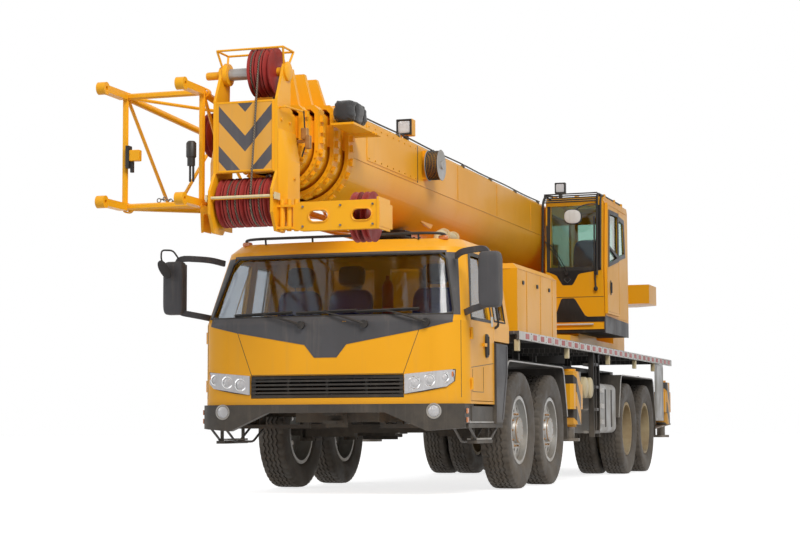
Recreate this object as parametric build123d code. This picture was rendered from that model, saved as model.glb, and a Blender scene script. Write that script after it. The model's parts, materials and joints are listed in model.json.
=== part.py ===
from build123d import *
from math import cos, hypot, radians, sin
import os

os.makedirs("parts", exist_ok=True)

# Four-axle truck crane with a five-section boom, at its real size in millimetres.
# Design frame: +X is the vehicle's left, -Y its front, +Z up; Y = 0 is the first axle, Z = 0 the ground.
# place() moves every piece along Y so that the model's box is centred on the origin.

# --- fits -----------------------------------------------------------------------------------------
FIT = 0.3  # running or seating gap at shafts, pads and hinges
CLEAR = 8.0  # room between moving pieces
CUT = 5.0  # how far a cutter stands past the face that it cuts

# --- wheels ---------------------------------------------------------------------------------------
AXLE_Y = (0.0, 1395.0, 5920.0, 7265.0)
STEERED = 2  # axles, counted from the front
TYRE_R = 613.0
TYRE_W = 310.0
TREAD_W = 250.0
SHOULDER_IN = 6.0
SHOULDER_DROP = 55.0
BEAD_R = 335.0
BEAD_W = 216.0
FLANGE_R = 357.0
FLANGE_T = 14.0
RIM_T = 14.0
TRACK_X = 1220.0  # centre of the outer tyre
TWIN_STEP = 348.0  # from the outer tyre's centre to the inner one's
HUB_R = 140.0
HUB_TAPER = 12.0
DISC_DISH = 22.0
DISC_LAND = 60.0
FRONT_DISC = (40.0, 60.0)  # from the tyre's centre: inner and outer face
FRONT_HUB_END = 128.0
REAR_DISC = (-TWIN_STEP / 2, -TWIN_STEP / 2 + 20)
REAR_DISC_T = 20.0
REAR_HUB_END = 30.0
HAND_HOLES = 10
HAND_HOLE_R = 27.0
HAND_HOLE_PITCH_R = 225.0
HOLE_REACH = 50.0

# --- axles ----------------------------------------------------------------------------------------
SPINDLE_R = 55.0
SPINDLE_END = 20.0  # past the tyre's centre
REAR_SPINDLE_END = -20.0
KINGPIN_X = 1010.0
KINGPIN_R = 38.0
KNUCKLE_REACH = 110.0
KNUCKLE_WALL = 24.0
KNUCKLE_ROOT = 34.0
KNUCKLE_PLATE_Y = 70.0
KNUCKLE_PLATE_T = 16.0
STEER_ARM = 230.0
BEAM_H = 130.0
BEAM_W = 110.0
BEAM_WAIST = 40.0
AXLE_TUBE_R = 75.0
AXLE_TUBE_GAP = 60.0
DIFF_R = 210.0
DIFF_HALF = 95.0
DIFF_NOSE = 130.0
DIFF_NOSE_R = 95.0
PROP_R = 52.0
PROP_GAP = 4.0
AXLE_SHAFT_R = 58.0
SHAFT_LAP = 30.0
SPRING_X = 560.0
SPRING_W = 90.0
SPRING_T = 90.0
SPRING_LEN = 1080.0
SPRING_LIFT = 30.0
SPRING_CAMBER = 60.0
LEAF_SHARES = (1.0, 0.72, 0.46)  # length of each layer of the pack
CLAMP_LIP = 15.0
CLAMP_Y = 70.0
CLAMP_OVER = 10.0
HANGER_IN = 30.0
HANGER_Y = 45.0
HANGER_UP = 180.0
HANGER_DOWN = 20.0

# --- chassis --------------------------------------------------------------------------------------
FRAME_X = 430.0
FRAME_Z0 = 880.0
FRAME_Z1 = 1480.0
RAIL_T = 90.0
RAIL_TOP = 1200.0
RAIL_RAMP = 220.0
CROSS_T = 80.0
FRAME_FRONT = -1900.0
FRAME_STEP = -1060.0  # the frame drops in front of this to pass under the cab
FRAME_LOW_Z0 = 700.0
FRAME_LOW_Z1 = 862.0
FRAME_MID = 1980.0
FRAME_REAR = 9560.0
TAIL_PLATE = 20.0
TAIL_Y = 9700.0
TOW_JAWS = (  # end, root and height of each jaw
    (FRAME_FRONT - 220, FRAME_FRONT, 740.0),
    (TAIL_Y, FRAME_REAR + TAIL_PLATE, 1040.0),
)
TOW_JAW_GAP = 50.0
TOW_JAW_T = 28.0
TOW_JAW_X = 70.0
TOW_PIN_R = 25.0
TOW_PIN_IN = 60.0
TOW_ROOT_X = 110.0
TOW_ROOT_T = 30.0
TOW_ROOT_Z = 90.0

# --- deck -----------------------------------------------------------------------------------------
DECK_X = 1365.0
DECK_TOP = 1650.0
DECK_T = 30.0
DECK_SKIRT = 90.0
SKIRT_T = 25.0
DECK_FRONT = -70.0
DECK_REAR = 9480.0
DECK_GAP_X = 500.0
BEARER_YS = (150.0, 2150.0, 3600.0, 4500.0, 6560.0, 8500.0)
BEARER_W = 60.0

# --- outriggers: name, centre of the box along Y ---------------------------------------------------
OUTRIGGER_BOXES = (("front", 2810.0), ("rear", 9150.0))
BEAM_SIDE = 260.0
BEAM_WALL = 16.0
BEAM_INSET = 60.0
BEAM_END_WALL = 80.0
BOX_WALL = 20.0
BOX_X = 1120.0
BOX_Z = 1000.0  # centre of the beams
JACK_X = 1245.0
JACK_TUBE_R = 85.0
JACK_TUBE_Z0 = 640.0
JACK_TUBE_Z1 = 1330.0
JACK_LEG_R = 62.0
FLOAT_R = 124.0
FLOAT_T = 36.0
FLOAT_Z = 470.0
COVER_OUT = 30.0
COVER_LIP = 20.0
COVER_BEVEL = 40.0

# --- carrier cab ----------------------------------------------------------------------------------
CAB_X = 1355.0
CAB_WALL = 50.0
CAB_FRONT = -2240.0
CAB_CORNER_Y = -1930.0
CAB_BACK = -450.0
CAB_LOW_BACK = -1050.0
CAB_Z0 = 870.0
CAB_SHELF_Z = 1500.0
CAB_WAIST_Z = 1660.0
CAB_ROOF_Z = 2480.0
CAB_STATIONS = (  # height, half width, front, where the corner ends, back
    (CAB_Z0, CAB_X, CAB_FRONT, CAB_CORNER_Y, CAB_BACK),
    (CAB_WAIST_Z, CAB_X, CAB_FRONT, CAB_CORNER_Y, CAB_BACK),
    (2390.0, 1245.0, -1910.0, -1600.0, CAB_BACK),
    (CAB_ROOF_Z, 1165.0, -1810.0, -1500.0, CAB_BACK - 60),
)
KNEE_IN = 330.0
KNEE_BACK = 55.0
BULGE_IN = 90.0
BULGE_BACK = 145.0
CORNER_SHARE = 0.4
BULKHEAD_Y = -2090.0
DOOR_FRONT = -1900.0
DOOR_BACK = -1075.0
DOOR_RAKE = 270.0
DOOR_Z0 = 900.0
DOOR_Z1 = 2385.0
DOOR_GAP = 6.0
DOOR_REACH = 300.0  # how far a door opening's block reaches in and out of the cab's side
DOOR_OUT = 60.0
DOOR_HANDLE = (-1480.0, -1300.0, 1430.0, 1462.0)  # y from and to, z from and to
WINDOW_FRAME = 70.0
SCREEN_X = (1240.0, 1090.0)  # half width below and above
REAR_WINDOW_X = (90.0, 560.0)
GRILLE_SPACE = (780.0, 930.0, 1150.0)  # half width, z from and to
GLASS_T = 8.0
HINGE_R = 14.0
HINGE_H = 70.0
LUG_T = 22.0

# --- inside the cab
FLOOR_T = 90.0
DASH_TOP = 1620.0
DASH_BACK = -1790.0
SHELF_RUN = 250.0
SEAT_X = 700.0
SEAT_HALF = 250.0
SEAT_Y = (-1600.0, -1300.0)
SEAT_TOP = 1330.0
SEAT_BACK = ((-1260.0, 1320.0), (-1150.0, 1320.0), (-1040.0, 2050.0), (-1130.0, 2050.0))
COLUMN_R = 30.0
STEERING_WHEEL = (-1690.0, 1628.0, 225.0, 26.0)  # y, z, radius and thickness
STEERING_TILT = (0.0, 5.0, 4.0)

# --- cab front, mirrors and steps
BUMPER_OUT = 25.0
BUMPER_IN = 60.0
BUMPER_X = 1335.0
BUMPER_END_Z = 640.0
BUMPER_LOW_X = 1000.0
BUMPER_LOW_Z = 615.0
BUMPER_GAP_X = 600.0
BUMPER_MID_Z = 790.0
BUMPER_BACK = -1750.0
BUMPER_CUTS = (500.0, 900.0, 1150.0, 1290.0)  # where the band is parted, each side of the middle
STEP_X = (1120.0, 1260.0)  # inner edge of the upper and lower step
STEP_Z = 640.0
STEP_T = 40.0
STEP_YS = (-2000.0, -740.0, -1720.0, -1130.0)  # upper step from and to, lower step from and to
LOW_STEP_Z = 490.0
STEP_ARM_YS = (-1700.0, -1160.0)
SLATS = 4
SLAT_T = 18.0
LAMP_OUT = 14.0
HEADLAMP = ((790.0, 965.0), (1190.0, 1030.0), (1250.0, 1080.0), (1240.0, 1190.0), (790.0, 1150.0))
MIRROR_EDGE = 1740.0
MIRROR_W = 230.0
MIRROR_T = 90.0
MIRROR_Y = -2150.0
MIRROR_Z = (1800.0, 2300.0)
MIRROR_ROUND = 40.0
MIRROR_ARMS = (  # height, place along the cab, half width of the wall there
    (1880.0, -1900.0, 1300.0),
    (2220.0, -1850.0, 1172.0),
)
ARM_H = 10.0
ARM_FOOT = 25.0
ARM_R = 12.0

# --- engine and propeller shaft
ENGINE_FRONT = 330.0
ENGINE_BACK = 1150.0
ENGINE_HALF = (325.0, 1900.0, 830.0)  # half width, top and underside
ENGINE_FEET = (450.0, 1000.0)
ENGINE_FOOT = 90.0
ENGINE_FOOT_Z = 1000.0
GEARBOX_BACK = 1620.0
SHAFT_Z = 770.0

# --- engine hood and boom rest --------------------------------------------------------------------
HOOD_X = 1270.0
HOOD_FRONT = 250.0
HOOD_BACK = 2100.0
HOOD_TOP = 2400.0
HOOD_WALL = 30.0
HOOD_CHAMFER = 60.0
REST_Y = (-330.0, -110.0)
REST_BEAM = (2500.0, 2660.0)  # z of the portal's beam
REST_PAD_X = 200.0

# --- along the sides ------------------------------------------------------------------------------
GUARD_SPANS = ((-760.0, 2130.0, 700.0), (5230.0, 7960.0, 660.0))  # y from and to, inner x
GUARD_RUN = 170.0
GUARD_TOP = 1324.0
GUARD_FOOT = 760.0
GUARD_T = 12.0
GUARD_X = 1372.0
GUARD_ARM = 300.0
GUARD_ARM_H = 36.0
WING = (  # y, z of the panel between the cab and the front wheel
    (-1045.0, STEP_Z + STEP_T),
    (-790.0, STEP_Z + STEP_T),
    (-700.0, 930.0),
    (-590.0, 1180.0),
    (-590.0, 1480.0),
    (-1045.0, 1480.0),
)
WING_X = 1200.0
FUEL_TANK = (4150.0, 5180.0, 560.0, 1190.0)  # y from and to, z from and to
TANK_IN_X = 760.0
TANK_ROUND = 80.0
TANK_ARM = (900.0, 980.0)
SIDE_X = 1340.0
TOOL_CHEST = (4200.0, 5180.0, 620.0, 1250.0)
AIR_TANK_YS = (3350.0, 3650.0)
AIR_TANK_Z = 1120.0
AIR_TANK_R = 125.0
LADDER_Y = (3800.0, 4130.0)
LADDER_Z0 = 520.0
LADDER_STEPS = 4
LADDER_PITCH = 280.0
LADDER_STILE = 60.0
LADDER_HALF = 12.0
LADDER_TREAD = 140.0
LADDER_T = 30.0

# --- superstructure -------------------------------------------------------------------------------
SLEW_Y = 5300.0
RING_R = 660.0
RING_LAND = 40.0
RING_Z0 = DECK_TOP
RING_H = 110.0
TABLE_Z0 = RING_Z0 + RING_H
TABLE_T = 70.0
TABLE_X = 860.0
TABLE_LIP = 60.0
TABLE_TAPER = 420.0
TABLE_FRONT = 4250.0
TABLE_BACK = 8330.0
CHEEK_X = 446.0
CHEEK_T = 30.0
FOOT_Y = 7000.0
FOOT_Z = 3060.0
FOOT_PIN_R = 70.0
FOOT_BOSS_T = 40.0
LUG_W = 40.0
CAB_BEARER = 90.0
WEIGHT_X = 1300.0
WEIGHT_Z0 = 2440.0
WEIGHT_Z1 = 2720.0
WEIGHT_FRONT = 8020.0
WEIGHT_BACK = 8880.0
WEIGHT_TAPER_X = 340.0
WEIGHT_TAPER_Y = 260.0
WING_FRONT = 7500.0
DRUM_R = 190.0
DRUM_FLANGE_R = 265.0
DRUM_GEAR_R = 110.0
DRUM_W = 560.0
DRUM_Z = 2650.0
DRUM_YS = (7440.0, 8020.0)

# --- crane cab ------------------------------------------------------------------------------------
CC_X0 = 484.0
CC_X1 = 1255.0
CC_FRONT = 4860.0
CC_BACK = 6620.0
CC_Z0 = 2010.0
CC_Z1 = 3670.0
CC_SILL_Z = 2690.0
CC_WALL = 40.0
CC_FRONT_STEPS = (20.0, 90.0, 150.0, 160.0)  # how far back the sill, brow, roof and foot lie
CC_BEVEL = 60.0
CC_EAVE_SHARE = 0.4
CC_CUT_OUT = 20.0  # how far a window's cutter stands out of the wall, and reaches in
CC_CUT_IN = 90.0
CC_FRONT_RUN = 240.0
CC_SCREEN_IN = 30.0
CC_SCREEN_DOWN = 110.0
CC_LOW_PANE = (2420.0, 2240.0, 2400.0, 2640.0)  # heights: left foot, inner foot, right foot, top
CC_LOW_RUN = 120.0
CC_INNER_PANE = (5150.0, 6300.0, 2800.0, 3480.0)  # y from and to, z from and to
CC_REAR_PANE = (2900.0, 3480.0)
CC_ROOF_PANE = (5200.0, 5900.0)
CC_FRAME = 70.0
CC_QUARTER = ((5880.0, 2900.0), (6400.0, 3010.0), (6330.0, 3440.0), (5880.0, 3470.0))
CC_DOORWAY = ((5010.0, 2180.0), (5710.0, 2180.0), (5710.0, 3540.0), (5060.0, 3540.0))
CC_DOOR = ((4960.0, 2120.0), (5760.0, 2120.0), (5760.0, 3590.0), (5020.0, 3590.0), (4940.0, 2700.0))
CC_DOOR_WINDOW = ((5040.0, 2760.0), (5690.0, 2880.0), (5690.0, 3490.0), (5090.0, 3480.0))
CC_DOOR_X0 = CC_X1 + CLEAR
CC_DOOR_T = 38.0
CC_GUARD_XS = (560.0, 855.0, 1150.0)
CC_GUARD_H = 40.0
CC_GUARD_W = 30.0
CC_GUARD_YS = (CC_FRONT + 170, CC_BACK - 300)
CC_SEAT = (5450.0, 5950.0, 2480.0)  # y from and to, top of the cushion
CC_SEAT_X = (620.0, 1080.0)
CC_SEAT_BACK = ((-50.0, 2480.0), (90.0, 2480.0), (180.0, 3160.0), (80.0, 3160.0))  # y past the seat, z
CC_SEAT_BACK_X = (640.0, 1060.0)
CC_CONSOLE = (5300.0, 5850.0, 2640.0, 80.0)  # y from and to, top, width
CC_CONSOLE_X = 1130.0
RAIL_ZS = (2110.0, 3600.0)
RAIL_IN = 40.0
RAIL_END = 80.0
RAIL_HALF = 12.0

# --- boom: sections 1 to 5 --------------------------------------------------------------------------
SEAM_Z = 3170.0  # round below this line, flat above it
BOOM_HALF = 430.0
BOOM_RISE = 440.0
BOOM_STEP = 43.0
BOOM_WALL = 12.0
BOOM_CORNER = 40.0
BOOM_BACK = 7190.0
BOOM_FRONT = -2850.0
TROUGH_PLATES = 6
COLLAR_PITCH = 285.0
COLLAR_LEN = 150.0
COLLAR_LIP = 26.0
COLLAR_LUG_IN = 20.0
COLLAR_LUG_T = 60.0
LUG_TOP = 3900.0
LUG_FOOT = 0.5  # half width of a collar's top lug, as shares of the section's half width
LUG_HEAD = 0.3
TAIL_FIRST = 6900.0
TAIL_PITCH = 250.0
SECTIONS = 5
PAD_LEN = 160.0
PAD_IN = 20.0
PAD_Z = 40.0
PAD_H = 200.0
FOOT_PLATE_LEN = 1150.0
REST_TOP = SEAM_Z - BOOM_HALF - CLEAR
REEL = (-350.0, 3400.0)  # y and z
REEL_R = 150.0
REEL_W = 140.0
REEL_FOOT = 40.0
WORK_LAMP = (300.0, -600.0)  # x and y
LAMP_POST = 80.0
LAMP_HALF = 85.0
LAMP_DEPTH = 119.0
LAMP_STEM = 40.0
BUNDLE = (480.0, 700.0, -3400.0, -2950.0, 3380.0, 3600.0)  # x, y and z from and to
BUNDLE_ROUND = 60.0

# --- boom head ------------------------------------------------------------------------------------
HEAD_X = 300.0
HEAD_PLATE = 24.0
HEAD_FRONT = -4234.0
HEAD_LIP = 110.0
HEAD_GAP = 30.0
HEAD_RISE = 300.0
CHEEK_LAP = 60.0
SHEAVE_R = 215.0
SHEAVE_W = 62.0
SHEAVE_PITCH = 73.0
SHEAVE_GROOVE = 28.0
SHEAVE_RIM = 12.0
LOWER_SHEAVES = 7
LOWER_Y = -4085.0
LOWER_Z = 2600.0
UPPER_Y = -4010.0
UPPER_Z = 3750.0
UPPER_SHEAVES = 3
UPPER_MIDDLE = 110.0
SHAFT_R = 40.0
BOSS_T = 25.0
GUARD_R = 16.0
GUARD_IN = 8.0
ARM = (-4200.0, 500.0, 1190.0, 2322.0, 2570.0)  # face y, x from and to, z from and to
ARM_T = 20.0
ARM_LIP = 50.0
ARM_ROOT = 70.0
ARM_W = 80.0
ARM_PIN_R = 18.0
ARM_PINS = ((0.3, 0.0), (0.75, 30.0))  # share of the way from the head, place behind the face
ARM_TAPER = 20.0
ARM_HINGE_OUT = 40.0
ARM_SLOT_XS = (660.0, 1050.0)
ARM_SLOT_LEN = 80.0
ARM_SLOT_R = 45.0
ARM_SHEAVE = (-3900.0, 2455.0)  # y and z
ARM_SHEAVE_R = 218.0
ARM_SHEAVE_XS = (930.0, 1035.0)
ARM_CHEEK_OUT = 90.0
ARM_SHAFT_R = 30.0

# --- luffing cylinder -----------------------------------------------------------------------------
LUFF_BASE = (5260.0, 1990.0)
LUFF_EYE = (2020.0, 2600.0)
LUG_RUN = 330.0
LUG_END = 75.0
LUFF_LUG_T = 36.0
BARREL_R = 105.0
GLAND_TO_EYE = 297.0
GLAND_LEN = 130.0
GLAND_LIP = 14.0
NECK_R = 60.0
NECK_LEN = 250.0
ROD_START = 270.0
ROD_R = 70.0
EYE_R = 95.0
LUFF_PIN_R = 42.0
EYE_HALF = 70.0

# --- stowed jib -----------------------------------------------------------------------------------
JIB_TIP_Y = -4530.0
JIB_STATIONS = (  # y, outer x, inner x, lower z, upper z
    (-4120.0, -1216.0, -470.0, 2605.0, 3600.0),
    (-1400.0, -1020.0, -590.0, 2850.0, 3400.0),
    (4900.0, -960.0, -640.0, 2880.0, 3300.0),
)
JIB_BAYS = (3, 7)  # bays of lacing between the stations
JIB_ARMS = (-1700.0, 3200.0)  # the two brackets on the boom
JIB_POST = 50.0
CHORD_R = 32.0
LACE_R = 16.0
LACE_SIDES = 6
LACE_IN = 60.0
FRAME_LACE_R = 22.0
FORK_R = 55.0
FORK_GAP = 15.0
FORK_PIN_R = 20.0

MODEL_FRONT = JIB_TIP_Y - FORK_R
MODEL_BACK = TAIL_Y
CENTRE_Y = (MODEL_FRONT + MODEL_BACK) / 2
SIDES = (("left", 1), ("right", -1))


# --- building blocks ------------------------------------------------------------------------------
def box(x0, x1, y0, y1, z0, z1):
    """Box between two corners, given in either order."""
    centre = Pos((x0 + x1) / 2, (y0 + y1) / 2, (z0 + z1) / 2)
    return centre * Box(abs(x1 - x0), abs(y1 - y0), abs(z1 - z0))


def prism_x(outline, x0, x1):
    """Solid along X over a (y, z) outline."""
    low, high = min(x0, x1), max(x0, x1)
    edges = Polyline([(low, y, z) for y, z in outline], close=True).edges()
    return extrude(make_face(edges), amount=high - low, dir=(1, 0, 0))


def prism_y(outline, y0, y1):
    """Solid along Y over an (x, z) outline."""
    edges = Polyline([(x, y0, z) for x, z in outline], close=True).edges()
    return extrude(make_face(edges), amount=y1 - y0, dir=(0, 1, 0))


def prism_z(outline, z0, z1):
    """Solid along Z over an (x, y) outline."""
    edges = Polyline([(x, y, z0) for x, y in outline], close=True).edges()
    return extrude(make_face(edges), amount=z1 - z0, dir=(0, 0, 1))


def bar(start, end, radius):
    """Round bar between two points."""
    line = Vector(*end) - Vector(*start)
    plane = Plane(origin=start, z_dir=line)
    return plane * Cylinder(radius, line.length, align=(Align.CENTER, Align.CENTER, Align.MIN))


def turned_x(outline, y, z):
    """Ring turned about the line along X through (y, z), over an (x, radius) outline."""
    face = make_face(Polyline([(x, r, 0) for x, r in outline], close=True).edges())
    return Pos(0, y, z) * revolve(face, Axis.X)


def joined(*shapes):
    """Union of the shapes; those that do not touch stay separate solids."""
    return Part() + list(shapes)


def both_sides(make):
    """The pieces that make(sign) gives for the left and the right side."""
    return [piece for _, sign in SIDES for piece in make(sign)]


def strut(start, end, radius):
    """Six-sided bar between two points."""
    line = Vector(*end) - Vector(*start)
    plane = Plane(origin=start, z_dir=line)
    return plane * extrude(RegularPolygon(radius, LACE_SIDES), amount=line.length)


def overlapping(first, second):
    """True where the boxes around two shapes share some space."""
    a, b = first.bounding_box(), second.bounding_box()
    return all(
        low < high
        for low, high in (
            (max(a.min.X, b.min.X), min(a.max.X, b.max.X)),
            (max(a.min.Y, b.min.Y), min(a.max.Y, b.max.Y)),
            (max(a.min.Z, b.min.Z), min(a.max.Z, b.max.Z)),
        )
    )


def fitted(*pieces):
    """Separate solids, each cut back where an earlier one already fills the space."""
    kept = []
    for piece in pieces:
        near = [other for other in kept if overlapping(piece, other)]
        left = piece - near if near else piece
        kept.append(max(left.solids(), key=lambda solid: solid.volume))
    return kept


# --- wheels ---------------------------------------------------------------------------------------
def tyre(centre_x, y):
    """Tyre with a flat tread, rounded shoulders and bulged side walls."""
    half, tread, bead = TYRE_W / 2, TREAD_W / 2, BEAD_W / 2
    right = [
        (bead, BEAD_R + FIT),
        (bead, FLANGE_R + 6),
        (half, (FLANGE_R + TYRE_R) / 2),
        (half - SHOULDER_IN, TYRE_R - SHOULDER_DROP),
        (tread, TYRE_R),
    ]
    left = [(-x, r) for x, r in reversed(right)]
    return turned_x([(centre_x + x, r) for x, r in right + left], y, TYRE_R)


def rim_barrel(centre_x, y):
    """Rim barrel with its two flanges."""
    seat = BEAD_W / 2 + FIT
    outer = [
        (seat, BEAD_R),
        (seat, FLANGE_R),
        (seat + FLANGE_T, FLANGE_R),
        (seat + FLANGE_T, BEAD_R - RIM_T),
    ]
    inner = [(-x, r) for x, r in reversed(outer)]
    return turned_x([(centre_x + x, r) for x, r in outer + inner], y, TYRE_R)


def hand_holes(x0, x1, y):
    """Cutters of the ring of hand holes through a wheel disc."""
    cutters = []
    for n in range(HAND_HOLES):
        turn = radians(360 / HAND_HOLES * n)
        hole_y = y + HAND_HOLE_PITCH_R * cos(turn)
        hole_z = TYRE_R + HAND_HOLE_PITCH_R * sin(turn)
        cutters.append(bar((x0, hole_y, hole_z), (x1, hole_y, hole_z), HAND_HOLE_R))
    return cutters


def wheel_disc(sign, y, near, far, hub_end, spindle_end):
    """Dished disc from the barrel to the hub, with its hub and spindle bore."""
    centre = sign * TRACK_X
    disc = [
        (near, BEAD_R - RIM_T + 2),
        (far, BEAD_R - RIM_T + 2),
        (far + DISC_DISH, HUB_R + DISC_LAND),
        (far + DISC_DISH, HUB_R),
        (hub_end, HUB_R - HUB_TAPER),
        (hub_end, 0),
        (spindle_end + FIT, 0),
        (spindle_end + FIT, SPINDLE_R + FIT),
        (near, SPINDLE_R + FIT),
        (near + DISC_DISH, HUB_R + DISC_LAND),
    ]
    return turned_x([(centre + sign * x, r) for x, r in disc], y, TYRE_R)


def front_rim(sign, y):
    """Single steered wheel: shallow disc, holes and a domed hub."""
    near, far = FRONT_DISC
    centre = sign * TRACK_X
    disc = wheel_disc(sign, y, near, far, FRONT_HUB_END, SPINDLE_END)
    holes = hand_holes(centre + sign * (near - HOLE_REACH), centre + sign * (far + HOLE_REACH), y)
    return joined(rim_barrel(centre, y), disc) - holes


def rear_rim(sign, y):
    """Twin wheel: two rims on one pair of discs, deep-dished outside."""
    near, far = REAR_DISC
    centre, inner_centre = sign * TRACK_X, sign * (TRACK_X - TWIN_STEP)
    disc = wheel_disc(sign, y, near - REAR_DISC_T, far, REAR_HUB_END, REAR_SPINDLE_END)
    lip = sign * (BEAD_W / 2 + FLANGE_T)
    collar = turned_x(
        [
            (inner_centre + lip, BEAD_R - RIM_T),
            (inner_centre + lip, BEAD_R),
            (centre - lip, BEAD_R),
            (centre - lip, BEAD_R - RIM_T),
        ],
        y,
        TYRE_R,
    )
    holes = hand_holes(centre + sign * (near - HOLE_REACH), centre + sign * (far + HOLE_REACH), y)
    return joined(rim_barrel(centre, y), rim_barrel(inner_centre, y), collar, disc) - holes


def knuckle(sign, y):
    """Steering knuckle: kingpin barrel, spindle and steering arm."""
    x, reach = sign * KINGPIN_X, KNUCKLE_REACH
    eye_z = BEAM_H / 2 + CLEAR
    barrel = bar((x, y, TYRE_R - reach), (x, y, TYRE_R + reach), KINGPIN_R + KNUCKLE_WALL)
    room = box(x - reach, x + reach, y - reach, y + reach, TYRE_R - eye_z, TYRE_R + eye_z)
    root = x + sign * (KINGPIN_R + KNUCKLE_ROOT)
    spindle = bar((root, y, TYRE_R), (sign * (TRACK_X + SPINDLE_END), y, TYRE_R), SPINDLE_R)
    plate = box(
        root - sign * KNUCKLE_PLATE_T / 2,
        root + sign * KNUCKLE_PLATE_T / 2,
        y - KNUCKLE_PLATE_Y,
        y + KNUCKLE_PLATE_Y,
        TYRE_R - reach,
        TYRE_R + reach,
    )
    arm = box(x - sign * 60, x + sign * 20, y + 50, y + STEER_ARM, TYRE_R - reach + 2, TYRE_R - reach + 26)
    web = box(x, root + sign * 6, y - 50, y + 50, TYRE_R + eye_z, TYRE_R + reach)
    foot = box(x, root + sign * 6, y - 50, y + 60, TYRE_R - reach, TYRE_R - eye_z)
    pin = bar((x, y, TYRE_R - reach + 6), (x, y, TYRE_R + reach - 6), KINGPIN_R - FIT)
    return joined(barrel - room, web, foot, plate, spindle, arm, pin)


def leaf_spring(sign, y, z):
    """Leaf pack with its clamp block and its two hangers on the frame's side; z is the axle's top."""
    x0, x1 = sign * (SPRING_X - SPRING_W / 2), sign * (SPRING_X + SPRING_W / 2)
    base = z + SPRING_LIFT
    pieces = []
    for n, share in enumerate(LEAF_SHARES):
        half = SPRING_LEN / 2 * share
        top = base + SPRING_T * (1 - n / len(LEAF_SHARES))
        leaf = SPRING_T / len(LEAF_SHARES)
        pieces.append(
            prism_x(
                [
                    (y - half, top + SPRING_CAMBER),
                    (y, top),
                    (y + half, top + SPRING_CAMBER),
                    (y + half, top + SPRING_CAMBER - leaf),
                    (y, top - leaf),
                    (y - half, top + SPRING_CAMBER - leaf),
                ],
                x0,
                x1,
            )
        )
    clamp = CLAMP_LIP
    clamp_top = base + SPRING_T + CLAMP_OVER
    pieces.append(box(x0 - sign * clamp, x1 + sign * clamp, y - CLAMP_Y, y + CLAMP_Y, z, clamp_top))
    hanger_x = x1 + sign * 12
    eye_z = base + SPRING_T + SPRING_CAMBER - leaf
    for end in (-1, 1):
        hanger_y = y + end * (SPRING_LEN / 2 - HANGER_IN)
        pieces.append(
            box(
                sign * FRAME_X, hanger_x, hanger_y - HANGER_Y, hanger_y + HANGER_Y,
                eye_z - HANGER_DOWN, FRAME_Z0 + HANGER_UP,
            )
        )
    return joined(*pieces)


def steered_beam(y):
    """Steered axle beam, rounded about its kingpins, with their bores."""
    half, z0, z1 = BEAM_W / 2, TYRE_R - BEAM_H / 2, TYRE_R + BEAM_H / 2
    beam = box(-KINGPIN_X, KINGPIN_X, y - half, y + half, z0, z1)
    ends = both_sides(lambda sign: [bar((sign * KINGPIN_X, y, z0), (sign * KINGPIN_X, y, z1), half)])
    drop = box(-SPRING_X + SPRING_W, SPRING_X - SPRING_W, y - BEAM_W, y + BEAM_W, z0 - 1, z0 + BEAM_WAIST)
    bores = both_sides(
        lambda sign: [bar((sign * KINGPIN_X, y, z0 - 1), (sign * KINGPIN_X, y, z1 + 1), KINGPIN_R)]
    )
    return joined(beam, *ends) - drop - bores


def driven_axle(y):
    """Driven axle: spindles, tube, differential case and its nose."""
    end = TRACK_X + REAR_SPINDLE_END
    tube_end = TRACK_X - TWIN_STEP - BEAD_W / 2 - FLANGE_T - AXLE_TUBE_GAP
    centre = (0, y, TYRE_R)
    return joined(
        bar((-end, y, TYRE_R), (end, y, TYRE_R), SPINDLE_R),
        bar((-tube_end, y, TYRE_R), (tube_end, y, TYRE_R), AXLE_TUBE_R),
        bar((-DIFF_HALF, y, TYRE_R), (DIFF_HALF, y, TYRE_R), DIFF_R),
        bar((0, y - DIFF_R - DIFF_NOSE, TYRE_R), centre, DIFF_NOSE_R),
        bar(centre, (0, y + DIFF_R - SHAFT_LAP, TYRE_R), AXLE_SHAFT_R),
    )


def axles():
    """Two steered beams, two driven axles, their springs and the propeller shafts."""
    pieces = []
    for y in AXLE_Y[:2]:
        pieces.append(steered_beam(y))
        pieces += both_sides(lambda sign: [leaf_spring(sign, y, TYRE_R + BEAM_H / 2)])
    for y in AXLE_Y[2:]:
        pieces.append(driven_axle(y))
        pieces += both_sides(lambda sign: [leaf_spring(sign, y, TYRE_R + AXLE_TUBE_R - 15)])
    first, last = AXLE_Y[2], AXLE_Y[3]
    nose = DIFF_R + DIFF_NOSE
    pieces.append(bar((0, GEARBOX_BACK + PROP_GAP, SHAFT_Z), (0, first - nose, TYRE_R), PROP_R))
    pieces.append(bar((0, first + DIFF_R - SHAFT_LAP, TYRE_R), (0, last - nose, TYRE_R), PROP_R))
    return fitted(*pieces)


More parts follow.
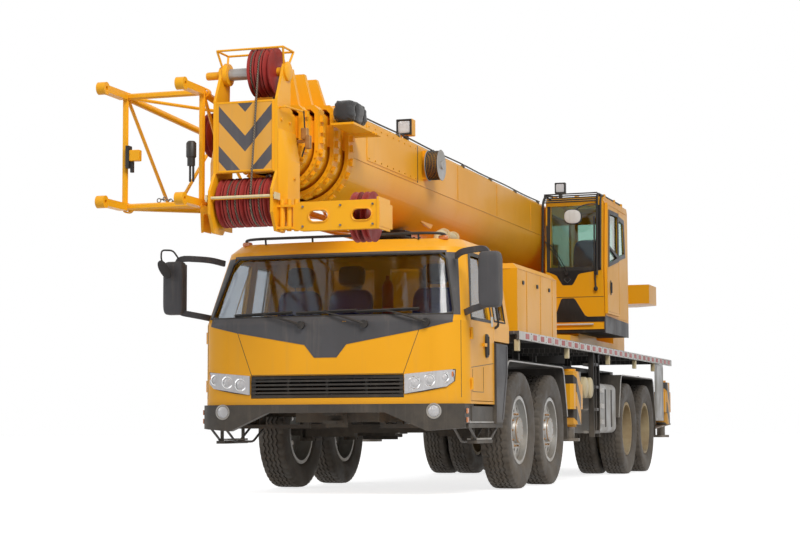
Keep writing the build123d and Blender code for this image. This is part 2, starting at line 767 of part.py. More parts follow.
# --- chassis --------------------------------------------------------------------------------------
def chassis_frame():
    """Front rails, box frame, outrigger boxes, tow jaws and boom rest."""
    rail = [
        (FRAME_FRONT, FRAME_LOW_Z0),
        (FRAME_STEP + 40, FRAME_LOW_Z0),
        (FRAME_STEP + RAIL_RAMP, FRAME_Z0),
        (FRAME_MID, FRAME_Z0),
        (FRAME_MID, RAIL_TOP),
        (FRAME_STEP + 30, RAIL_TOP),
        (FRAME_STEP + 30, FRAME_LOW_Z1),
        (FRAME_FRONT, FRAME_LOW_Z1),
    ]
    inner = FRAME_X - RAIL_T
    rails = both_sides(lambda sign: [prism_x(rail, sign * inner, sign * FRAME_X)])
    cross = [
        box(-inner, inner, FRAME_FRONT, FRAME_FRONT + CROSS_T, FRAME_LOW_Z0, FRAME_LOW_Z1),
        box(-inner, inner, FRAME_STEP + 250, FRAME_STEP + 250 + CROSS_T, FRAME_Z0, FRAME_Z0 + 200),
    ]
    body = box(-FRAME_X, FRAME_X, FRAME_MID, FRAME_REAR, FRAME_Z0, FRAME_Z1)
    ring_seat = bar((0, SLEW_Y, FRAME_Z1), (0, SLEW_Y, DECK_TOP), RING_R - RING_LAND)
    plate = box(-FRAME_X, FRAME_X, FRAME_REAR, FRAME_REAR + TAIL_PLATE, FRAME_Z0 - 160, FRAME_Z1)
    boxes = []
    for _, box_y in OUTRIGGER_BOXES:
        boxes += outrigger_box(box_y)
    pieces = [body, ring_seat, plate, *rails, *cross, *boxes]
    rooms = [outrigger_room(y) for _, y in OUTRIGGER_BOXES]
    cut = [piece - [room for room in rooms if overlapping(piece, room)] for piece in pieces]
    return fitted(*cut, *tow_jaws(), *boom_rest())


def beam_y(box_y, sign):
    """Centre line of one outrigger beam; the two beams of a box lie side by side."""
    return box_y + sign * (BEAM_SIDE / 2 + CLEAR + BOX_WALL / 2)


def outrigger_room(box_y):
    """Space of both beams through the frame."""
    room_half = BEAM_SIDE / 2 + CLEAR
    rooms = []
    for _, sign in SIDES:
        y = beam_y(box_y, sign)
        rooms.append(
            box(-BOX_X - 5, BOX_X + 5, y - room_half, y + room_half, BOX_Z - room_half, BOX_Z + room_half)
        )
    return joined(*rooms)


def outrigger_box(box_y):
    """The two halves of a cross box, outside the frame."""
    half_y = BEAM_SIDE + 2 * CLEAR + 1.5 * BOX_WALL
    half_z = BEAM_SIDE / 2 + CLEAR + BOX_WALL
    return both_sides(
        lambda sign: [
            box(sign * FRAME_X, sign * BOX_X, box_y - half_y, box_y + half_y, BOX_Z - half_z, BOX_Z + half_z)
        ]
    )


def tow_jaws():
    """Front and rear tow jaws: two plates with a vertical pin bore on a root block."""
    pieces = []
    for end_y, root_y, z in TOW_JAWS:
        inward = 1 if root_y > end_y else -1
        pin_y = end_y + inward * TOW_PIN_IN
        low, high = z - TOW_ROOT_Z, z + TOW_ROOT_Z
        root = box(-TOW_ROOT_X, TOW_ROOT_X, root_y - inward * TOW_ROOT_T, root_y, low, high)
        plates = []
        for z0 in (z - TOW_JAW_GAP / 2 - TOW_JAW_T, z + TOW_JAW_GAP / 2):
            plate = box(-TOW_JAW_X, TOW_JAW_X, end_y, root_y - inward * TOW_ROOT_T, z0, z0 + TOW_JAW_T)
            plates.append(plate - bar((0, pin_y, z0 - 5), (0, pin_y, z0 + TOW_JAW_T + 5), TOW_PIN_R))
        pieces.append(joined(root, *plates))
    return pieces


def boom_rest():
    """Portal behind the cab that the stowed boom rests over."""
    y0, y1 = REST_Y
    beam_z0, beam_z1 = REST_BEAM
    posts = both_sides(
        lambda sign: [box(sign * (FRAME_X - RAIL_T), sign * FRAME_X, y0 + 50, y1 - 50, RAIL_TOP, beam_z0)]
    )
    shoulder = beam_z1 - 40
    outline = [(FRAME_X, beam_z0), (FRAME_X, shoulder), (REST_PAD_X + 20, beam_z1)]
    head = prism_y(outline + [(-x, z) for x, z in reversed(outline)], y0 + 30, y1 - 30)
    pad = box(-REST_PAD_X, REST_PAD_X, y0, y1, beam_z1, REST_TOP)
    return [*posts, head, pad]


def deck():
    """Deck plate with skirts, bearers and legs, open over the engine and round the ring seat."""
    inner = DECK_X - SKIRT_T
    plate = box(-inner, inner, DECK_FRONT, DECK_REAR, DECK_TOP - DECK_T, DECK_TOP)
    engine_gap = box(-DECK_GAP_X, DECK_GAP_X, HOOD_FRONT + 60, HOOD_BACK - 60, DECK_TOP - 200, DECK_TOP + 10)
    ring_gap = bar((0, SLEW_Y, DECK_TOP - 200), (0, SLEW_Y, DECK_TOP + 10), RING_R - RING_LAND + FIT)
    skirts = both_sides(
        lambda sign: [
            box(sign * inner, sign * DECK_X, DECK_FRONT, DECK_REAR, DECK_TOP - DECK_SKIRT, DECK_TOP)
        ]
    )
    bearers, legs = [], []
    under = DECK_TOP - DECK_SKIRT
    for y in BEARER_YS:
        bearers.append(box(-inner, inner, y, y + BEARER_W, under, DECK_TOP - DECK_T))
        foot = FRAME_Z1 if y > FRAME_MID else RAIL_TOP
        legs += both_sides(
            lambda sign: [box(sign * (FRAME_X - RAIL_T), sign * FRAME_X, y, y + BEARER_W, foot, under)]
        )
    return fitted(plate - [engine_gap, ring_gap], *skirts, *bearers, *legs)


# --- outriggers -----------------------------------------------------------------------------------
def outrigger_beam(box_y, sign):
    """Square beam that slides sideways, with the jack's tube and its striped cover at its end."""
    y = beam_y(box_y, sign)
    half = BEAM_SIDE / 2
    inner_x = -sign * (BOX_X - BEAM_INSET)
    end_x = sign * (JACK_X - JACK_TUBE_R + 10)
    outer = box(inner_x, end_x, y - half, y + half, BOX_Z - half, BOX_Z + half)
    bore = box(
        inner_x,
        end_x - sign * BEAM_END_WALL,
        y - half + BEAM_WALL,
        y + half - BEAM_WALL,
        BOX_Z - half + BEAM_WALL,
        BOX_Z + half - BEAM_WALL,
    )
    pad = CLEAR - FIT
    pads = []
    for z in (BOX_Z - half - pad, BOX_Z + half):
        pads.append(box(inner_x, inner_x + sign * 120, y - 60, y + 60, z, z + pad))
    x = sign * JACK_X
    jack = bar((x, box_y, JACK_TUBE_Z0), (x, box_y, JACK_TUBE_Z1), JACK_TUBE_R)
    jack_bore = bar((x, box_y, JACK_TUBE_Z0 - 1), (x, box_y, JACK_TUBE_Z1 - 30), JACK_LEG_R + FIT)
    cover_x = sign * (JACK_X + JACK_TUBE_R + COVER_OUT)
    cover_y, cover_z = BEAM_SIDE + COVER_LIP, half + COVER_LIP
    cover = prism_z(
        [
            (sign * (BOX_X + CLEAR), box_y - cover_y),
            (cover_x - sign * COVER_BEVEL, box_y - cover_y),
            (cover_x, box_y - cover_y + COVER_BEVEL),
            (cover_x, box_y + cover_y - COVER_BEVEL),
            (cover_x - sign * COVER_BEVEL, box_y + cover_y),
            (sign * (BOX_X + CLEAR), box_y + cover_y),
        ],
        BOX_Z - cover_z,
        BOX_Z + cover_z,
    )
    return joined(outer - bore, *pads, jack, cover) - jack_bore


def outrigger_jack(box_y, sign):
    """Jack leg with its round float."""
    x = sign * JACK_X
    leg = bar((x, box_y, FLOAT_Z + FLOAT_T), (x, box_y, JACK_TUBE_Z1 - 60), JACK_LEG_R)
    pad = bar((x, box_y, FLOAT_Z), (x, box_y, FLOAT_Z + FLOAT_T), FLOAT_R)
    return joined(leg, pad)


# --- carrier cab ----------------------------------------------------------------------------------
def plan_edges(half, front, corner_y, back, z):
    """Outline of the cab at one height: shallow front arc, rounded corners and straight sides."""
    knee_x, knee_y = half - KNEE_IN, front + KNEE_BACK
    bulge_x, bulge_y = half - BULGE_IN, front + BULGE_BACK
    return [
        ThreePointArc((-knee_x, knee_y, z), (0, front, z), (knee_x, knee_y, z)),
        ThreePointArc((knee_x, knee_y, z), (bulge_x, bulge_y, z), (half, corner_y, z)),
        Line((half, corner_y, z), (half, back, z)),
        Line((half, back, z), (-half, back, z)),
        Line((-half, back, z), (-half, corner_y, z)),
        ThreePointArc((-half, corner_y, z), (-bulge_x, bulge_y, z), (-knee_x, knee_y, z)),
    ]


def cab_plan(inset):
    """Upright block over the cab's plan at the waist."""
    _, half, front, corner_y, back = CAB_STATIONS[0]
    edges = plan_edges(half - inset, front + inset, corner_y + inset * CORNER_SHARE, back + 400, 0)
    return extrude(make_face(edges), amount=CAB_ROOF_Z, dir=(0, 0, 1))


def cab_volume(inset):
    """Closed outer form of the cab, or its inside when inset by the wall: upright below, leaning above."""
    last = len(CAB_STATIONS) - 1
    faces = []
    for n, (z, half, front, corner_y, back) in enumerate(CAB_STATIONS):
        lift = inset if n == 0 else (-inset if n == last else 0)
        edges = plan_edges(
            half - inset, front + inset, corner_y + inset * CORNER_SHARE, back - inset, z + lift
        )
        faces.append(make_face(edges))
    body = Part() + [loft(pair, ruled=True) for pair in zip(faces, faces[1:])]
    low = box(-CAB_X - 50, CAB_X + 50, CAB_LOW_BACK - inset, CAB_BACK + 50, CAB_Z0 - 50, CAB_SHELF_Z + inset)
    return body - low


def door_space(sign, grow):
    """Block of the side wall that the door takes, or its opening when grown."""
    outline = [
        (DOOR_FRONT - grow, DOOR_Z0 - grow),
        (DOOR_BACK + grow, DOOR_Z0 - grow),
        (DOOR_BACK + grow, DOOR_Z1 + grow),
        (DOOR_FRONT + DOOR_RAKE - grow, DOOR_Z1 + grow),
        (DOOR_FRONT - grow, CAB_WAIST_Z + 60),
    ]
    block = prism_x(outline, sign * (CAB_X - DOOR_REACH), sign * (CAB_X + DOOR_OUT))
    wall_x = CAB_X - CAB_WALL - grow
    wall_y = CAB_LOW_BACK - CAB_WALL - grow
    back_wall = box(sign * wall_x, 0, wall_y, CAB_BACK, 0, CAB_SHELF_Z + CAB_WALL + grow)
    floor = box(sign * wall_x, 0, CAB_FRONT, CAB_BACK, 0, CAB_Z0 + CAB_WALL + grow)
    return block - back_wall - floor


def door_window(sign):
    """Cutter of the door's window."""
    outline = [
        (DOOR_FRONT + WINDOW_FRAME, CAB_WAIST_Z + 40),
        (DOOR_BACK - WINDOW_FRAME, CAB_WAIST_Z + 40),
        (DOOR_BACK - WINDOW_FRAME, DOOR_Z1 - WINDOW_FRAME),
        (DOOR_FRONT + DOOR_RAKE + 30, DOOR_Z1 - WINDOW_FRAME),
        (DOOR_FRONT + WINDOW_FRAME, CAB_WAIST_Z + 90),
    ]
    return prism_x(outline, sign * (CAB_X - 320), sign * (CAB_X + 80))


def quarter_window(sign):
    """Cutter of the side window behind the door."""
    outline = [
        (DOOR_BACK + 90, CAB_WAIST_Z + 60),
        (CAB_BACK - 110, CAB_WAIST_Z + 60),
        (CAB_BACK - 110, DOOR_Z1 - WINDOW_FRAME),
        (DOOR_BACK + 90, DOOR_Z1 - WINDOW_FRAME),
    ]
    return prism_x(outline, sign * (CAB_X - 320), sign * (CAB_X + 80))


def windscreen_space(grow):
    """Cutter of the windscreen."""
    low_x, top_x = SCREEN_X
    low_z, top_z = CAB_WAIST_Z + 50 - grow, CAB_ROOF_Z - 150 + grow
    outline = [(low_x + grow, low_z), (top_x + grow, top_z)]
    return prism_y(outline + [(-x, z) for x, z in reversed(outline)], CAB_FRONT - 100, CAB_CORNER_Y + 110)


def rear_windows():
    """Cutters of the two windows in the cab's back wall."""
    inner_x, outer_x = REAR_WINDOW_X
    return both_sides(
        lambda sign: [
            box(
                sign * inner_x,
                sign * outer_x,
                CAB_BACK - 140,
                CAB_BACK + 40,
                CAB_WAIST_Z + 120,
                CAB_ROOF_Z - 180,
            )
        ]
    )


def hinge_heights():
    """Heights of a door's two hinges."""
    return (DOOR_Z0 + 160, CAB_WAIST_Z - 120)


def door_hinge_line(sign):
    """Vertical line that a door turns about."""
    return sign * (CAB_X + HINGE_R), DOOR_FRONT - 10


def cab_shell():
    """Hollow cab with its windscreen, side, rear and door openings and the hinge lugs."""
    shell = cab_volume(0) - cab_volume(CAB_WALL)
    grille_x, grille_z0, grille_z1 = GRILLE_SPACE
    cuts = [
        windscreen_space(0),
        *rear_windows(),
        box(-grille_x, grille_x, CAB_FRONT - 80, CAB_FRONT + 210, grille_z0, grille_z1),
    ]
    lugs = []
    for _, sign in SIDES:
        cuts += [door_space(sign, DOOR_GAP), quarter_window(sign)]
        x, y = door_hinge_line(sign)
        for z in hinge_heights():
            for z0 in (z - HINGE_H / 2 - LUG_T - FIT, z + HINGE_H / 2 + FIT):
                lug = joined(
                    bar((x, y, z0), (x, y, z0 + LUG_T), HINGE_R),
                    box(x, x - sign * (HINGE_R + 16), y - 14, y + 2, z0, z0 + LUG_T),
                )
                lugs.append(lug)
    return joined(shell - cuts, *lugs)


def cab_door(sign):
    """Cab door: the wall's full thickness, with its window opening, handle and hinge barrels."""
    panel = (cab_volume(0) - cab_volume(CAB_WALL)) & door_space(sign, 0)
    panel -= door_window(sign)
    x, y = door_hinge_line(sign)
    barrels = []
    for z in hinge_heights():
        barrels.append(bar((x, y, z - HINGE_H / 2), (x, y, z + HINGE_H / 2), HINGE_R))
        barrels.append(box(sign * CAB_X, x, y, y + 70, z - HINGE_H / 2, z + HINGE_H / 2))
    handle_y0, handle_y1, handle_z0, handle_z1 = DOOR_HANDLE
    handle = box(sign * (CAB_X - 4), sign * (CAB_X + 22), handle_y0, handle_y1, handle_z0, handle_z1)
    return joined(panel, *barrels, handle)


def cab_glass():
    """Windscreen, rear windows and quarter windows."""
    skin = cab_volume(CAB_WALL / 2 - GLASS_T / 2) - cab_volume(CAB_WALL / 2 + GLASS_T / 2)
    panes = [skin & windscreen_space(0)]
    for cutter in rear_windows():
        panes.append(skin & cutter)
    for _, sign in SIDES:
        panes.append(skin & quarter_window(sign))
    return panes


def cab_interior():
    """Floor, dashboard, rear shelf, steering wheel and two seats."""
    inner = cab_volume(CAB_WALL + FIT)
    floor = inner & box(-CAB_X, CAB_X, BULKHEAD_Y, CAB_LOW_BACK, CAB_Z0, CAB_Z0 + FLOOR_T)
    bulkhead = inner & box(-CAB_X, CAB_X, BULKHEAD_Y, BULKHEAD_Y + 40, CAB_Z0, DASH_TOP)
    dash = inner & prism_x(
        [
            (BULKHEAD_Y, 1250),
            (DASH_BACK, 1300),
            (DASH_BACK, DASH_TOP - 60),
            (DASH_BACK - 60, DASH_TOP),
            (BULKHEAD_Y, DASH_TOP),
        ],
        -CAB_X,
        CAB_X,
    )
    shelf = inner & box(-CAB_X, CAB_X, CAB_LOW_BACK - SHELF_RUN, CAB_BACK, CAB_Z0, CAB_SHELF_Z + 90)
    pieces = [floor, bulkhead, dash, shelf]
    seat_front, seat_back = SEAT_Y
    for _, sign in SIDES:
        x = sign * SEAT_X
        cushion = prism_x(
            [
                (seat_front, CAB_Z0 + FLOOR_T),
                (seat_back, CAB_Z0 + FLOOR_T),
                (seat_back, SEAT_TOP),
                (seat_front, SEAT_TOP - 30),
            ],
            x - SEAT_HALF,
            x + SEAT_HALF,
        )
        back = prism_x(SEAT_BACK, x - SEAT_HALF + 10, x + SEAT_HALF - 10)
        pieces += [cushion, back]
    wheel_y, wheel_z, wheel_r, wheel_t = STEERING_WHEEL
    column = bar((SEAT_X, DASH_BACK - 60, DASH_TOP - 120), (SEAT_X, wheel_y, wheel_z), COLUMN_R)
    rim = Cylinder(wheel_r, wheel_t) - Cylinder(wheel_r - wheel_t, 2 * wheel_t)
    spokes = Box(2 * wheel_r - wheel_t, 2 * wheel_t, wheel_t)
    wheel = Plane(origin=(SEAT_X, wheel_y, wheel_z), z_dir=STEERING_TILT) * (rim + spokes)
    return fitted(*pieces, joined(column, wheel))


def bumper():
    """Deep front bumper, open in the middle, with the steps and their hangers at both sides."""
    band = cab_plan(-BUMPER_OUT) - cab_plan(BUMPER_IN)
    half = [
        (BUMPER_X, CAB_Z0),
        (BUMPER_X, BUMPER_END_Z),
        (BUMPER_LOW_X, BUMPER_LOW_Z),
        (BUMPER_GAP_X, BUMPER_MID_Z),
    ]
    outline = half + [(-x, z) for x, z in reversed(half)]
    shell = band & prism_y([(x, z - FIT) for x, z in outline], CAB_FRONT - 100, BUMPER_BACK)
    pieces = []
    cuts = [-CAB_X - 50, *(-x for x in reversed(BUMPER_CUTS)), *BUMPER_CUTS, CAB_X + 50]
    for x0, x1 in zip(cuts, cuts[1:]):
        pieces.append(shell & box(x0, x1, CAB_FRONT - 100, BUMPER_BACK, 0, CAB_Z0))
    front_face = CAB_FRONT + BUMPER_IN
    pieces += both_sides(
        lambda sign: [box(sign * 345, sign * 425, front_face, FRAME_FRONT, BUMPER_MID_Z + 10, CAB_Z0 - 20)]
    )
    upper_x, lower_x = STEP_X
    step_y0, step_y1, low_y0, low_y1 = STEP_YS
    for _, sign in SIDES:
        pieces.append(box(sign * upper_x, sign * CAB_X, step_y0, step_y1, STEP_Z, STEP_Z + STEP_T))
        pieces.append(box(sign * lower_x, sign * CAB_X, low_y0, low_y1, LOW_STEP_Z, LOW_STEP_Z + 30))
        for y in STEP_ARM_YS:
            pieces.append(box(sign * 1290, sign * 1320, y, y + 20, LOW_STEP_Z + 30, STEP_Z))
            pieces.append(box(sign * FRAME_X, sign * upper_x, y, y + 60, STEP_Z, STEP_Z + STEP_T))
            pieces.append(box(sign * (FRAME_X - 60), sign * FRAME_X, y, y + 60, STEP_Z, FRAME_LOW_Z0))
        pieces.append(box(sign * 1130, sign * 1180, -1140, -1100, STEP_Z + STEP_T, CAB_Z0))
    return fitted(*pieces)


def grille():
    """Black grille frame with slats, between the headlamps."""
    grille_x, grille_z0, grille_z1 = GRILLE_SPACE
    half, z0, z1 = grille_x - 5, grille_z0 + 5, grille_z1 - 5
    face = CAB_FRONT + 40
    frame = box(-half, half, face, face + 50, z0, z1)
    openings = box(-half + 40, half - 40, face - 10, face + 60, z0 + 30, z1 - 30)
    pitch = (z1 - z0 - 60) / SLATS
    slats = [box(-half, half, face - 15, face + 35, z, z + SLAT_T)
             for z in (z0 + 30 + pitch * (n + 0.5) - SLAT_T / 2 for n in range(SLATS))]
    bars = [box(x - 12, x + 12, face + 5, face + 45, z0, z1) for x in (-400, 0, 400)]
    cheeks = both_sides(
        lambda sign: [box(sign * (half - 10), sign * (grille_x - FIT), face, BULKHEAD_Y - FIT, z0, z1)]
    )
    return joined(frame - openings, *slats, *bars, *cheeks)


def lamps():
    """Headlamps on the cab's corners and the rear lamp boxes on their arms."""
    pieces = []
    band = cab_plan(-LAMP_OUT) - cab_plan(-FIT)
    for _, sign in SIDES:
        outline = [(sign * x, z) for x, z in HEADLAMP]
        pieces.append(band & prism_y(outline, CAB_FRONT - 100, -1950))
        lamp_y = FRAME_REAR + TAIL_PLATE
        arm = box(sign * FRAME_X, sign * 1300, lamp_y - 40, lamp_y, 1030, 1130)
        pieces.append(joined(arm, box(sign * 900, sign * 1300, lamp_y - 1, lamp_y + 70, 1010, 1150)))
    return pieces


def mirrors():
    """Tall rear-view mirrors on arms at the front pillars."""
    pieces = []
    cab = cab_volume(-FIT)
    z0, z1 = MIRROR_Z
    for _, sign in SIDES:
        x0, x1 = sign * (MIRROR_EDGE - MIRROR_W), sign * MIRROR_EDGE
        house = box(x0, x1, MIRROR_Y - MIRROR_T, MIRROR_Y, z0, z1)
        house = fillet(house.edges().filter_by(Axis.Y), MIRROR_ROUND)
        arms = []
        for z, y, wall_x in MIRROR_ARMS:
            root, knee = sign * (wall_x - 3 * ARM_FOOT), sign * (wall_x + 2 * ARM_FOOT)
            arms.append(box(root, knee, y - ARM_FOOT, y + ARM_FOOT, z - ARM_H, z + ARM_H) - cab)
            arms.append(bar((sign * (wall_x + ARM_FOOT), y, z), (x0 + sign * 40, MIRROR_Y - 20, z), ARM_R))
        pieces.append(joined(house, *arms))
    return pieces


def engine_hood():
    """Engine housing behind the cab: hollow below, chamfered along the top."""
    side = [
        (HOOD_FRONT, DECK_TOP),
        (HOOD_FRONT, HOOD_TOP - HOOD_CHAMFER),
        (HOOD_FRONT + HOOD_CHAMFER, HOOD_TOP),
        (HOOD_BACK - HOOD_CHAMFER, HOOD_TOP),
        (HOOD_BACK, HOOD_TOP - HOOD_CHAMFER),
        (HOOD_BACK, DECK_TOP),
    ]
    front = [(HOOD_X, DECK_TOP), (HOOD_X, HOOD_TOP - HOOD_CHAMFER), (HOOD_X - HOOD_CHAMFER, HOOD_TOP)]
    outline = front + [(-x, z) for x, z in reversed(front)]
    block = prism_x(side, -HOOD_X, HOOD_X) & prism_y(outline, HOOD_FRONT, HOOD_BACK)
    hollow = box(
        -HOOD_X + HOOD_WALL,
        HOOD_X - HOOD_WALL,
        HOOD_FRONT + HOOD_WALL,
        HOOD_BACK - HOOD_WALL,
        DECK_TOP - 10,
        HOOD_TOP - HOOD_WALL - 30,
    )
    return block - hollow


def engine():
    """Carrier engine and gearbox between the rails, on four feet."""
    foot_top = ENGINE_FOOT_Z + ENGINE_FOOT
    half, top, low = ENGINE_HALF
    feet = both_sides(
        lambda sign: [
            box(sign * half, sign * (FRAME_X - RAIL_T), y, y + ENGINE_FOOT, ENGINE_FOOT_Z, foot_top)
            for y in ENGINE_FEET
        ]
    )
    sump = box(-half + 90, half - 90, ENGINE_FRONT + 60, ENGINE_BACK - 60, low - 110, low)
    block = box(-half, half, ENGINE_FRONT, ENGINE_BACK, low, top)
    gearbox = box(-230, 230, ENGINE_BACK, GEARBOX_BACK, SHAFT_Z - 70, 1250)
    return fitted(block, sump, gearbox, *feet)


def mudguards():
    """Guards over the wheels: flat tops, sloping flaps, arms to the frame, and the cab's wing panels."""
    pieces = []
    for y0, y1, inner in GUARD_SPANS:
        knee0, knee1 = y0 + GUARD_RUN, y1 - GUARD_RUN
        top, foot, t = GUARD_TOP, GUARD_FOOT, GUARD_T
        for _, sign in SIDES:
            x0, x1 = sign * inner, sign * GUARD_X
            pieces.append(prism_x([(knee0, top - t), (knee1, top - t), (knee1, top), (knee0, top)], x0, x1))
            pieces.append(prism_x([(y0, foot), (knee0, top - t), (knee0, top), (y0 - t, foot)], x0, x1))
            pieces.append(prism_x([(y1, foot), (y1 + t, foot), (knee1, top), (knee1, top - t)], x0, x1))
            for y in (y0 + GUARD_ARM, y1 - GUARD_ARM - 60):
                pieces.append(box(sign * FRAME_X, sign * 1200, y, y + 60, top, top + GUARD_ARM_H))
                if y < FRAME_MID:
                    rail_in = sign * (FRAME_X - 65)
                    pieces.append(box(rail_in, sign * FRAME_X, y, y + 60, RAIL_TOP, top + GUARD_ARM_H))
    for _, sign in SIDES:
        pieces.append(prism_x(WING, sign * WING_X, sign * GUARD_X))
    return fitted(*pieces)


def side_equipment():
    """Fuel tank, tool box, air tanks, ladder and spare wheel, on their brackets."""
    pieces = []
    tank_y0, tank_y1, tank_z0, tank_z1 = FUEL_TANK
    profile = [(TANK_IN_X, tank_z0), (SIDE_X, tank_z0), (SIDE_X, tank_z1), (TANK_IN_X, tank_z1)]
    body = prism_y(profile, tank_y0, tank_y1)
    pieces.append(fillet(body.edges().filter_by(Axis.Y), TANK_ROUND))
    arm_z0, arm_z1 = TANK_ARM
    pieces.append(box(FRAME_X, TANK_IN_X, tank_y0 + 150, tank_y1 - 50, arm_z0, arm_z1))
    chest_y0, chest_y1, chest_z0, chest_z1 = TOOL_CHEST
    pieces.append(box(-SIDE_X, -TANK_IN_X, chest_y0, chest_y1, chest_z0, chest_z1))
    pieces.append(box(-FRAME_X, -TANK_IN_X, tank_y0 + 150, tank_y1 - 50, arm_z0, arm_z1))
    for y in AIR_TANK_YS:
        pieces.append(bar((TANK_IN_X, y, AIR_TANK_Z), (SIDE_X - 10, y, AIR_TANK_Z), AIR_TANK_R))
        pieces.append(box(FRAME_X, TANK_IN_X, y - 30, y + 30, AIR_TANK_Z - 30, AIR_TANK_Z + 30))
    ladder_y0, ladder_y1 = LADDER_Y
    for _, sign in SIDES:
        for y in LADDER_Y:
            stile_x = sign * (SIDE_X - LADDER_STILE)
            low, high = y - LADDER_HALF, y + LADDER_HALF
            pieces.append(box(stile_x, sign * SIDE_X, low, high, LADDER_Z0, DECK_TOP - DECK_SKIRT))
        for n in range(LADDER_STEPS):
            z = LADDER_Z0 + 40 + n * LADDER_PITCH
            step_x = sign * (SIDE_X - LADDER_TREAD)
            low, high = ladder_y0 + LADDER_HALF, ladder_y1 - LADDER_HALF
            pieces.append(box(step_x, sign * SIDE_X, low, high, z, z + LADDER_T))
    return fitted(*pieces)


# --- superstructure -------------------------------------------------------------------------------
def turntable():
    """Slewing table: ring, floor, cheeks up to the boom foot, pins, and the crane cab's carrier."""
    floor_top = TABLE_Z0 + TABLE_T
    ring = bar((0, SLEW_Y, RING_Z0 + FIT), (0, SLEW_Y, TABLE_Z0), RING_R)
    nose = CHEEK_X + CHEEK_T + TABLE_LIP
    floor = prism_z(
        [
            (-TABLE_X, TABLE_FRONT + TABLE_TAPER),
            (-nose, TABLE_FRONT),
            (nose, TABLE_FRONT),
            (TABLE_X, TABLE_FRONT + TABLE_TAPER),
            (TABLE_X, TABLE_BACK),
            (-TABLE_X, TABLE_BACK),
        ],
        TABLE_Z0,
        floor_top,
    )
    profile = [
        (TABLE_FRONT + 100, floor_top),
        (TABLE_BACK, floor_top),
        (TABLE_BACK, DRUM_Z + 120),
        (TABLE_BACK - 160, DRUM_Z + 300),
        (FOOT_Y + 420, DRUM_Z + 330),
        (FOOT_Y + 190, FOOT_Z + 190),
        (FOOT_Y - 190, FOOT_Z + 190),
        (FOOT_Y - 520, FOOT_Z - 260),
        (FOOT_Y - 1500, 2350),
        (TABLE_FRONT + 100, 2150),
    ]
    cheeks = both_sides(lambda sign: [prism_x(profile, sign * CHEEK_X, sign * (CHEEK_X + CHEEK_T))])
    pin = bar((-CHEEK_X, FOOT_Y, FOOT_Z), (CHEEK_X, FOOT_Y, FOOT_Z), FOOT_PIN_R)
    boss_x = CHEEK_X + CHEEK_T
    boss_end = boss_x + FOOT_BOSS_T
    bosses = both_sides(
        lambda sign: [
            bar((sign * boss_x, FOOT_Y, FOOT_Z), (sign * boss_end, FOOT_Y, FOOT_Z), 2 * FOOT_PIN_R)
        ]
    )
    base_y, base_z = LUFF_BASE
    pin_x = EYE_HALF + CLEAR + LUG_W
    luff_pin = bar((-pin_x, base_y, base_z), (pin_x, base_y, base_z), LUFF_PIN_R)
    lug = [
        (base_y - 160, floor_top),
        (base_y + 160, floor_top),
        (base_y + 90, base_z + 90),
        (base_y - 90, base_z + 90),
    ]
    lugs = both_sides(
        lambda sign: [prism_x(lug, sign * (EYE_HALF + CLEAR), sign * (EYE_HALF + CLEAR + LUG_W))]
    )
    cab_floor = box(boss_x, CC_X1 - 20, CC_FRONT + 160, CC_BACK - 40, CC_Z0 - CAB_BEARER, CC_Z0 - FIT)
    cab_leg = box(boss_x, TABLE_X, CC_FRONT + 300, CC_BACK - 300, floor_top, CC_Z0 - CAB_BEARER)
    tank = box(-boss_x, -TABLE_X, SLEW_Y, FOOT_Y + 400, floor_top, 2240)
    cross = box(-CHEEK_X, CHEEK_X, TABLE_BACK - 40, TABLE_BACK, floor_top, DRUM_Z - DRUM_FLANGE_R - 20)
    return fitted(ring, floor, *cheeks, pin, luff_pin, *lugs, *bosses, cab_floor, cab_leg, tank, cross)


def counterweight():
    """Wide slab over the tail, its side blocks beside the cheeks and the wings under them."""
    inner = CHEEK_X + CHEEK_T + FIT
    slab = prism_z(
        [
            (-WEIGHT_X, TABLE_BACK + FIT),
            (WEIGHT_X, TABLE_BACK + FIT),
            (WEIGHT_X, WEIGHT_BACK - WEIGHT_TAPER_Y),
            (WEIGHT_X - WEIGHT_TAPER_X, WEIGHT_BACK),
            (-WEIGHT_X + WEIGHT_TAPER_X, WEIGHT_BACK),
            (-WEIGHT_X, WEIGHT_BACK - WEIGHT_TAPER_Y),
        ],
        WEIGHT_Z0,
        WEIGHT_Z1,
    )
    blocks = both_sides(
        lambda sign: [
            box(sign * inner, sign * WEIGHT_X, WEIGHT_FRONT, TABLE_BACK + FIT, WEIGHT_Z0, WEIGHT_Z1),
            box(sign * inner, sign * TABLE_X, WING_FRONT, TABLE_BACK, TABLE_Z0 + TABLE_T, WEIGHT_Z0),
        ]
    )
    return fitted(slab, *blocks)


def winches():
    """Main and auxiliary winch drums between the cheeks."""
    pieces = []
    half = DRUM_W / 2
    z = DRUM_Z
    for y in DRUM_YS:
        drum = [bar((-half, y, z), (half, y, z), DRUM_R)]
        for _, sign in SIDES:
            drum.append(bar((sign * half, y, z), (sign * (half + 20), y, z), DRUM_FLANGE_R))
            drum.append(bar((sign * half, y, z), (sign * (CHEEK_X - FIT), y, z), DRUM_GEAR_R))
        pieces.append(joined(*drum))
    return pieces


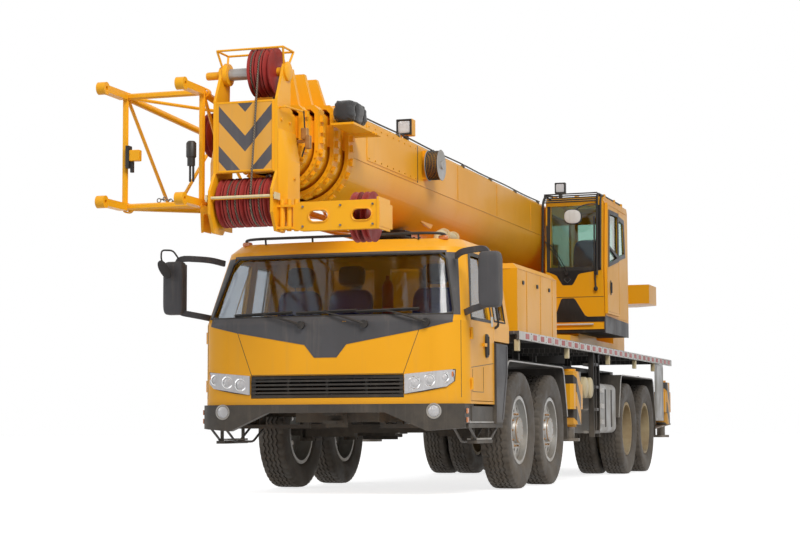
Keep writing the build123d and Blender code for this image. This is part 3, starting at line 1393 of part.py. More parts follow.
# --- crane cab ------------------------------------------------------------------------------------
def crane_cab_volume(inset):
    """Closed form of the crane cab: its front leans forward to the sill and cuts back below it."""
    sill_y, brow_y, roof_y, foot_y = CC_FRONT_STEPS
    eave_z = CC_Z1 - CC_BEVEL - inset * CC_EAVE_SHARE
    side = [
        (CC_FRONT + sill_y + inset, CC_SILL_Z),
        (CC_FRONT + brow_y + inset, eave_z),
        (CC_FRONT + roof_y + inset, CC_Z1 - inset),
        (CC_BACK - CC_BEVEL - inset, CC_Z1 - inset),
        (CC_BACK - inset, eave_z),
        (CC_BACK - inset, CC_Z0 + inset),
        (CC_FRONT + foot_y + inset, CC_Z0 + inset),
    ]
    return prism_x(side, CC_X0 + inset, CC_X1 - inset)


def crane_cab_windows():
    """Cutters: windscreen, lower front pane, right, rear and quarter windows, and roof window."""
    left, right = CC_X0 + CC_FRAME, CC_X1 - CC_FRAME
    near, far = CC_FRONT - CC_CUT_OUT, CC_FRONT + CC_FRONT_RUN
    sill, top = CC_SILL_Z + CC_SCREEN_IN, CC_Z1 - CC_SCREEN_DOWN
    front = prism_y([(left, sill), (right, sill), (right, top), (left, top)], near, far)
    low_left, low_in, low_right, low_top = CC_LOW_PANE
    lower = prism_y(
        [
            (left, low_left), (right - CC_LOW_RUN, low_in), (right, low_right),
            (right, low_top), (left, low_top),
        ],
        near,
        far,
    )
    inner_side = box(CC_X0 - CC_CUT_OUT, CC_X0 + CC_CUT_IN, *CC_INNER_PANE)
    rear = box(left, right, CC_BACK - CC_CUT_IN, CC_BACK + CC_CUT_OUT, *CC_REAR_PANE)
    roof = box(left, right, *CC_ROOF_PANE, CC_Z1 - CC_CUT_IN, CC_Z1 + CC_CUT_OUT)
    quarter = prism_x(CC_QUARTER, CC_X1 - CC_CUT_IN, CC_X1 + CC_CUT_OUT)
    return [front, lower, inner_side, rear, roof, quarter]


def crane_cab_doorway():
    """Cutter of the doorway behind the sliding door."""
    return prism_x(CC_DOORWAY, CC_X1 - CC_CUT_IN, CC_X1 + CC_CUT_OUT)


def crane_cab_shell():
    """Hollow crane cab with door rails, roof guard, handrail, seat and control boxes."""
    shell = crane_cab_volume(0) - crane_cab_volume(CC_WALL)
    shell = shell - crane_cab_windows() - crane_cab_doorway()
    rails = []
    for z in RAIL_ZS:
        low, high = z - RAIL_HALF, z + RAIL_HALF
        rails.append(box(CC_X1, CC_DOOR_X0 - FIT, CC_DOOR[0][0] + RAIL_IN, CC_BACK - RAIL_END, low, high))
    guard = []
    for x in CC_GUARD_XS:
        guard.append(box(x, x + CC_GUARD_W, *CC_GUARD_YS, CC_Z1, CC_Z1 + CC_GUARD_H))
    floor_z = CC_Z0 + CC_WALL
    seat_y0, seat_y1, seat_z = CC_SEAT
    seat = box(*CC_SEAT_X, seat_y0, seat_y1, floor_z, seat_z)
    back = prism_x([(seat_y1 + y, z) for y, z in CC_SEAT_BACK], *CC_SEAT_BACK_X)
    console_y0, console_y1, console_z, console_w = CC_CONSOLE
    consoles = []
    for x in (CC_X0 + CC_WALL, CC_CONSOLE_X):
        consoles.append(box(x, x + console_w, console_y0, console_y1, floor_z, console_z))
    return fitted(joined(shell, *rails), *guard, seat, back, *consoles)


def crane_cab_glass():
    """Fixed panes of the crane cab."""
    skin = crane_cab_volume(CC_WALL / 2 - GLASS_T / 2) - crane_cab_volume(CC_WALL / 2 + GLASS_T / 2)
    return [skin & cutter for cutter in crane_cab_windows()]


def crane_cab_door():
    """Sliding door outside the left wall, with its window opening."""
    panel = prism_x(CC_DOOR, CC_DOOR_X0, CC_DOOR_X0 + CC_DOOR_T)
    return panel - prism_x(CC_DOOR_WINDOW, CC_DOOR_X0 - CUT, CC_DOOR_X0 + CC_DOOR_T + CUT)


# --- boom -----------------------------------------------------------------------------------------
def boom_half(section):
    """Half width of a boom section, which is also the radius of its round lower half."""
    return BOOM_HALF - BOOM_STEP * section


def boom_top(section):
    """Height of a section's top plate."""
    return SEAM_Z + BOOM_RISE - BOOM_STEP * section


def boom_solid(section, inset, y0, y1):
    """Solid boom profile: square above the seam, half round below it."""
    half = boom_half(section) - inset
    top = boom_top(section) - inset
    corner = BOOM_CORNER
    edges = [
        Line((-half, y0, SEAM_Z), (-half, y0, top - corner)),
        Line((-half, y0, top - corner), (-half + corner, y0, top)),
        Line((-half + corner, y0, top), (half - corner, y0, top)),
        Line((half - corner, y0, top), (half, y0, top - corner)),
        Line((half, y0, top - corner), (half, y0, SEAM_Z)),
        ThreePointArc((half, y0, SEAM_Z), (0, y0, SEAM_Z - half), (-half, y0, SEAM_Z)),
    ]
    return extrude(make_face(edges), amount=y1 - y0, dir=(0, 1, 0))


def boom_front(section):
    """Front end of a section when the boom is stowed."""
    return BOOM_FRONT - COLLAR_PITCH * section


def boom_tail(section):
    """Rear end of a section when the boom is stowed."""
    return BOOM_BACK - 40 if section == 0 else TAIL_FIRST - TAIL_PITCH * section


def plate_cutters(section, y0, y1):
    """Blocks that part a section into its top plate, corners, side plates and trough plates."""
    half = boom_half(section)
    far = 2 * BOOM_HALF
    shoulder, inner = boom_top(section) - BOOM_CORNER, half - BOOM_CORNER
    cutters = [box(-inner, inner, y0, y1, shoulder, shoulder + far)]
    cutters += both_sides(
        lambda sign: [
            box(sign * inner, sign * far, y0, y1, shoulder, shoulder + far),
            box(0, sign * far, y0, y1, SEAM_Z, shoulder),
        ]
    )
    angles = [radians(-180 / TROUGH_PLATES * n) for n in range(TROUGH_PLATES + 1)]
    rim = [(far * cos(angle), SEAM_Z + far * sin(angle)) for angle in angles]
    for near, after in zip(rim, rim[1:]):
        cutters.append(prism_y([(0, SEAM_Z), near, after], y0, y1))
    return cutters


def boom_tube(section):
    """Hollow section parted into its plates, with its front collar, top lug and slide pads."""
    front, back = boom_front(section), boom_tail(section)
    half, top = boom_half(section), boom_top(section)
    end = front + COLLAR_LEN
    tube = boom_solid(section, 0, front, back) - boom_solid(section, BOOM_WALL, front - 1, back + 1)
    collar = boom_solid(section, -COLLAR_LIP, front, end) - boom_solid(section, 0, front - 1, end + 1)
    pieces = []
    for cutter in plate_cutters(section, front - 1, back + 1):
        pieces += [*(tube & cutter).solids(), *(collar & cutter).solids()]
    lug = [
        (-half * LUG_FOOT, top + COLLAR_LIP),
        (half * LUG_FOOT, top + COLLAR_LIP),
        (half * LUG_HEAD, LUG_TOP),
        (-half * LUG_HEAD, LUG_TOP),
    ]
    if section < SECTIONS - 1:
        pieces.append(prism_y(lug, front + COLLAR_LUG_IN, front + COLLAR_LUG_IN + COLLAR_LUG_T))
    gap = BOOM_STEP - BOOM_WALL - FIT
    z0, z1 = SEAM_Z + PAD_Z, SEAM_Z + PAD_Z + PAD_H
    for _, sign in SIDES:
        if section < SECTIONS - 1:
            wall_in = half - BOOM_WALL
            y0 = front + PAD_IN
            pieces.append(box(sign * wall_in, sign * (wall_in - gap), y0, y0 + PAD_LEN, z0, z1))
        if section > 0:
            pieces.append(box(sign * half, sign * (half + gap), back - PAD_LEN, back, z0, z1))
    return pieces


def boom_base():
    """Base section with its foot, luffing lugs, cable reel, work lamp and the arms for jib and bundle."""
    half = boom_half(0)
    foot_half = CHEEK_X - CLEAR
    profile = [
        (BOOM_BACK - FOOT_PLATE_LEN, SEAM_Z + 250),
        (BOOM_BACK - FOOT_PLATE_LEN, SEAM_Z),
        (FOOT_Y - 100, FOOT_Z - 150),
        (FOOT_Y + 100, FOOT_Z - 150),
        (FOOT_Y + 160, FOOT_Z),
        (FOOT_Y + 130, FOOT_Z + 200),
    ]
    pin_room = bar((-foot_half - 10, FOOT_Y, FOOT_Z), (foot_half + 10, FOOT_Y, FOOT_Z), FOOT_PIN_R + FIT)
    foot = both_sides(lambda sign: [prism_x(profile, sign * half, sign * foot_half) - pin_room])
    tube = [piece - pin_room if overlapping(piece, pin_room) else piece for piece in boom_tube(0)]
    tube = [solid for piece in tube for solid in piece.solids()]
    eye_y, eye_z = LUFF_EYE
    reach = EYE_HALF + CLEAR
    lug = [
        (eye_y - LUG_RUN, SEAM_Z - half),
        (eye_y - LUG_END, eye_z - LUG_END),
        (eye_y + LUG_END, eye_z - LUG_END),
        (eye_y + LUG_RUN, SEAM_Z - half),
        (eye_y + LUG_RUN, SEAM_Z - half + 2 * BOOM_WALL),
        (eye_y - LUG_RUN, SEAM_Z - half + 2 * BOOM_WALL),
    ]
    lugs = both_sides(lambda sign: [prism_x(lug, sign * reach, sign * (reach + LUFF_LUG_T))])
    pin = bar((-reach, eye_y, eye_z), (reach, eye_y, eye_z), LUFF_PIN_R)
    reel_y, reel_z = REEL
    lamp_x, lamp_y = WORK_LAMP
    lamp_z, top = boom_top(0) + LAMP_POST, boom_top(0)
    bundle_x0, bundle_x1, bundle_y0, _, bundle_z, _ = BUNDLE
    collar_end = BOOM_FRONT + COLLAR_LEN
    extras = [
        Pos(half + REEL_FOOT / 2, reel_y, reel_z) * Box(REEL_FOOT, REEL_R, 2 * REEL_R),
        bar((half + REEL_FOOT, reel_y, reel_z), (half + REEL_FOOT + REEL_W, reel_y, reel_z), REEL_R),
        Pos(lamp_x, lamp_y, (top + lamp_z) / 2) * Box(LAMP_STEM, LAMP_STEM, LAMP_POST),
        Pos(lamp_x, lamp_y, lamp_z + LAMP_HALF) * Box(2 * LAMP_HALF, LAMP_DEPTH, 2 * LAMP_HALF),
        box(half, bundle_x1, collar_end, collar_end + ARM_W, bundle_z - ARM_T, bundle_z),
        box(bundle_x0, bundle_x1, bundle_y0, collar_end, bundle_z - ARM_T, bundle_z),
    ]
    return [*tube, *foot, *fitted(*tube, *lugs)[len(tube):], pin, *extras, *jib_brackets()]


def boom_bundle():
    """Wrapped bundle of loose tackle on its tray beside the base section's collar."""
    x0, x1, y0, y1, z0, z1 = BUNDLE
    block = box(x0, x1, y0, y1, z0, z1)
    return fillet(block.edges().filter_by(Axis.Y), BUNDLE_ROUND)


def jib_brackets():
    """Arms on the boom's right side that carry the stowed jib."""
    pieces = []
    for y in JIB_ARMS:
        post_x = jib_corner(y, 2, 3)[0] + JIB_POST / 2 + FIT
        low = SEAM_Z + PAD_Z
        pieces.append(box(-boom_half(0), post_x, y - ARM_W / 2, y + ARM_W / 2, low, low + ARM_W))
    return pieces


def head_cheeks():
    """Cheek plates of the head with the front plate between them and the guard bars."""
    front = boom_front(SECTIONS - 1)
    cheek = [
        (front + CHEEK_LAP, SEAM_Z + 300),
        (UPPER_Y + 90, UPPER_Z + 60),
        (UPPER_Y - 60, UPPER_Z + 60),
        (HEAD_FRONT, SEAM_Z + 310),
        (HEAD_FRONT, LOWER_Z + SHEAVE_R + 30),
        (HEAD_FRONT - HEAD_LIP, LOWER_Z + 80),
        (HEAD_FRONT - HEAD_LIP, LOWER_Z - 120),
        (HEAD_FRONT - 20, LOWER_Z - SHEAVE_R - 60),
        (LOWER_Y + 20, LOWER_Z - SHEAVE_R - 60),
        (LOWER_Y + 150, LOWER_Z - 140),
        (front + CHEEK_LAP, SEAM_Z - 260),
    ]
    inner = HEAD_X - HEAD_PLATE
    plates = both_sides(lambda sign: [prism_x(cheek, sign * inner, sign * HEAD_X)])
    low, high = LOWER_Z + SHEAVE_R + HEAD_GAP, SEAM_Z + HEAD_RISE
    plates.append(box(-inner, inner, HEAD_FRONT, HEAD_FRONT + HEAD_PLATE, low, high))
    guard_y = HEAD_FRONT - HEAD_LIP + GUARD_R + GUARD_IN
    bars = [bar((-inner, guard_y, LOWER_Z + 20), (inner, guard_y, LOWER_Z + 20), GUARD_R)]
    for y, z in ((LOWER_Y, LOWER_Z), (UPPER_Y, UPPER_Z)):
        bars.append(bar((-inner, y, z), (inner, y, z), SHAFT_R))
        bars += both_sides(
            lambda sign: [bar((sign * HEAD_X, y, z), (sign * (HEAD_X + BOSS_T), y, z), SHAFT_R * 1.6)]
        )
    return plates, bars


def side_arm():
    """Arm beside the head with its slotted face plate, hinge plates and pins, and its sheave's shaft."""
    face_y, x0, x1, z0, z1 = ARM
    back_y = face_y + ARM_T
    root_x = x0 - ARM_ROOT
    slots = []
    for x in ARM_SLOT_XS:
        middle = (z0 + z1) / 2
        for end in (-ARM_SLOT_LEN / 2, ARM_SLOT_LEN / 2):
            slots.append(bar((x + end, face_y - CUT, middle), (x + end, back_y + CUT, middle), ARM_SLOT_R))
        slots.append(
            Pos(x, face_y + ARM_T / 2, middle) * Box(ARM_SLOT_LEN, ARM_T + 2 * CUT, 2 * ARM_SLOT_R)
        )
    low, high = z0 + ARM_TAPER, z1 - ARM_TAPER
    outline = [(root_x, low), (x0, z0), (x1, z0), (x1, z1), (x0, z1), (root_x, high)]
    face = prism_y(outline, face_y, back_y)
    lips = [box(x0, x1, back_y, back_y + ARM_LIP, z, z + ARM_T) for z in (z0, z1 - ARM_T)]
    hinge_y = face_y - ARM_HINGE_OUT
    hinge = [box(HEAD_X, root_x, hinge_y, face_y + ARM_W, z, z + ARM_T) for z in (low, high - ARM_T)]
    pins = []
    for share, back in ARM_PINS:
        pin_x, pin_y = HEAD_X + share * (root_x - HEAD_X), face_y + back
        pins.append(bar((pin_x, pin_y, low + ARM_T), (pin_x, pin_y, high - ARM_T), ARM_PIN_R))
    sheave_y, sheave_z = ARM_SHEAVE
    ends = [
        box(x, x + ARM_T, back_y if x < x1 else face_y, sheave_y + ARM_LIP, z0 + ARM_T, z1 - ARM_T)
        for x in (ARM_SHEAVE_XS[0] - ARM_CHEEK_OUT, x1)
    ]
    shaft_x = ARM_SHEAVE_XS[0] - ARM_CHEEK_OUT + ARM_T
    shaft = bar((shaft_x, sheave_y, sheave_z), (x1, sheave_y, sheave_z), ARM_SHAFT_R)
    return [face - slots, *lips, *hinge, *pins, *ends, shaft]


def boom_head():
    """Fifth section with its head: cheeks, front plate, shafts, guard bars and the side arm."""
    plates, bars = head_cheeks()
    return fitted(*boom_tube(SECTIONS - 1), *plates, *bars, *side_arm())


def sheave(x, y, z, radius, bore):
    """Grooved sheave about a line along X."""
    half, root = SHEAVE_W / 2, radius - SHEAVE_GROOVE
    outline = [
        (x - half, bore),
        (x - half, radius),
        (x - half + SHEAVE_RIM, radius),
        (x, root),
        (x + half - SHEAVE_RIM, radius),
        (x + half, radius),
        (x + half, bore),
    ]
    return turned_x(outline, y, z)


def sheaves():
    """Rope sheaves of the head, on the lower and upper shafts, and the side arm's pair."""
    pieces = []
    for count, y, z, middle in (
        (LOWER_SHEAVES, LOWER_Y, LOWER_Z, 0.0),
        (UPPER_SHEAVES, UPPER_Y, UPPER_Z, UPPER_MIDDLE),
    ):
        for n in range(count):
            x = middle + (n - (count - 1) / 2) * SHEAVE_PITCH
            pieces.append(sheave(x, y, z, SHEAVE_R, SHAFT_R + FIT))
    for x in ARM_SHEAVE_XS:
        pieces.append(sheave(x, *ARM_SHEAVE, ARM_SHEAVE_R, ARM_SHAFT_R + FIT))
    return pieces


# --- luffing cylinder -----------------------------------------------------------------------------
def luff_direction():
    """Length between the cylinder's pins and its direction in the (y, z) plane."""
    run = LUFF_EYE[0] - LUFF_BASE[0]
    rise = LUFF_EYE[1] - LUFF_BASE[1]
    length = hypot(run, rise)
    return length, run / length, rise / length


def along_luff(distance):
    """Point on the cylinder's line at a distance from its base pin."""
    _, run, rise = luff_direction()
    return (0.0, LUFF_BASE[0] + run * distance, LUFF_BASE[1] + rise * distance)


def luff_barrel():
    """Barrel with its base eye, open at the gland."""
    end = luff_direction()[0] - GLAND_TO_EYE
    eye = bar((-EYE_HALF, *LUFF_BASE), (EYE_HALF, *LUFF_BASE), EYE_R)
    neck = bar(along_luff(EYE_R * 0.6), along_luff(NECK_LEN + 10), NECK_R)
    body = bar(along_luff(NECK_LEN), along_luff(end), BARREL_R)
    gland = bar(along_luff(end - GLAND_LEN), along_luff(end), BARREL_R + GLAND_LIP)
    bore = bar(along_luff(ROD_START - 10), along_luff(end + 1), ROD_R + FIT)
    pin_room = bar((-EYE_HALF - 5, *LUFF_BASE), (EYE_HALF + 5, *LUFF_BASE), LUFF_PIN_R + FIT)
    return joined(eye, neck, body, gland) - bore - pin_room


def luff_rod():
    """Rod and its eye at the boom."""
    length, _, _ = luff_direction()
    eye = bar((-EYE_HALF, *LUFF_EYE), (EYE_HALF, *LUFF_EYE), EYE_R)
    rod = bar(along_luff(ROD_START), along_luff(length - EYE_R * 0.5), ROD_R)
    pin_room = bar((-EYE_HALF - 5, *LUFF_EYE), (EYE_HALF + 5, *LUFF_EYE), LUFF_PIN_R + FIT)
    return joined(eye, rod) - pin_room


# --- jib ------------------------------------------------------------------------------------------
def jib_corner(y, x_column, z_column):
    """Point on one chord at y, between the stations of the table."""
    for near, far in zip(JIB_STATIONS, JIB_STATIONS[1:]):
        if y <= far[0]:
            break
    share = (y - near[0]) / (far[0] - near[0])
    x = near[x_column] + (far[x_column] - near[x_column]) * share
    z = near[z_column] + (far[z_column] - near[z_column]) * share
    return (x, y, z)


def jib_chords(corners):
    """Forks at the jib's tip and the chord tubes behind them."""
    tip = JIB_STATIONS[0][0]
    pieces = []
    for corner in corners:
        x, y, z = jib_corner(tip, *corner)
        half = FORK_R - FORK_GAP
        fork = joined(
            box(x - half, x + half, JIB_TIP_Y, y, z - CHORD_R, z + CHORD_R),
            bar((x - half, JIB_TIP_Y, z), (x + half, JIB_TIP_Y, z), FORK_R),
        )
        pieces.append(fork - bar((x - FORK_R, JIB_TIP_Y, z), (x + FORK_R, JIB_TIP_Y, z), FORK_PIN_R))
        pieces += [
            bar(jib_corner(near[0], *corner), jib_corner(far[0], *corner), CHORD_R)
            for near, far in zip(JIB_STATIONS, JIB_STATIONS[1:])
        ]
    return fitted(*pieces)


def jib_lacing(faces):
    """Lines of the diagonals, bay by bay, and of the frames at the stations, each with its radius."""
    lines = []
    for near, far, bays in zip(JIB_STATIONS, JIB_STATIONS[1:], JIB_BAYS):
        pitch = (far[0] - near[0]) / bays
        for first, second in faces:
            for n in range(bays):
                start, end = (first, second) if n % 2 == 0 else (second, first)
                y0 = near[0] + n * pitch
                foot = jib_corner(y0 + LACE_IN, *start)
                lines.append((foot, jib_corner(y0 + pitch - LACE_IN, *end), LACE_R))
    for station in JIB_STATIONS:
        y = min(max(station[0], JIB_STATIONS[0][0] + CHORD_R), JIB_STATIONS[-1][0] - CHORD_R)
        radius = CHORD_R * 0.9 if station is JIB_STATIONS[0] else FRAME_LACE_R
        lines += [(jib_corner(y, *first), jib_corner(y, *second), radius) for first, second in faces]
    return lines


def jib():
    """Lattice jib stowed along the boom: chords, lacing, end frames, forks and the posts on its arms."""
    corners = [(x, z) for x in (1, 2) for z in (3, 4)]
    faces = (((1, 4), (1, 3)), ((2, 4), (2, 3)), ((1, 4), (2, 4)), ((1, 3), (2, 3)))
    chords = jib_chords(corners)
    laces = []
    for start, end, radius in jib_lacing(faces):
        lace = strut(start, end, radius)
        left = lace - [chord for chord in chords if overlapping(lace, chord)]
        laces.append(max(left.solids(), key=lambda solid: solid.volume))
    posts = []
    for y in JIB_ARMS:
        x, _, low = jib_corner(y, 2, 3)
        top = jib_corner(y, 2, 4)[2]
        posts.append(box(x - JIB_POST / 2, x + JIB_POST / 2, y - ARM_W / 2, y + ARM_W / 2, low, top))
    return fitted(*chords, *laces, *posts)


# --- nodes ----------------------------------------------------------------------------------------
def wheel_nodes():
    """Tyres, rims and knuckles of all axles."""
    nodes = {}
    for number, y in enumerate(AXLE_Y, start=1):
        for side, sign in SIDES:
            centre = sign * TRACK_X
            tag = f"{number}_{side}"
            if number <= STEERED:
                nodes[f"tyre_{tag}"] = [tyre(centre, y)]
                nodes[f"rim_{tag}"] = front_rim(sign, y)
                nodes[f"knuckle_{tag}"] = knuckle(sign, y)
            else:
                nodes[f"tyre_{tag}"] = [tyre(centre, y), tyre(centre - sign * TWIN_STEP, y)]
                nodes[f"rim_{tag}"] = rear_rim(sign, y)
    return nodes


def outrigger_nodes():
    """Beams and jacks at the four corners."""
    nodes = {}
    for name, box_y in OUTRIGGER_BOXES:
        for side, sign in SIDES:
            nodes[f"outrigger_beam_{name}_{side}"] = outrigger_beam(box_y, sign)
            nodes[f"outrigger_jack_{name}_{side}"] = outrigger_jack(box_y, sign)
    return nodes


def boom_nodes():
    """Boom sections, head, sheaves, bundle, jib and luffing cylinder."""
    nodes = {"boom_base": boom_base(), "boom_bundle": boom_bundle()}
    for section in range(1, SECTIONS - 1):
        nodes[f"boom_section_{section + 1}"] = boom_tube(section)
    nodes[f"boom_section_{SECTIONS}"] = boom_head()
    nodes["head_sheaves"] = sheaves()
    nodes["jib"] = jib()
    nodes["luff_barrel"] = luff_barrel()
    nodes["luff_rod"] = luff_rod()
    return nodes


def carrier_nodes():
    """Everything fixed to the carrier, and the cab doors."""
    return {
        "chassis_frame": chassis_frame(),
        "axles": axles(),
        "deck": deck(),
        "cab_shell": cab_shell(),
        "cab_glass": cab_glass(),
        "cab_interior": cab_interior(),
        "cab_door_left": cab_door(1),
        "cab_door_right": cab_door(-1),
        "bumper": bumper(),
        "grille": grille(),
        "lamps": lamps(),
        "mirrors": mirrors(),
        "engine_hood": engine_hood(),
        "engine": engine(),
        "mudguards": mudguards(),
        "side_equipment": side_equipment(),
    }


def upper_nodes():
    """Superstructure and crane cab."""
    return {
        "turntable": turntable(),
        "counterweight": counterweight(),
        "winches": winches(),
        "crane_cab_shell": crane_cab_shell(),
        "crane_cab_glass": crane_cab_glass(),
        "crane_cab_door": crane_cab_door(),
    }


def place(shape):
    """Shape, or list of separate solids, moved so that the model is centred along Y."""
    solids = shape if isinstance(shape, list) else [shape]
    moved = [Pos(0, -CENTRE_Y, 0) * solid for solid in solids]
    return moved[0] if len(moved) == 1 else Compound(children=moved)


nodes = {**carrier_nodes(), **wheel_nodes(), **outrigger_nodes(), **upper_nodes(), **boom_nodes()}
for name, shape in nodes.items():
    export_step(place(shape), f"parts/{name}.step")
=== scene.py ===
"""Mobile crane: the looks around its CAD part, laid out as a Blender add-on."""

import json

import bmesh
import bpy
import numpy as np
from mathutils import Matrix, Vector


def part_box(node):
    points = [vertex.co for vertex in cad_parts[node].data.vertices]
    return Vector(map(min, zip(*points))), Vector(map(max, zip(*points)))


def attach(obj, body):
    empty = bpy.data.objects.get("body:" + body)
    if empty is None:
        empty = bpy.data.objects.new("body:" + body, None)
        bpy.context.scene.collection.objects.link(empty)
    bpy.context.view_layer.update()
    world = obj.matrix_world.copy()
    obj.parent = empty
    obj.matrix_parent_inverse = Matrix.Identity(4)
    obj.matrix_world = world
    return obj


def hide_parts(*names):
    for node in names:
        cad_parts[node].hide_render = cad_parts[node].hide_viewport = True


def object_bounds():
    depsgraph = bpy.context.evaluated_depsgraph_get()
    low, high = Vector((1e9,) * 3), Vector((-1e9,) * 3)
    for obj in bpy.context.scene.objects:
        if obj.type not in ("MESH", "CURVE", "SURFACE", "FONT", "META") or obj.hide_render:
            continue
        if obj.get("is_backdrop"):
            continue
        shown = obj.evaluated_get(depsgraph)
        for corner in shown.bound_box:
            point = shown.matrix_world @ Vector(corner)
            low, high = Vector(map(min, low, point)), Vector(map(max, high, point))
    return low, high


bl_info = {
    "name": "Mobile crane",
    "version": (1, 0, 0),
    "blender": (4, 5, 0),
    "location": "3D View > Sidebar > Crane",
    "description": "Dresses the crane part with its finishes, fittings, stage and camera",
    "category": "Object",
}

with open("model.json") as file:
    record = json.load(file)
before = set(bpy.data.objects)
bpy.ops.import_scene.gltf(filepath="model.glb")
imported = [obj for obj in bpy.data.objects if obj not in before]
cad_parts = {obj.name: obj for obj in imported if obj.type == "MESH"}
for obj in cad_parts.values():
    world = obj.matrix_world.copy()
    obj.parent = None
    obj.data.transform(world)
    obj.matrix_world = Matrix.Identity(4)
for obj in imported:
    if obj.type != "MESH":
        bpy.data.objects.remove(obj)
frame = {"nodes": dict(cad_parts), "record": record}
LOW, HIGH = (np.array(corner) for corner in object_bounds())
SLOT_OF = {part["node"]: part["material_slot"] for part in frame["record"]["subparts"]}
LEFT, RIGHT = "left", "right"
SIDES = ((LEFT, 1), (RIGHT, -1))


# ---------------------------------------------------------------- shapes


def corners(node):
    """The lowest and highest corner of a CAD node, as arrays."""
    low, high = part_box(node)
    return np.array(low), np.array(high)


def lattice(points, wrap_u=False, wrap_v=False, cap_u=False):
    """A grid of points, (rows, columns, 3), with a quad between each four neighbours.

    wrap_u joins the last row to the first, wrap_v the last column to the first,
    and cap_u closes the first and last rows with one face each.
    """
    rows, columns = points.shape[:2]
    numbers = np.arange(rows * columns).reshape(rows, columns)
    if wrap_u:
        numbers = np.vstack([numbers, numbers[:1]])
    if wrap_v:
        numbers = np.hstack([numbers, numbers[:, :1]])
    quads = np.stack(
        [numbers[:-1, :-1], numbers[:-1, 1:], numbers[1:, 1:], numbers[1:, :-1]], axis=-1
    ).reshape(-1, 4)
    faces = [quads]
    if cap_u:
        faces += [numbers[:1, :columns][:, ::-1], numbers[-1:, :columns]]
    return points.reshape(-1, 3), faces


def frames_along(path, up=(0, 0, 1)):
    """Side and up vectors at each point of a path: each is square to the path's run there."""
    path = np.asarray(path, float)
    run = np.gradient(path, axis=0)
    run /= np.linalg.norm(run, axis=1)[:, None]
    up = np.broadcast_to(np.asarray(up, float), run.shape)
    across = np.cross(run, up)
    weak = np.linalg.norm(across, axis=1) < 1e-3
    across[weak] = np.cross(run[weak], (0.3, 1.0, 0.1))
    across /= np.linalg.norm(across, axis=1)[:, None]
    return across, np.cross(across, run)


def carry(profile, path, up=(0, 0, 1), scale=None):
    """A closed profile, (n, 2), carried along a path: point = path + x * across + y * up."""
    path = np.asarray(path, float)
    across, lift = frames_along(path, up)
    size = np.ones(len(path)) if scale is None else np.asarray(scale, float)
    flat = np.asarray(profile, float)[None] * size[:, None, None]
    points = path[:, None] + flat[..., :1] * across[:, None] + flat[..., 1:] * lift[:, None]
    return lattice(points, wrap_v=True, cap_u=True)


def ring(radius, sides):
    """Points round a circle in a plane, (sides, 2)."""
    turn = np.arange(sides) * 2 * np.pi / sides
    return np.stack([np.cos(turn), np.sin(turn)], axis=1) * radius


def tube(path, radius, sides=10, up=(0, 0, 1)):
    """A round bar along a path."""
    return carry(ring(radius, sides)[::-1], path, up)


def rounded(corner_points, radius, steps=5):
    """A path through corners, each rounded by a curve that leaves and meets its runs smoothly.

    Each corner becomes (1-t)^2 * before + 2t(1-t) * corner + t^2 * after, with before and
    after a radius away from it along its two runs.
    """
    corner_points = np.asarray(corner_points, float)
    t = np.linspace(0, 1, steps)[:, None]
    path = [corner_points[:1]]
    for before, here, after in zip(corner_points, corner_points[1:], corner_points[2:]):
        back, ahead = before - here, after - here
        near = here + back * min(radius / np.linalg.norm(back), 0.48)
        far = here + ahead * min(radius / np.linalg.norm(ahead), 0.48)
        path.append((1 - t) ** 2 * near + 2 * t * (1 - t) * here + t**2 * far)
    path.append(corner_points[-1:])
    return np.vstack(path)


def blocks(centres, sizes, turns=None):
    """Many boxes at once: corner = centre + turn * (half size * (+-1, +-1, +-1))."""
    centres = np.atleast_2d(np.asarray(centres, float))
    sizes = np.broadcast_to(np.asarray(sizes, float), centres.shape)
    signs = np.array([(x, y, z) for z in (-1, 1) for y in (-1, 1) for x in (-1, 1)], float)
    local = signs[None] * sizes[:, None] / 2
    if turns is not None:
        turns = np.broadcast_to(np.asarray(turns, float), (len(centres), 3, 3))
        local = np.einsum("nij,nkj->nki", turns, local)
    points = (centres[:, None] + local).reshape(-1, 3)
    box = np.array([(0, 2, 3, 1), (4, 5, 7, 6), (0, 1, 5, 4), (2, 6, 7, 3), (0, 4, 6, 2), (1, 3, 7, 5)])
    quads = (np.arange(len(centres))[:, None, None] * 8 + box[None]).reshape(-1, 4)
    return points, [quads]


def bars(starts, ends, radius, sides=6):
    """Many straight round bars at once, from each start to its end."""
    starts, ends = (np.atleast_2d(np.asarray(p, float)) for p in (starts, ends))
    run = ends - starts
    run /= np.linalg.norm(run, axis=1)[:, None]
    helper = np.where(np.abs(run[:, 2:]) > 0.9, (1.0, 0.0, 0.0), (0.0, 0.0, 1.0))
    across = np.cross(run, helper)
    across /= np.linalg.norm(across, axis=1)[:, None]
    lift = np.cross(run, across)
    flat = ring(1.0, sides)
    radius = np.broadcast_to(np.asarray(radius, float), (len(starts),))
    edge = (flat[None, :, :1] * across[:, None] + flat[None, :, 1:] * lift[:, None]) * radius[:, None, None]
    points = np.stack([starts[:, None] + edge, ends[:, None] + edge], axis=1).reshape(-1, 3)
    base = np.arange(len(starts))[:, None] * 2 * sides
    here = np.arange(sides)
    after = (here + 1) % sides
    quads = np.stack([base + here, base + after, base + sides + after, base + sides + here], axis=-1)
    ends_of = [(base + here)[:, ::-1], base + sides + here]
    return points, [quads.reshape(-1, 4), *ends_of]


AXES = {
    "X": np.array([(0, 1, 0), (0, 0, 1), (1, 0, 0)], float),
    "Y": np.array([(0, 0, 1), (1, 0, 0), (0, 1, 0)], float),
    "Z": np.array([(1, 0, 0), (0, 1, 0), (0, 0, 1)], float),
}


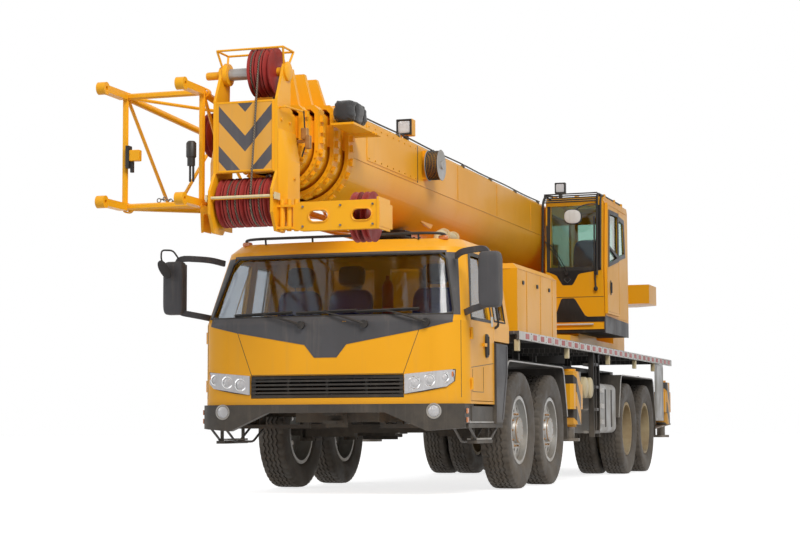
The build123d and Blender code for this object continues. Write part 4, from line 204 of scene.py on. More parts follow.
def turned(profile, centre, axis="Z", steps=24):
    """A profile of (distance from the axis, place along it) turned full circle round an axis.

    A profile that doesn't start and end on the axis is closed into a ring.
    """
    profile = np.asarray(profile, float)
    turn = np.arange(steps) * 2 * np.pi / steps
    first, second, along = AXES[axis]
    out = np.cos(turn)[:, None] * first + np.sin(turn)[:, None] * second
    points = profile[None, :, :1] * out[:, None] + profile[None, :, 1:] * along
    points = points + np.asarray(centre, float)
    on_axis = abs(profile[0, 0]) < 1e-6 and abs(profile[-1, 0]) < 1e-6
    return lattice(points, wrap_u=True, wrap_v=not on_axis)


def slab(outline, low, high, axis="X"):
    """A flat outline, (n, 2), made solid between two places along an axis.

    On axis X the outline is (y, z), on Y it is (z, x) and on Z it is (x, y).
    """
    outline = np.asarray(outline, float)
    first, second, along = AXES[axis]
    flat = outline[:, :1] * first + outline[:, 1:] * second
    points = np.stack([flat + along * low, flat + along * high])
    return lattice(points, wrap_v=True, cap_u=True)


def turn_matrix(axis, angle):
    """The turning matrix about X, Y or Z."""
    first, second, along = AXES[axis]
    cos, sin = np.cos(angle), np.sin(angle)
    basis = np.stack([first, second, along], axis=1)
    return basis @ np.array([(cos, -sin, 0), (sin, cos, 0), (0, 0, 1)]) @ basis.T


def copies(shape, moves):
    """A shape again at each move."""
    points, faces = shape
    moves = np.atleast_2d(np.asarray(moves, float))
    placed = (points + moves[:, None]).reshape(-1, 3)
    base = np.arange(len(moves))[:, None, None] * len(points)
    return placed, [(base + face[None]).reshape(-1, face.shape[1]) for face in faces]


def mirrored(shape):
    """The shape on the other side of the middle plane, with its faces turned to point outwards."""
    points, faces = shape
    return points * (-1, 1, 1), [face[:, ::-1] for face in faces]


def both(shape):
    """A shape and its mirror on the other side."""
    return [shape, mirrored(shape)]


def joined(shapes):
    """Several shapes as one."""
    points, faces, count = [], [], 0
    for verts, groups in shapes:
        points.append(verts)
        faces += [group + count for group in groups]
        count += len(verts)
    return np.vstack(points), faces


def outward(mesh):
    """Turns each closed part of a mesh so that its faces point outwards."""
    work = bmesh.new()
    work.from_mesh(mesh)
    bmesh.ops.remove_doubles(work, verts=work.verts, dist=1e-6)
    bmesh.ops.recalc_face_normals(work, faces=work.faces)
    work.to_mesh(mesh)
    work.free()


def put(name, body, material, shapes, bevel=0.0, replaces=()):
    """One new piece from a list of shapes, riding on a body, with its edges rounded by bevel.

    It wears the finish of the name given as material.
    """
    points, groups = joined(shapes)
    mesh = bpy.data.meshes.new(name)
    mesh.vertices.add(len(points))
    mesh.vertices.foreach_set("co", points.astype(np.float32).ravel())
    loops = np.concatenate([group.ravel() for group in groups])
    totals = np.concatenate([np.full(len(group), group.shape[1]) for group in groups])
    starts = np.concatenate([[0], np.cumsum(totals)[:-1]])
    mesh.loops.add(len(loops))
    mesh.loops.foreach_set("vertex_index", loops.astype(np.int32))
    mesh.polygons.add(len(totals))
    mesh.polygons.foreach_set("loop_start", starts.astype(np.int32))
    mesh.polygons.foreach_set("loop_total", totals.astype(np.int32))
    mesh.update(calc_edges=True)
    mesh.validate()
    outward(mesh)
    mesh.polygons.foreach_set("use_smooth", np.full(len(mesh.polygons), True))
    piece = bpy.data.objects.new(name, mesh)
    bpy.context.scene.collection.objects.link(piece)
    mesh.materials.append(finish(material))
    mesh.set_sharp_from_angle(angle=np.radians(38))
    if bevel:
        rounding = piece.modifiers.new("edges", "BEVEL")
        rounding.width = bevel
        rounding.segments = 2
        rounding.limit_method = "ANGLE"
        rounding.angle_limit = np.radians(40)
        rounding.harden_normals = True
    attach(piece, body)
    if replaces:
        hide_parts(*replaces)
    return piece


# ---------------------------------------------------------------- shader groups


def add(tree, kind, settings=None, **sockets):
    """A node of a kind, with its settings and its sockets linked or set.

    A socket is named with _ for a space, or i and its number, as i0 and i1.
    """
    made = tree.nodes.new(kind)
    for name, value in (settings or {}).items():
        setattr(made, name, value)
    for name, value in sockets.items():
        numbered = name[0] == "i" and name[1:].isdigit()
        socket = made.inputs[int(name[1:]) if numbered else name.replace("_", " ")]
        if isinstance(value, bpy.types.NodeSocket):
            tree.links.new(value, socket)
        else:
            socket.default_value = value
    return made


def maths(tree, operation, first, second=0.0, clamp=False):
    """One sum of two values."""
    made = add(tree, "ShaderNodeMath", {"operation": operation, "use_clamp": clamp}, i0=first, i1=second)
    return made.outputs[0]


def blend(tree, share, first, second):
    """A colour between two, by share."""
    settings = {"data_type": "RGBA", "blend_type": "MIX"}
    return add(tree, "ShaderNodeMix", settings, i0=share, i6=first, i7=second).outputs[2]


def steps(tree, value, low, high, to_low=0.0, to_high=1.0):
    """A value carried smoothly from one range to another."""
    settings = {"interpolation_type": "SMOOTHSTEP"}
    made = add(tree, "ShaderNodeMapRange", settings, i0=value, i1=low, i2=high, i3=to_low, i4=to_high)
    return made.outputs[0]


def place_xyz(tree):
    """Object coordinates, as one vector and as three values."""
    where = add(tree, "ShaderNodeTexCoord").outputs["Object"]
    return where, add(tree, "ShaderNodeSeparateXYZ", Vector=where).outputs


def noise(tree, where, scale, detail=3.0, rough=0.55, stretch=None):
    """Smooth random patches of a size of 1 / scale metres."""
    if stretch:
        where = add(tree, "ShaderNodeMapping", Vector=where, Scale=stretch).outputs[0]
    return add(
        tree, "ShaderNodeTexNoise", Vector=where, Scale=scale, Detail=detail, Roughness=rough
    ).outputs["Fac"]


def new_group(name, inputs, outputs):
    """An empty shader group with its sockets, each (name, kind, default) or (name, kind)."""
    tree = bpy.data.node_groups.new(name, "ShaderNodeTree")
    for label, kind, value in inputs:
        socket = tree.interface.new_socket(label, in_out="INPUT", socket_type=f"NodeSocket{kind}")
        socket.default_value = value
    for label, kind in outputs:
        tree.interface.new_socket(label, in_out="OUTPUT", socket_type=f"NodeSocket{kind}")
    return tree, tree.nodes.new("NodeGroupInput").outputs, tree.nodes.new("NodeGroupOutput").inputs


def grain_group():
    """Fine unevenness: a height for Bump, and a slow mottle for colour and roughness."""
    tree, given, out = new_group(
        "fine grain", [("Scale", "Float", 90.0), ("Patch Scale", "Float", 1.4)], [
            ("Height", "Float"), ("Mottle", "Float")
        ]
    )
    where, _ = place_xyz(tree)
    tree.links.new(noise(tree, where, given["Scale"], 2.0), out["Height"])
    tree.links.new(steps(tree, noise(tree, where, given["Patch Scale"], 4.0), 0.3, 0.7), out["Mottle"])


def wear_group():
    """Bare edges: where the rounded normal leaves the surface's own, broken up by patches."""
    tree, given, out = new_group(
        "edge wear", [("Width", "Float", 0.006), ("Amount", "Float", 0.5)], [("Mask", "Float")]
    )
    where, _ = place_xyz(tree)
    rounded_normal = add(tree, "ShaderNodeBevel", {"samples": 4}, Radius=given["Width"]).outputs[0]
    own = add(tree, "ShaderNodeNewGeometry").outputs["Normal"]
    same = add(
        tree, "ShaderNodeVectorMath", {"operation": "DOT_PRODUCT"}, i0=rounded_normal, i1=own
    ).outputs["Value"]
    edge = steps(tree, maths(tree, "SUBTRACT", 1.0, same), 0.01, 0.12)
    broken = steps(tree, noise(tree, where, 16.0, 5.0, 0.7), 0.48, 0.62)
    worn = maths(tree, "MULTIPLY", maths(tree, "MULTIPLY", edge, broken), given["Amount"], True)
    tree.links.new(worn, out["Mask"])


def dust_group():
    """Road dust: thick near the ground and thinning upwards, more on faces that look up."""
    tree, given, out = new_group(
        "road dust",
        [("Ground", "Float", 0.25), ("Clear Height", "Float", 1.5), ("Amount", "Float", 0.5)],
        [("Mask", "Float")],
    )
    where, xyz = place_xyz(tree)
    low = steps(tree, xyz[2], given["Ground"], given["Clear Height"], 1.0, 0.0)
    normal = add(tree, "ShaderNodeNewGeometry").outputs["Normal"]
    upward = add(tree, "ShaderNodeSeparateXYZ", Vector=normal).outputs[2]
    lying = maths(tree, "MULTIPLY", maths(tree, "MAXIMUM", upward, 0.0), 0.35)
    patch = steps(tree, noise(tree, where, 3.0, 6.0, 0.65), 0.3, 0.75, 0.35, 1.0)
    total = maths(tree, "MULTIPLY", maths(tree, "ADD", low, lying), patch)
    tree.links.new(maths(tree, "MULTIPLY", total, given["Amount"], True), out["Mask"])


def streak_group():
    """Rain marks: patches stretched downwards."""
    tree, given, out = new_group("rain streaks", [("Amount", "Float", 0.3)], [("Mask", "Float")])
    where, _ = place_xyz(tree)
    fine = noise(tree, where, 14.0, 4.0, 0.6, (1.0, 1.0, 0.07))
    mask = maths(tree, "MULTIPLY", steps(tree, fine, 0.52, 0.72), given["Amount"], True)
    tree.links.new(mask, out["Mask"])


def stripe_group():
    """Slanted bands: place along first plus slope times place along second, cut into halves."""
    tree, given, out = new_group(
        "slanted bands",
        [
            ("Along", "Float", 0.0), ("Across", "Float", 0.0), ("Slope", "Float", 1.0),
            ("Width", "Float", 0.1), ("Start", "Float", 0.0), ("Share", "Float", 0.5),
        ],
        [("Mask", "Float")],
    )
    total = maths(tree, "ADD", given["Along"], maths(tree, "MULTIPLY", given["Across"], given["Slope"]))
    total = maths(tree, "SUBTRACT", total, given["Start"])
    share = maths(tree, "FRACT", maths(tree, "DIVIDE", total, given["Width"]))
    tree.links.new(maths(tree, "GREATER_THAN", share, given["Share"]), out["Mask"])


def plate_group():
    """Tread plate: short raised bars that turn by a right angle from cell to cell."""
    tree, given, out = new_group("tread plate", [("Pitch", "Float", 0.03)], [("Height", "Float")])
    _, xyz = place_xyz(tree)
    cell_x = maths(tree, "DIVIDE", xyz[0], given["Pitch"])
    cell_y = maths(tree, "DIVIDE", xyz[1], given["Pitch"])
    odd = maths(tree, "ADD", maths(tree, "FLOOR", cell_x), maths(tree, "FLOOR", cell_y))
    odd = maths(tree, "GREATER_THAN", maths(tree, "FRACT", maths(tree, "MULTIPLY", odd, 0.5)), 0.25)
    in_x = maths(tree, "ABSOLUTE", maths(tree, "SUBTRACT", maths(tree, "FRACT", cell_x), 0.5))
    in_y = maths(tree, "ABSOLUTE", maths(tree, "SUBTRACT", maths(tree, "FRACT", cell_y), 0.5))
    bar_a = maths(
        tree, "MULTIPLY", steps(tree, in_x, 0.1, 0.16, 1.0, 0.0), steps(tree, in_y, 0.36, 0.44, 1.0, 0.0)
    )
    bar_b = maths(
        tree, "MULTIPLY", steps(tree, in_y, 0.1, 0.16, 1.0, 0.0), steps(tree, in_x, 0.36, 0.44, 1.0, 0.0)
    )
    both = add(tree, "ShaderNodeMix", {"data_type": "FLOAT"}, i0=odd, i2=bar_a, i3=bar_b).outputs[0]
    tree.links.new(both, out["Height"])


def shared(tree, name, **values):
    """One of the shared groups, with its own values."""
    made = tree.nodes.new("ShaderNodeGroup")
    made.node_tree = bpy.data.node_groups[name]
    for label, value in values.items():
        socket = made.inputs[label.replace("_", " ")]
        if isinstance(value, bpy.types.NodeSocket):
            tree.links.new(value, socket)
        else:
            socket.default_value = value
    return made.outputs


# ---------------------------------------------------------------- finishes

DUST = (0.30, 0.25, 0.19, 1)
BARE = (0.16, 0.14, 0.12, 1)
RUST = (0.16, 0.055, 0.022, 1)

# name: colour, second colour, roughness low and high, metallic, coat, grain scale, grain depth,
# patches, dust height, dust amount, edge wear, streaks, bare colour
COATS = {
    "paint": (
        (0.95, 0.44, 0.010), (0.90, 0.41, 0.009), 0.36, 0.48, 0.0, 0.10, 150, 0.0004, 0.9, 1.3, 0.25, 0.25,
        0.05, BARE
    ),
    "paint_dusty": (
        (0.82, 0.37, 0.012), (0.68, 0.30, 0.016), 0.42, 0.6, 0.0, 0.1, 120, 0.0006, 1.2, 1.9, 0.5, 0.5, 0.3,
        RUST
    ),
    "dark_frame": (
        (0.030, 0.028, 0.027), (0.05, 0.045, 0.04), 0.45, 0.7, 0.0, 0.0, 70, 0.0008, 2.2, 1.6, 0.55, 0.3,
        0.1, DUST
    ),
    "dark_trim": (
        (0.020, 0.019, 0.019), (0.03, 0.028, 0.027), 0.40, 0.6, 0.0, 0.0, 260, 0.0005, 2.0, 1.4, 0.4, 0.2,
        0.1, DUST
    ),
    "grey_trim": (
        (0.085, 0.085, 0.092), (0.07, 0.07, 0.075), 0.45, 0.6, 0.0, 0.0, 260, 0.0004, 2.0, 1.4, 0.4, 0.2,
        0.15, DUST
    ),
    "rim": (
        (0.42, 0.42, 0.41), (0.34, 0.32, 0.29), 0.34, 0.5, 0.75, 0.0, 60, 0.0006, 3.0, 1.1, 0.35, 0.3, 0.0,
        DUST
    ),
    "rim_cream": (
        (0.55, 0.45, 0.26), (0.40, 0.28, 0.14), 0.45, 0.65, 0.0, 0.0, 60, 0.0006, 4.0, 1.3, 0.6, 0.5, 0.2,
        RUST
    ),
    "interior": (
        (0.085, 0.055, 0.04), (0.06, 0.04, 0.03), 0.6, 0.8, 0.0, 0.0, 300, 0.0006, 3.0, 0.5, 0.0, 0.1, 0.0,
        DUST
    ),
    "seat_frame": (
        (0.02, 0.02, 0.022), (0.03, 0.03, 0.03), 0.5, 0.7, 0.0, 0.0, 200, 0.0004, 3.0, 0.5, 0.0, 0.1, 0.0,
        DUST
    ),
    "sheave": (
        (0.36, 0.035, 0.03), (0.24, 0.022, 0.018), 0.45, 0.65, 0.0, 0.0, 90, 0.0006, 5.0, 1.0, 0.2, 0.4, 0.1,
        BARE
    ),
    "sheave_pale": (
        (0.50, 0.11, 0.09), (0.38, 0.07, 0.055), 0.5, 0.7, 0.0, 0.0, 90, 0.0006, 5.0, 1.0, 0.2, 0.4, 0.1,
        BARE
    ),
    "rod_chrome": (
        (0.62, 0.62, 0.62), (0.55, 0.55, 0.55), 0.08, 0.16, 1.0, 0.0, 200, 0.0001, 3.0, 1.2, 0.1, 0.0, 0.05,
        BARE
    ),
    "steel": (
        (0.22, 0.21, 0.20), (0.14, 0.12, 0.10), 0.35, 0.6, 0.85, 0.0, 120, 0.0006, 5.0, 1.4, 0.35, 0.2, 0.1,
        RUST
    ),
    "brass": (
        (0.46, 0.25, 0.09), (0.28, 0.14, 0.05), 0.35, 0.55, 0.7, 0.0, 120, 0.0006, 9.0, 1.2, 0.3, 0.2, 0.0,
        RUST
    ),
    "silver": (
        (0.42, 0.42, 0.42), (0.34, 0.33, 0.31), 0.35, 0.55, 0.35, 0.0, 120, 0.0004, 3.0, 1.5, 0.5, 0.2, 0.2,
        BARE
    ),
    "cream": (
        (0.78, 0.66, 0.40), (0.62, 0.50, 0.28), 0.4, 0.6, 0.0, 0.1, 120, 0.0005, 3.0, 1.4, 0.4, 0.3, 0.2,
        BARE
    ),
    "white": (
        (0.72, 0.71, 0.69), (0.60, 0.58, 0.55), 0.4, 0.55, 0.0, 0.1, 150, 0.0004, 2.0, 1.4, 0.35, 0.3, 0.2,
        DUST
    ),
    "red": (
        (0.45, 0.02, 0.015), (0.34, 0.02, 0.015), 0.35, 0.5, 0.0, 0.2, 150, 0.0004, 3.0, 1.4, 0.3, 0.2, 0.1,
        BARE
    ),
    "exhaust": (
        (0.30, 0.27, 0.24), (0.16, 0.10, 0.07), 0.5, 0.75, 0.6, 0.0, 60, 0.001, 4.0, 1.4, 0.3, 0.3, 0.3, RUST
    ),
    "rubber_hose": (
        (0.018, 0.017, 0.017), (0.03, 0.027, 0.025), 0.5, 0.7, 0.0, 0.0, 260, 0.0006, 4.0, 1.6, 0.4, 0.0,
        0.0, DUST
    ),
}


def surface(name):
    """A new material's tree with its shader, empty but for those."""
    material = bpy.data.materials.new(f"{name}_finish")
    material.use_nodes = True
    tree = material.node_tree
    return material, tree, tree.nodes["Principled BSDF"].inputs


def dress(
    tree, shader, base, rough, height, depth, dust_top=1.4, dust=0.3, wear=0.2, streaks=0.1, bare=BARE
):
    """Wears a base colour: streaks, bare edges and dust over it, roughness and bump with them."""
    colour = blend(tree, shared(tree, "rain streaks", Amount=streaks)["Mask"], base, DUST)
    edges = shared(tree, "edge wear", Amount=wear)["Mask"]
    colour = blend(tree, edges, colour, bare)
    settled = shared(tree, "road dust", Clear_Height=dust_top, Amount=dust)["Mask"]
    tree.links.new(blend(tree, settled, colour, DUST), shader["Base Color"])
    covered = maths(tree, "MAXIMUM", settled, edges)
    dull = add(tree, "ShaderNodeMix", {"data_type": "FLOAT"}, i0=covered, i2=rough, i3=0.85).outputs[0]
    tree.links.new(dull, shader["Roughness"])
    relief = add(tree, "ShaderNodeBump", Height=height, Distance=depth, Strength=1.0).outputs[0]
    tree.links.new(relief, shader["Normal"])
    return covered


def coat(name):
    """A coated or bare metal or plastic finish, by its row of COATS."""
    (
        colour, second, rough_low, rough_high, metallic, clear, scale, depth, patches, dust_top, dust, wear,
        streaks, bare
    ) = COATS[name]
    material, tree, shader = surface(name)
    grain = shared(tree, "fine grain", Scale=scale, Patch_Scale=patches)
    base = blend(tree, grain["Mottle"], (*colour, 1), (*second, 1))
    rough = steps(tree, grain["Mottle"], 0.0, 1.0, rough_low, rough_high)
    dress(tree, shader, base, rough, grain["Height"], depth, dust_top, dust, wear, streaks, bare)
    shader["Metallic"].default_value = metallic
    shader["Specular IOR Level"].default_value = 0.5 if metallic else 0.28
    shader["Coat Weight"].default_value = clear
    shader["Coat Roughness"].default_value = 0.12
    return material


def tyre_rubber():
    """Black rubber, browner on the sidewalls where road dirt has dried in."""
    material, tree, shader = surface("tyre_rubber")
    grain = shared(tree, "fine grain", Scale=160.0, Patch_Scale=7.0)
    base = blend(tree, grain["Mottle"], (0.030, 0.027, 0.025, 1), (0.060, 0.048, 0.038, 1))
    rough = steps(tree, grain["Mottle"], 0.0, 1.0, 0.6, 0.85)
    dress(tree, shader, base, rough, grain["Height"], 0.0012, 1.6, 0.38, 0.1, 0.0, DUST)
    return material


def tread_sheet():
    """Grey plate with raised bars, painted lighter than the plate between them: a painted highlight on their
    relief.
    """
    material, tree, shader = surface("tread_sheet")
    grain = shared(tree, "fine grain", Scale=80.0, Patch_Scale=2.0)
    bars_up = shared(tree, "tread plate", Pitch=0.034)["Height"]
    base = blend(tree, grain["Mottle"], (0.10, 0.10, 0.10, 1), (0.16, 0.15, 0.14, 1))
    # painted highlight: the raised bars are painted lighter than the plate between them
    base = blend(tree, bars_up, base, (0.30, 0.29, 0.28, 1))
    height = maths(tree, "ADD", bars_up, maths(tree, "MULTIPLY", grain["Height"], 0.2))
    dress(tree, shader, base, 0.5, height, 0.002, 1.6, 0.3, 0.2, 0.1, DUST)
    shader["Metallic"].default_value = 0.5
    return material


def window_glass(name, tint, rough):
    """Tinted safety glass with a faint film of dust."""
    material, tree, shader = surface(name)
    where, _ = place_xyz(tree)
    film = steps(tree, noise(tree, where, 2.5, 5.0, 0.6), 0.35, 0.75, rough, rough + 0.10)
    shade = noise(tree, where, 0.8, 2.0)
    tree.links.new(blend(
        tree, shade, (*tint, 1), (*(0.85 * part for part in tint), 1)
    ), shader["Base Color"])
    tree.links.new(film, shader["Roughness"])
    shader["Transmission Weight"].default_value = 1.0
    shader["IOR"].default_value = 1.45
    return material


def lamp_glass(name, colour):
    """Pressed lamp glass: narrow upright ribs over a coloured, shining body."""
    material, tree, shader = surface(name)
    where, xyz = place_xyz(tree)
    ribs = maths(tree, "SINE", maths(tree, "MULTIPLY", maths(tree, "ADD", xyz[0], xyz[1]), 420.0))
    shade = noise(tree, where, 9.0, 3.0)
    tree.links.new(blend(
        tree, shade, (*colour, 1), (*(0.7 * part for part in colour), 1)
    ), shader["Base Color"])
    relief = add(tree, "ShaderNodeBump", Height=ribs, Distance=0.0015).outputs[0]
    tree.links.new(relief, shader["Normal"])
    shader["Roughness"].default_value = 0.08
    shader["Coat Weight"].default_value = 0.8
    shader["Coat Roughness"].default_value = 0.03
    return material


def lamp_chrome():
    """Bright reflector behind a lamp glass, with fine upright ribs, and a painted glint in each facet: light
    in its middle, darker at its edges.
    """
    material, tree, shader = surface("lamp_chrome")
    where, xyz = place_xyz(tree)
    ribs = maths(tree, "SINE", maths(tree, "MULTIPLY", xyz[0], 330.0))
    facets = add(tree, "ShaderNodeTexVoronoi", Vector=where, Scale=28.0).outputs["Distance"]
    height = maths(tree, "ADD", ribs, facets)
    # painted reflection: each facet is painted light in its middle and darker towards its edges
    tree.links.new(blend(tree, facets, (0.78, 0.79, 0.80, 1), (0.45, 0.46, 0.48, 1)), shader["Base Color"])
    tree.links.new(add(tree, "ShaderNodeBump", Height=height, Distance=0.003).outputs[0], shader["Normal"])
    shader["Metallic"].default_value = 0.6
    shader["Roughness"].default_value = 0.18
    shader["Coat Weight"].default_value = 0.9
    return material


def cloth(name, colour, second, threads):
    """Woven cloth: crossing threads as a height, with a soft sheen."""
    material, tree, shader = surface(name)
    where, xyz = place_xyz(tree)
    turned_places = [maths(
        tree, "SINE", maths(tree, "MULTIPLY", part, threads)
    ) for part in (xyz[0], xyz[1], xyz[2])]
    weave = maths(tree, "ADD", maths(tree, "MULTIPLY", turned_places[0], turned_places[2]), turned_places[1])
    shade = noise(tree, where, 6.0, 4.0)
    base = blend(tree, steps(tree, shade, 0.3, 0.7), (*colour, 1), (*second, 1))
    tree.links.new(base, shader["Base Color"])
    tree.links.new(steps(tree, shade, 0.2, 0.8, 0.6, 0.85), shader["Roughness"])
    tree.links.new(add(tree, "ShaderNodeBump", Height=weave, Distance=0.0004).outputs[0], shader["Normal"])
    shader["Sheen Weight"].default_value = 0.3
    return material


def rope_steel():
    """Greased wire rope: strands as slanted bands, with painted shade in the grooves between them and a
    painted highlight on their crests.
    """
    material, tree, shader = surface("rope")
    _, xyz = place_xyz(tree)
    strands = maths(tree, "SINE", maths(tree, "MULTIPLY", maths(
        tree, "ADD", xyz[2], maths(tree, "ADD", xyz[0], xyz[1])
    ), 260.0))
    shade = steps(tree, strands, -1.0, 1.0)
    # painted shade and highlight: the colour follows the strands' relief, dark in the grooves and light on
    # the crests
    tree.links.new(blend(tree, shade, (0.05, 0.04, 0.03, 1), (0.24, 0.19, 0.14, 1)), shader["Base Color"])
    tree.links.new(add(tree, "ShaderNodeBump", Height=strands, Distance=0.002).outputs[0], shader["Normal"])
    tree.links.new(steps(tree, shade, 0.0, 1.0, 0.5, 0.65), shader["Roughness"])
    shader["Metallic"].default_value = 0.5
    return material


def banded(name, first, second, along, across, slope, width, start=0.0, share=0.5):
    """Two colours in slanted bands over painted steel."""
    material, tree, shader = surface(name)
    _, xyz = place_xyz(tree)
    side = xyz[along]
    over = maths(tree, "ABSOLUTE", xyz[across]) if name.startswith("chevron") else xyz[across]
    bands = shared(
        tree, "slanted bands", Along=side, Across=over, Slope=slope, Width=width, Start=start, Share=share
    )["Mask"]
    grain = shared(tree, "fine grain", Scale=150.0, Patch_Scale=2.0)
    base = blend(tree, bands, (*first, 1), (*second, 1))
    base = blend(tree, maths(tree, "MULTIPLY", grain["Mottle"], 0.12), base, DUST)
    dress(tree, shader, base, 0.4, grain["Height"], 0.0003, 1.4, 0.35, 0.25, 0.15, BARE)
    return material


MAKERS = {
    "tyre_rubber": tyre_rubber,
    "tread_sheet": tread_sheet,
    "cab_glass": lambda: window_glass("cab_glass", (0.62, 0.66, 0.70), 0.02),
    "crane_glass": lambda: window_glass("crane_glass", (0.52, 0.72, 0.64), 0.02),
    "clear_lens": lambda: lamp_glass("clear_lens", (0.72, 0.72, 0.74)),
    "amber_lens": lambda: lamp_glass("amber_lens", (0.80, 0.22, 0.02)),
    "red_lens": lambda: lamp_glass("red_lens", (0.50, 0.01, 0.01)),
    "lamp_chrome": lamp_chrome,
    "seat_cloth": lambda: cloth("seat_cloth", (0.018, 0.025, 0.12), (0.03, 0.035, 0.16), 700.0),
    "head_cloth": lambda: cloth("head_cloth", (0.012, 0.013, 0.03), (0.02, 0.02, 0.05), 700.0),
    "tarpaulin": lambda: cloth("tarpaulin", (0.012, 0.012, 0.013), (0.03, 0.03, 0.032), 260.0),
    "rope": rope_steel,
    "hazard_bands": lambda: banded("hazard_bands", (0.86, 0.40, 0.02), (0.02, 0.02, 0.02), 2, 1, 1.0, 0.34),
    "chevron_bands": lambda: banded(
        "chevron_bands", (0.78, 0.38, 0.05), (0.07, 0.065, 0.075), 2, 0, -1.1, 0.346, 0.0504, 0.6
    ),
    "reflector_blocks": lambda: banded(
        "reflector_blocks", (0.66, 0.64, 0.61), (0.50, 0.02, 0.02), 1, 2, 0.0, 0.30
    ),
}

# the record's slots, and the finish of each
SLOT_FINISH = {
    "paint": "paint", "dark_frame": "dark_frame", "dark_trim": "dark_trim", "tyre": "tyre_rubber",
    "rim": "rim", "rim_cream": "rim_cream", "glass": "cab_glass", "lens": "clear_lens",
    "interior": "interior", "sheave": "sheave", "tread_plate": "tread_sheet",
    "rod_chrome": "rod_chrome", "steel": "steel", "silver": "silver", "tarpaulin": "tarpaulin",
}
# the finish of each node that doesn't take its slot's finish
NODE_FINISH = {"crane_cab_glass": "crane_glass", "mirrors": "grey_trim", "grille": "dark_trim"}


def finish(name):
    """The material of a name, made when it is first asked for."""
    if f"{name}_finish" in bpy.data.materials:
        return bpy.data.materials[f"{name}_finish"]
    return MAKERS[name]() if name in MAKERS else coat(name)


# ---------------------------------------------------------------- tyres and wheels

AXLE_1 = float(sum(corners("rim_1_left"))[1] / 2)
WHEELS = [(number, side, sign) for number in (1, 2, 3, 4) for side, sign in SIDES]
STEERED_AXLES = (1, 2)
NUT_FACE = {True: 0.060, False: -0.154}  # from the tyre's middle out to the nuts' face, steered or driven
HUB_FACE = {True: 0.128, False: 0.030}  # the same out to the hub cap
LIP_FACE = 0.108  # the same out to the rim's lip
NUT_CIRCLE, CAP_CIRCLE = 0.172, 0.108  # radii of the wheel nuts and the cap bolts


def fore(y):
    """A place along the vehicle, from its distance behind the first axle."""
    return AXLE_1 + y


def aft(points):
    """Points of (along, height) or (across, along, height), along counted from the first axle."""
    points = np.array(points, float)
    points[:, -2] += AXLE_1
    return points


def tyre_form(centre, radius, width, groove, zigzag, rounds):
    """A tyre turned about X: zigzag grooves cut its crown, and notches its shoulders.

    The radius is the crown less the groove's depth. A groove's place across is its
    middle plus zigzag times a triangle wave of the turn, and every third row's shoulder
    lies a groove's depth lower.
    """
    per_round = 6
    rows = rounds * per_round
    wave = np.tile([0.0, 0.67, 0.67, 0.0, -0.67, -0.67], rounds) * zigzag
    notch = np.tile([0.0, 0.0, 1.0, 1.0, 0.0, 0.0], rounds)
    columns = []
    for side in (-1, 1):
        wall = [(0.36, 0.30), (0.375, 0.268), (0.40, 0.262), (0.425, 0.248), (0.44, 0.236), (0.455, 0.20)]
        wall += [(0.478, 0.165), (0.492, 0.125), (0.5, 0.085), (0.494, 0.072), (0.488, 0.058), (0.468, 0.03)]
        rim = [(side * x * width, drop * radius * 1.5, 0.0, 0.0) for x, drop in wall]
        shoulder = [(side * 0.448 * width, 0.011, 0.0, 1.0), (side * 0.40 * width, 0.005, 0.0, 1.0)]
        shoulder += [(side * 0.33 * width, 0.004, 0.5, 0.6)]
        columns.append(rim + shoulder)
    crown = []
    for middle in (-0.235, -0.075, 0.075, 0.235):
        for offset, deep in ((-0.032, 0.0), (-0.022, 1.0), (0.022, 1.0), (0.032, 0.0)):
            crown.append(((middle + offset) * width, 0.002 + deep * groove, 1.0, 0.0))
    table = np.array(columns[0] + crown + columns[1][::-1])
    x = table[None, :, 0] + table[None, :, 2] * wave[:, None]
    drop = table[None, :, 1] + table[None, :, 3] * notch[:, None] * groove * 0.8
    turn = np.arange(rows)[:, None] * 2 * np.pi / rows
    reach = radius - drop
    points = np.stack([x, np.cos(turn) * reach, np.sin(turn) * reach], axis=-1) + np.asarray(centre)
    return lattice(points, wrap_u=True, wrap_v=True)


def nut_ring(centre, out, count, ring_radius, nut_radius, height, start=0.0):
    """Hexagon nuts round a wheel's middle, each with the end of its stud."""
    turn = start + np.arange(count) * 2 * np.pi / count
    nut = turned([
        (0, 0), (nut_radius, 0), (nut_radius, height * 0.8), (nut_radius * 0.85, height), (0, height)
    ], (0, 0, 0), "X", 6)
    stud = turned([
        (0, 0), (nut_radius * 0.55, 0), (nut_radius * 0.55, height * 1.7), (0, height * 1.75)
    ], (0, 0, 0), "X", 8)
    moves = np.stack([np.zeros(count), np.cos(turn) * ring_radius, np.sin(turn) * ring_radius], axis=1)
    shape = copies(joined([nut, stud]), moves)
    points, faces = shape
    return points * (out, 1, 1) + np.asarray(centre), faces


class CraneTyreSizes(bpy.types.PropertyGroup):
    """Tyres and wheel fittings."""

    groove: bpy.props.FloatProperty(
        name="Groove depth", description="Depth of the tread", default=0.013, unit="LENGTH"
    )
    zigzag: bpy.props.FloatProperty(
        name="Zigzag", description="How far a groove swings", default=0.012, unit="LENGTH"
    )
    rounds: bpy.props.IntProperty(name="Zigzags", description="How many round the tyre", default=46, min=12)
    nuts: bpy.props.IntProperty(name="Wheel nuts", description="Nuts on each wheel", default=10, min=4)


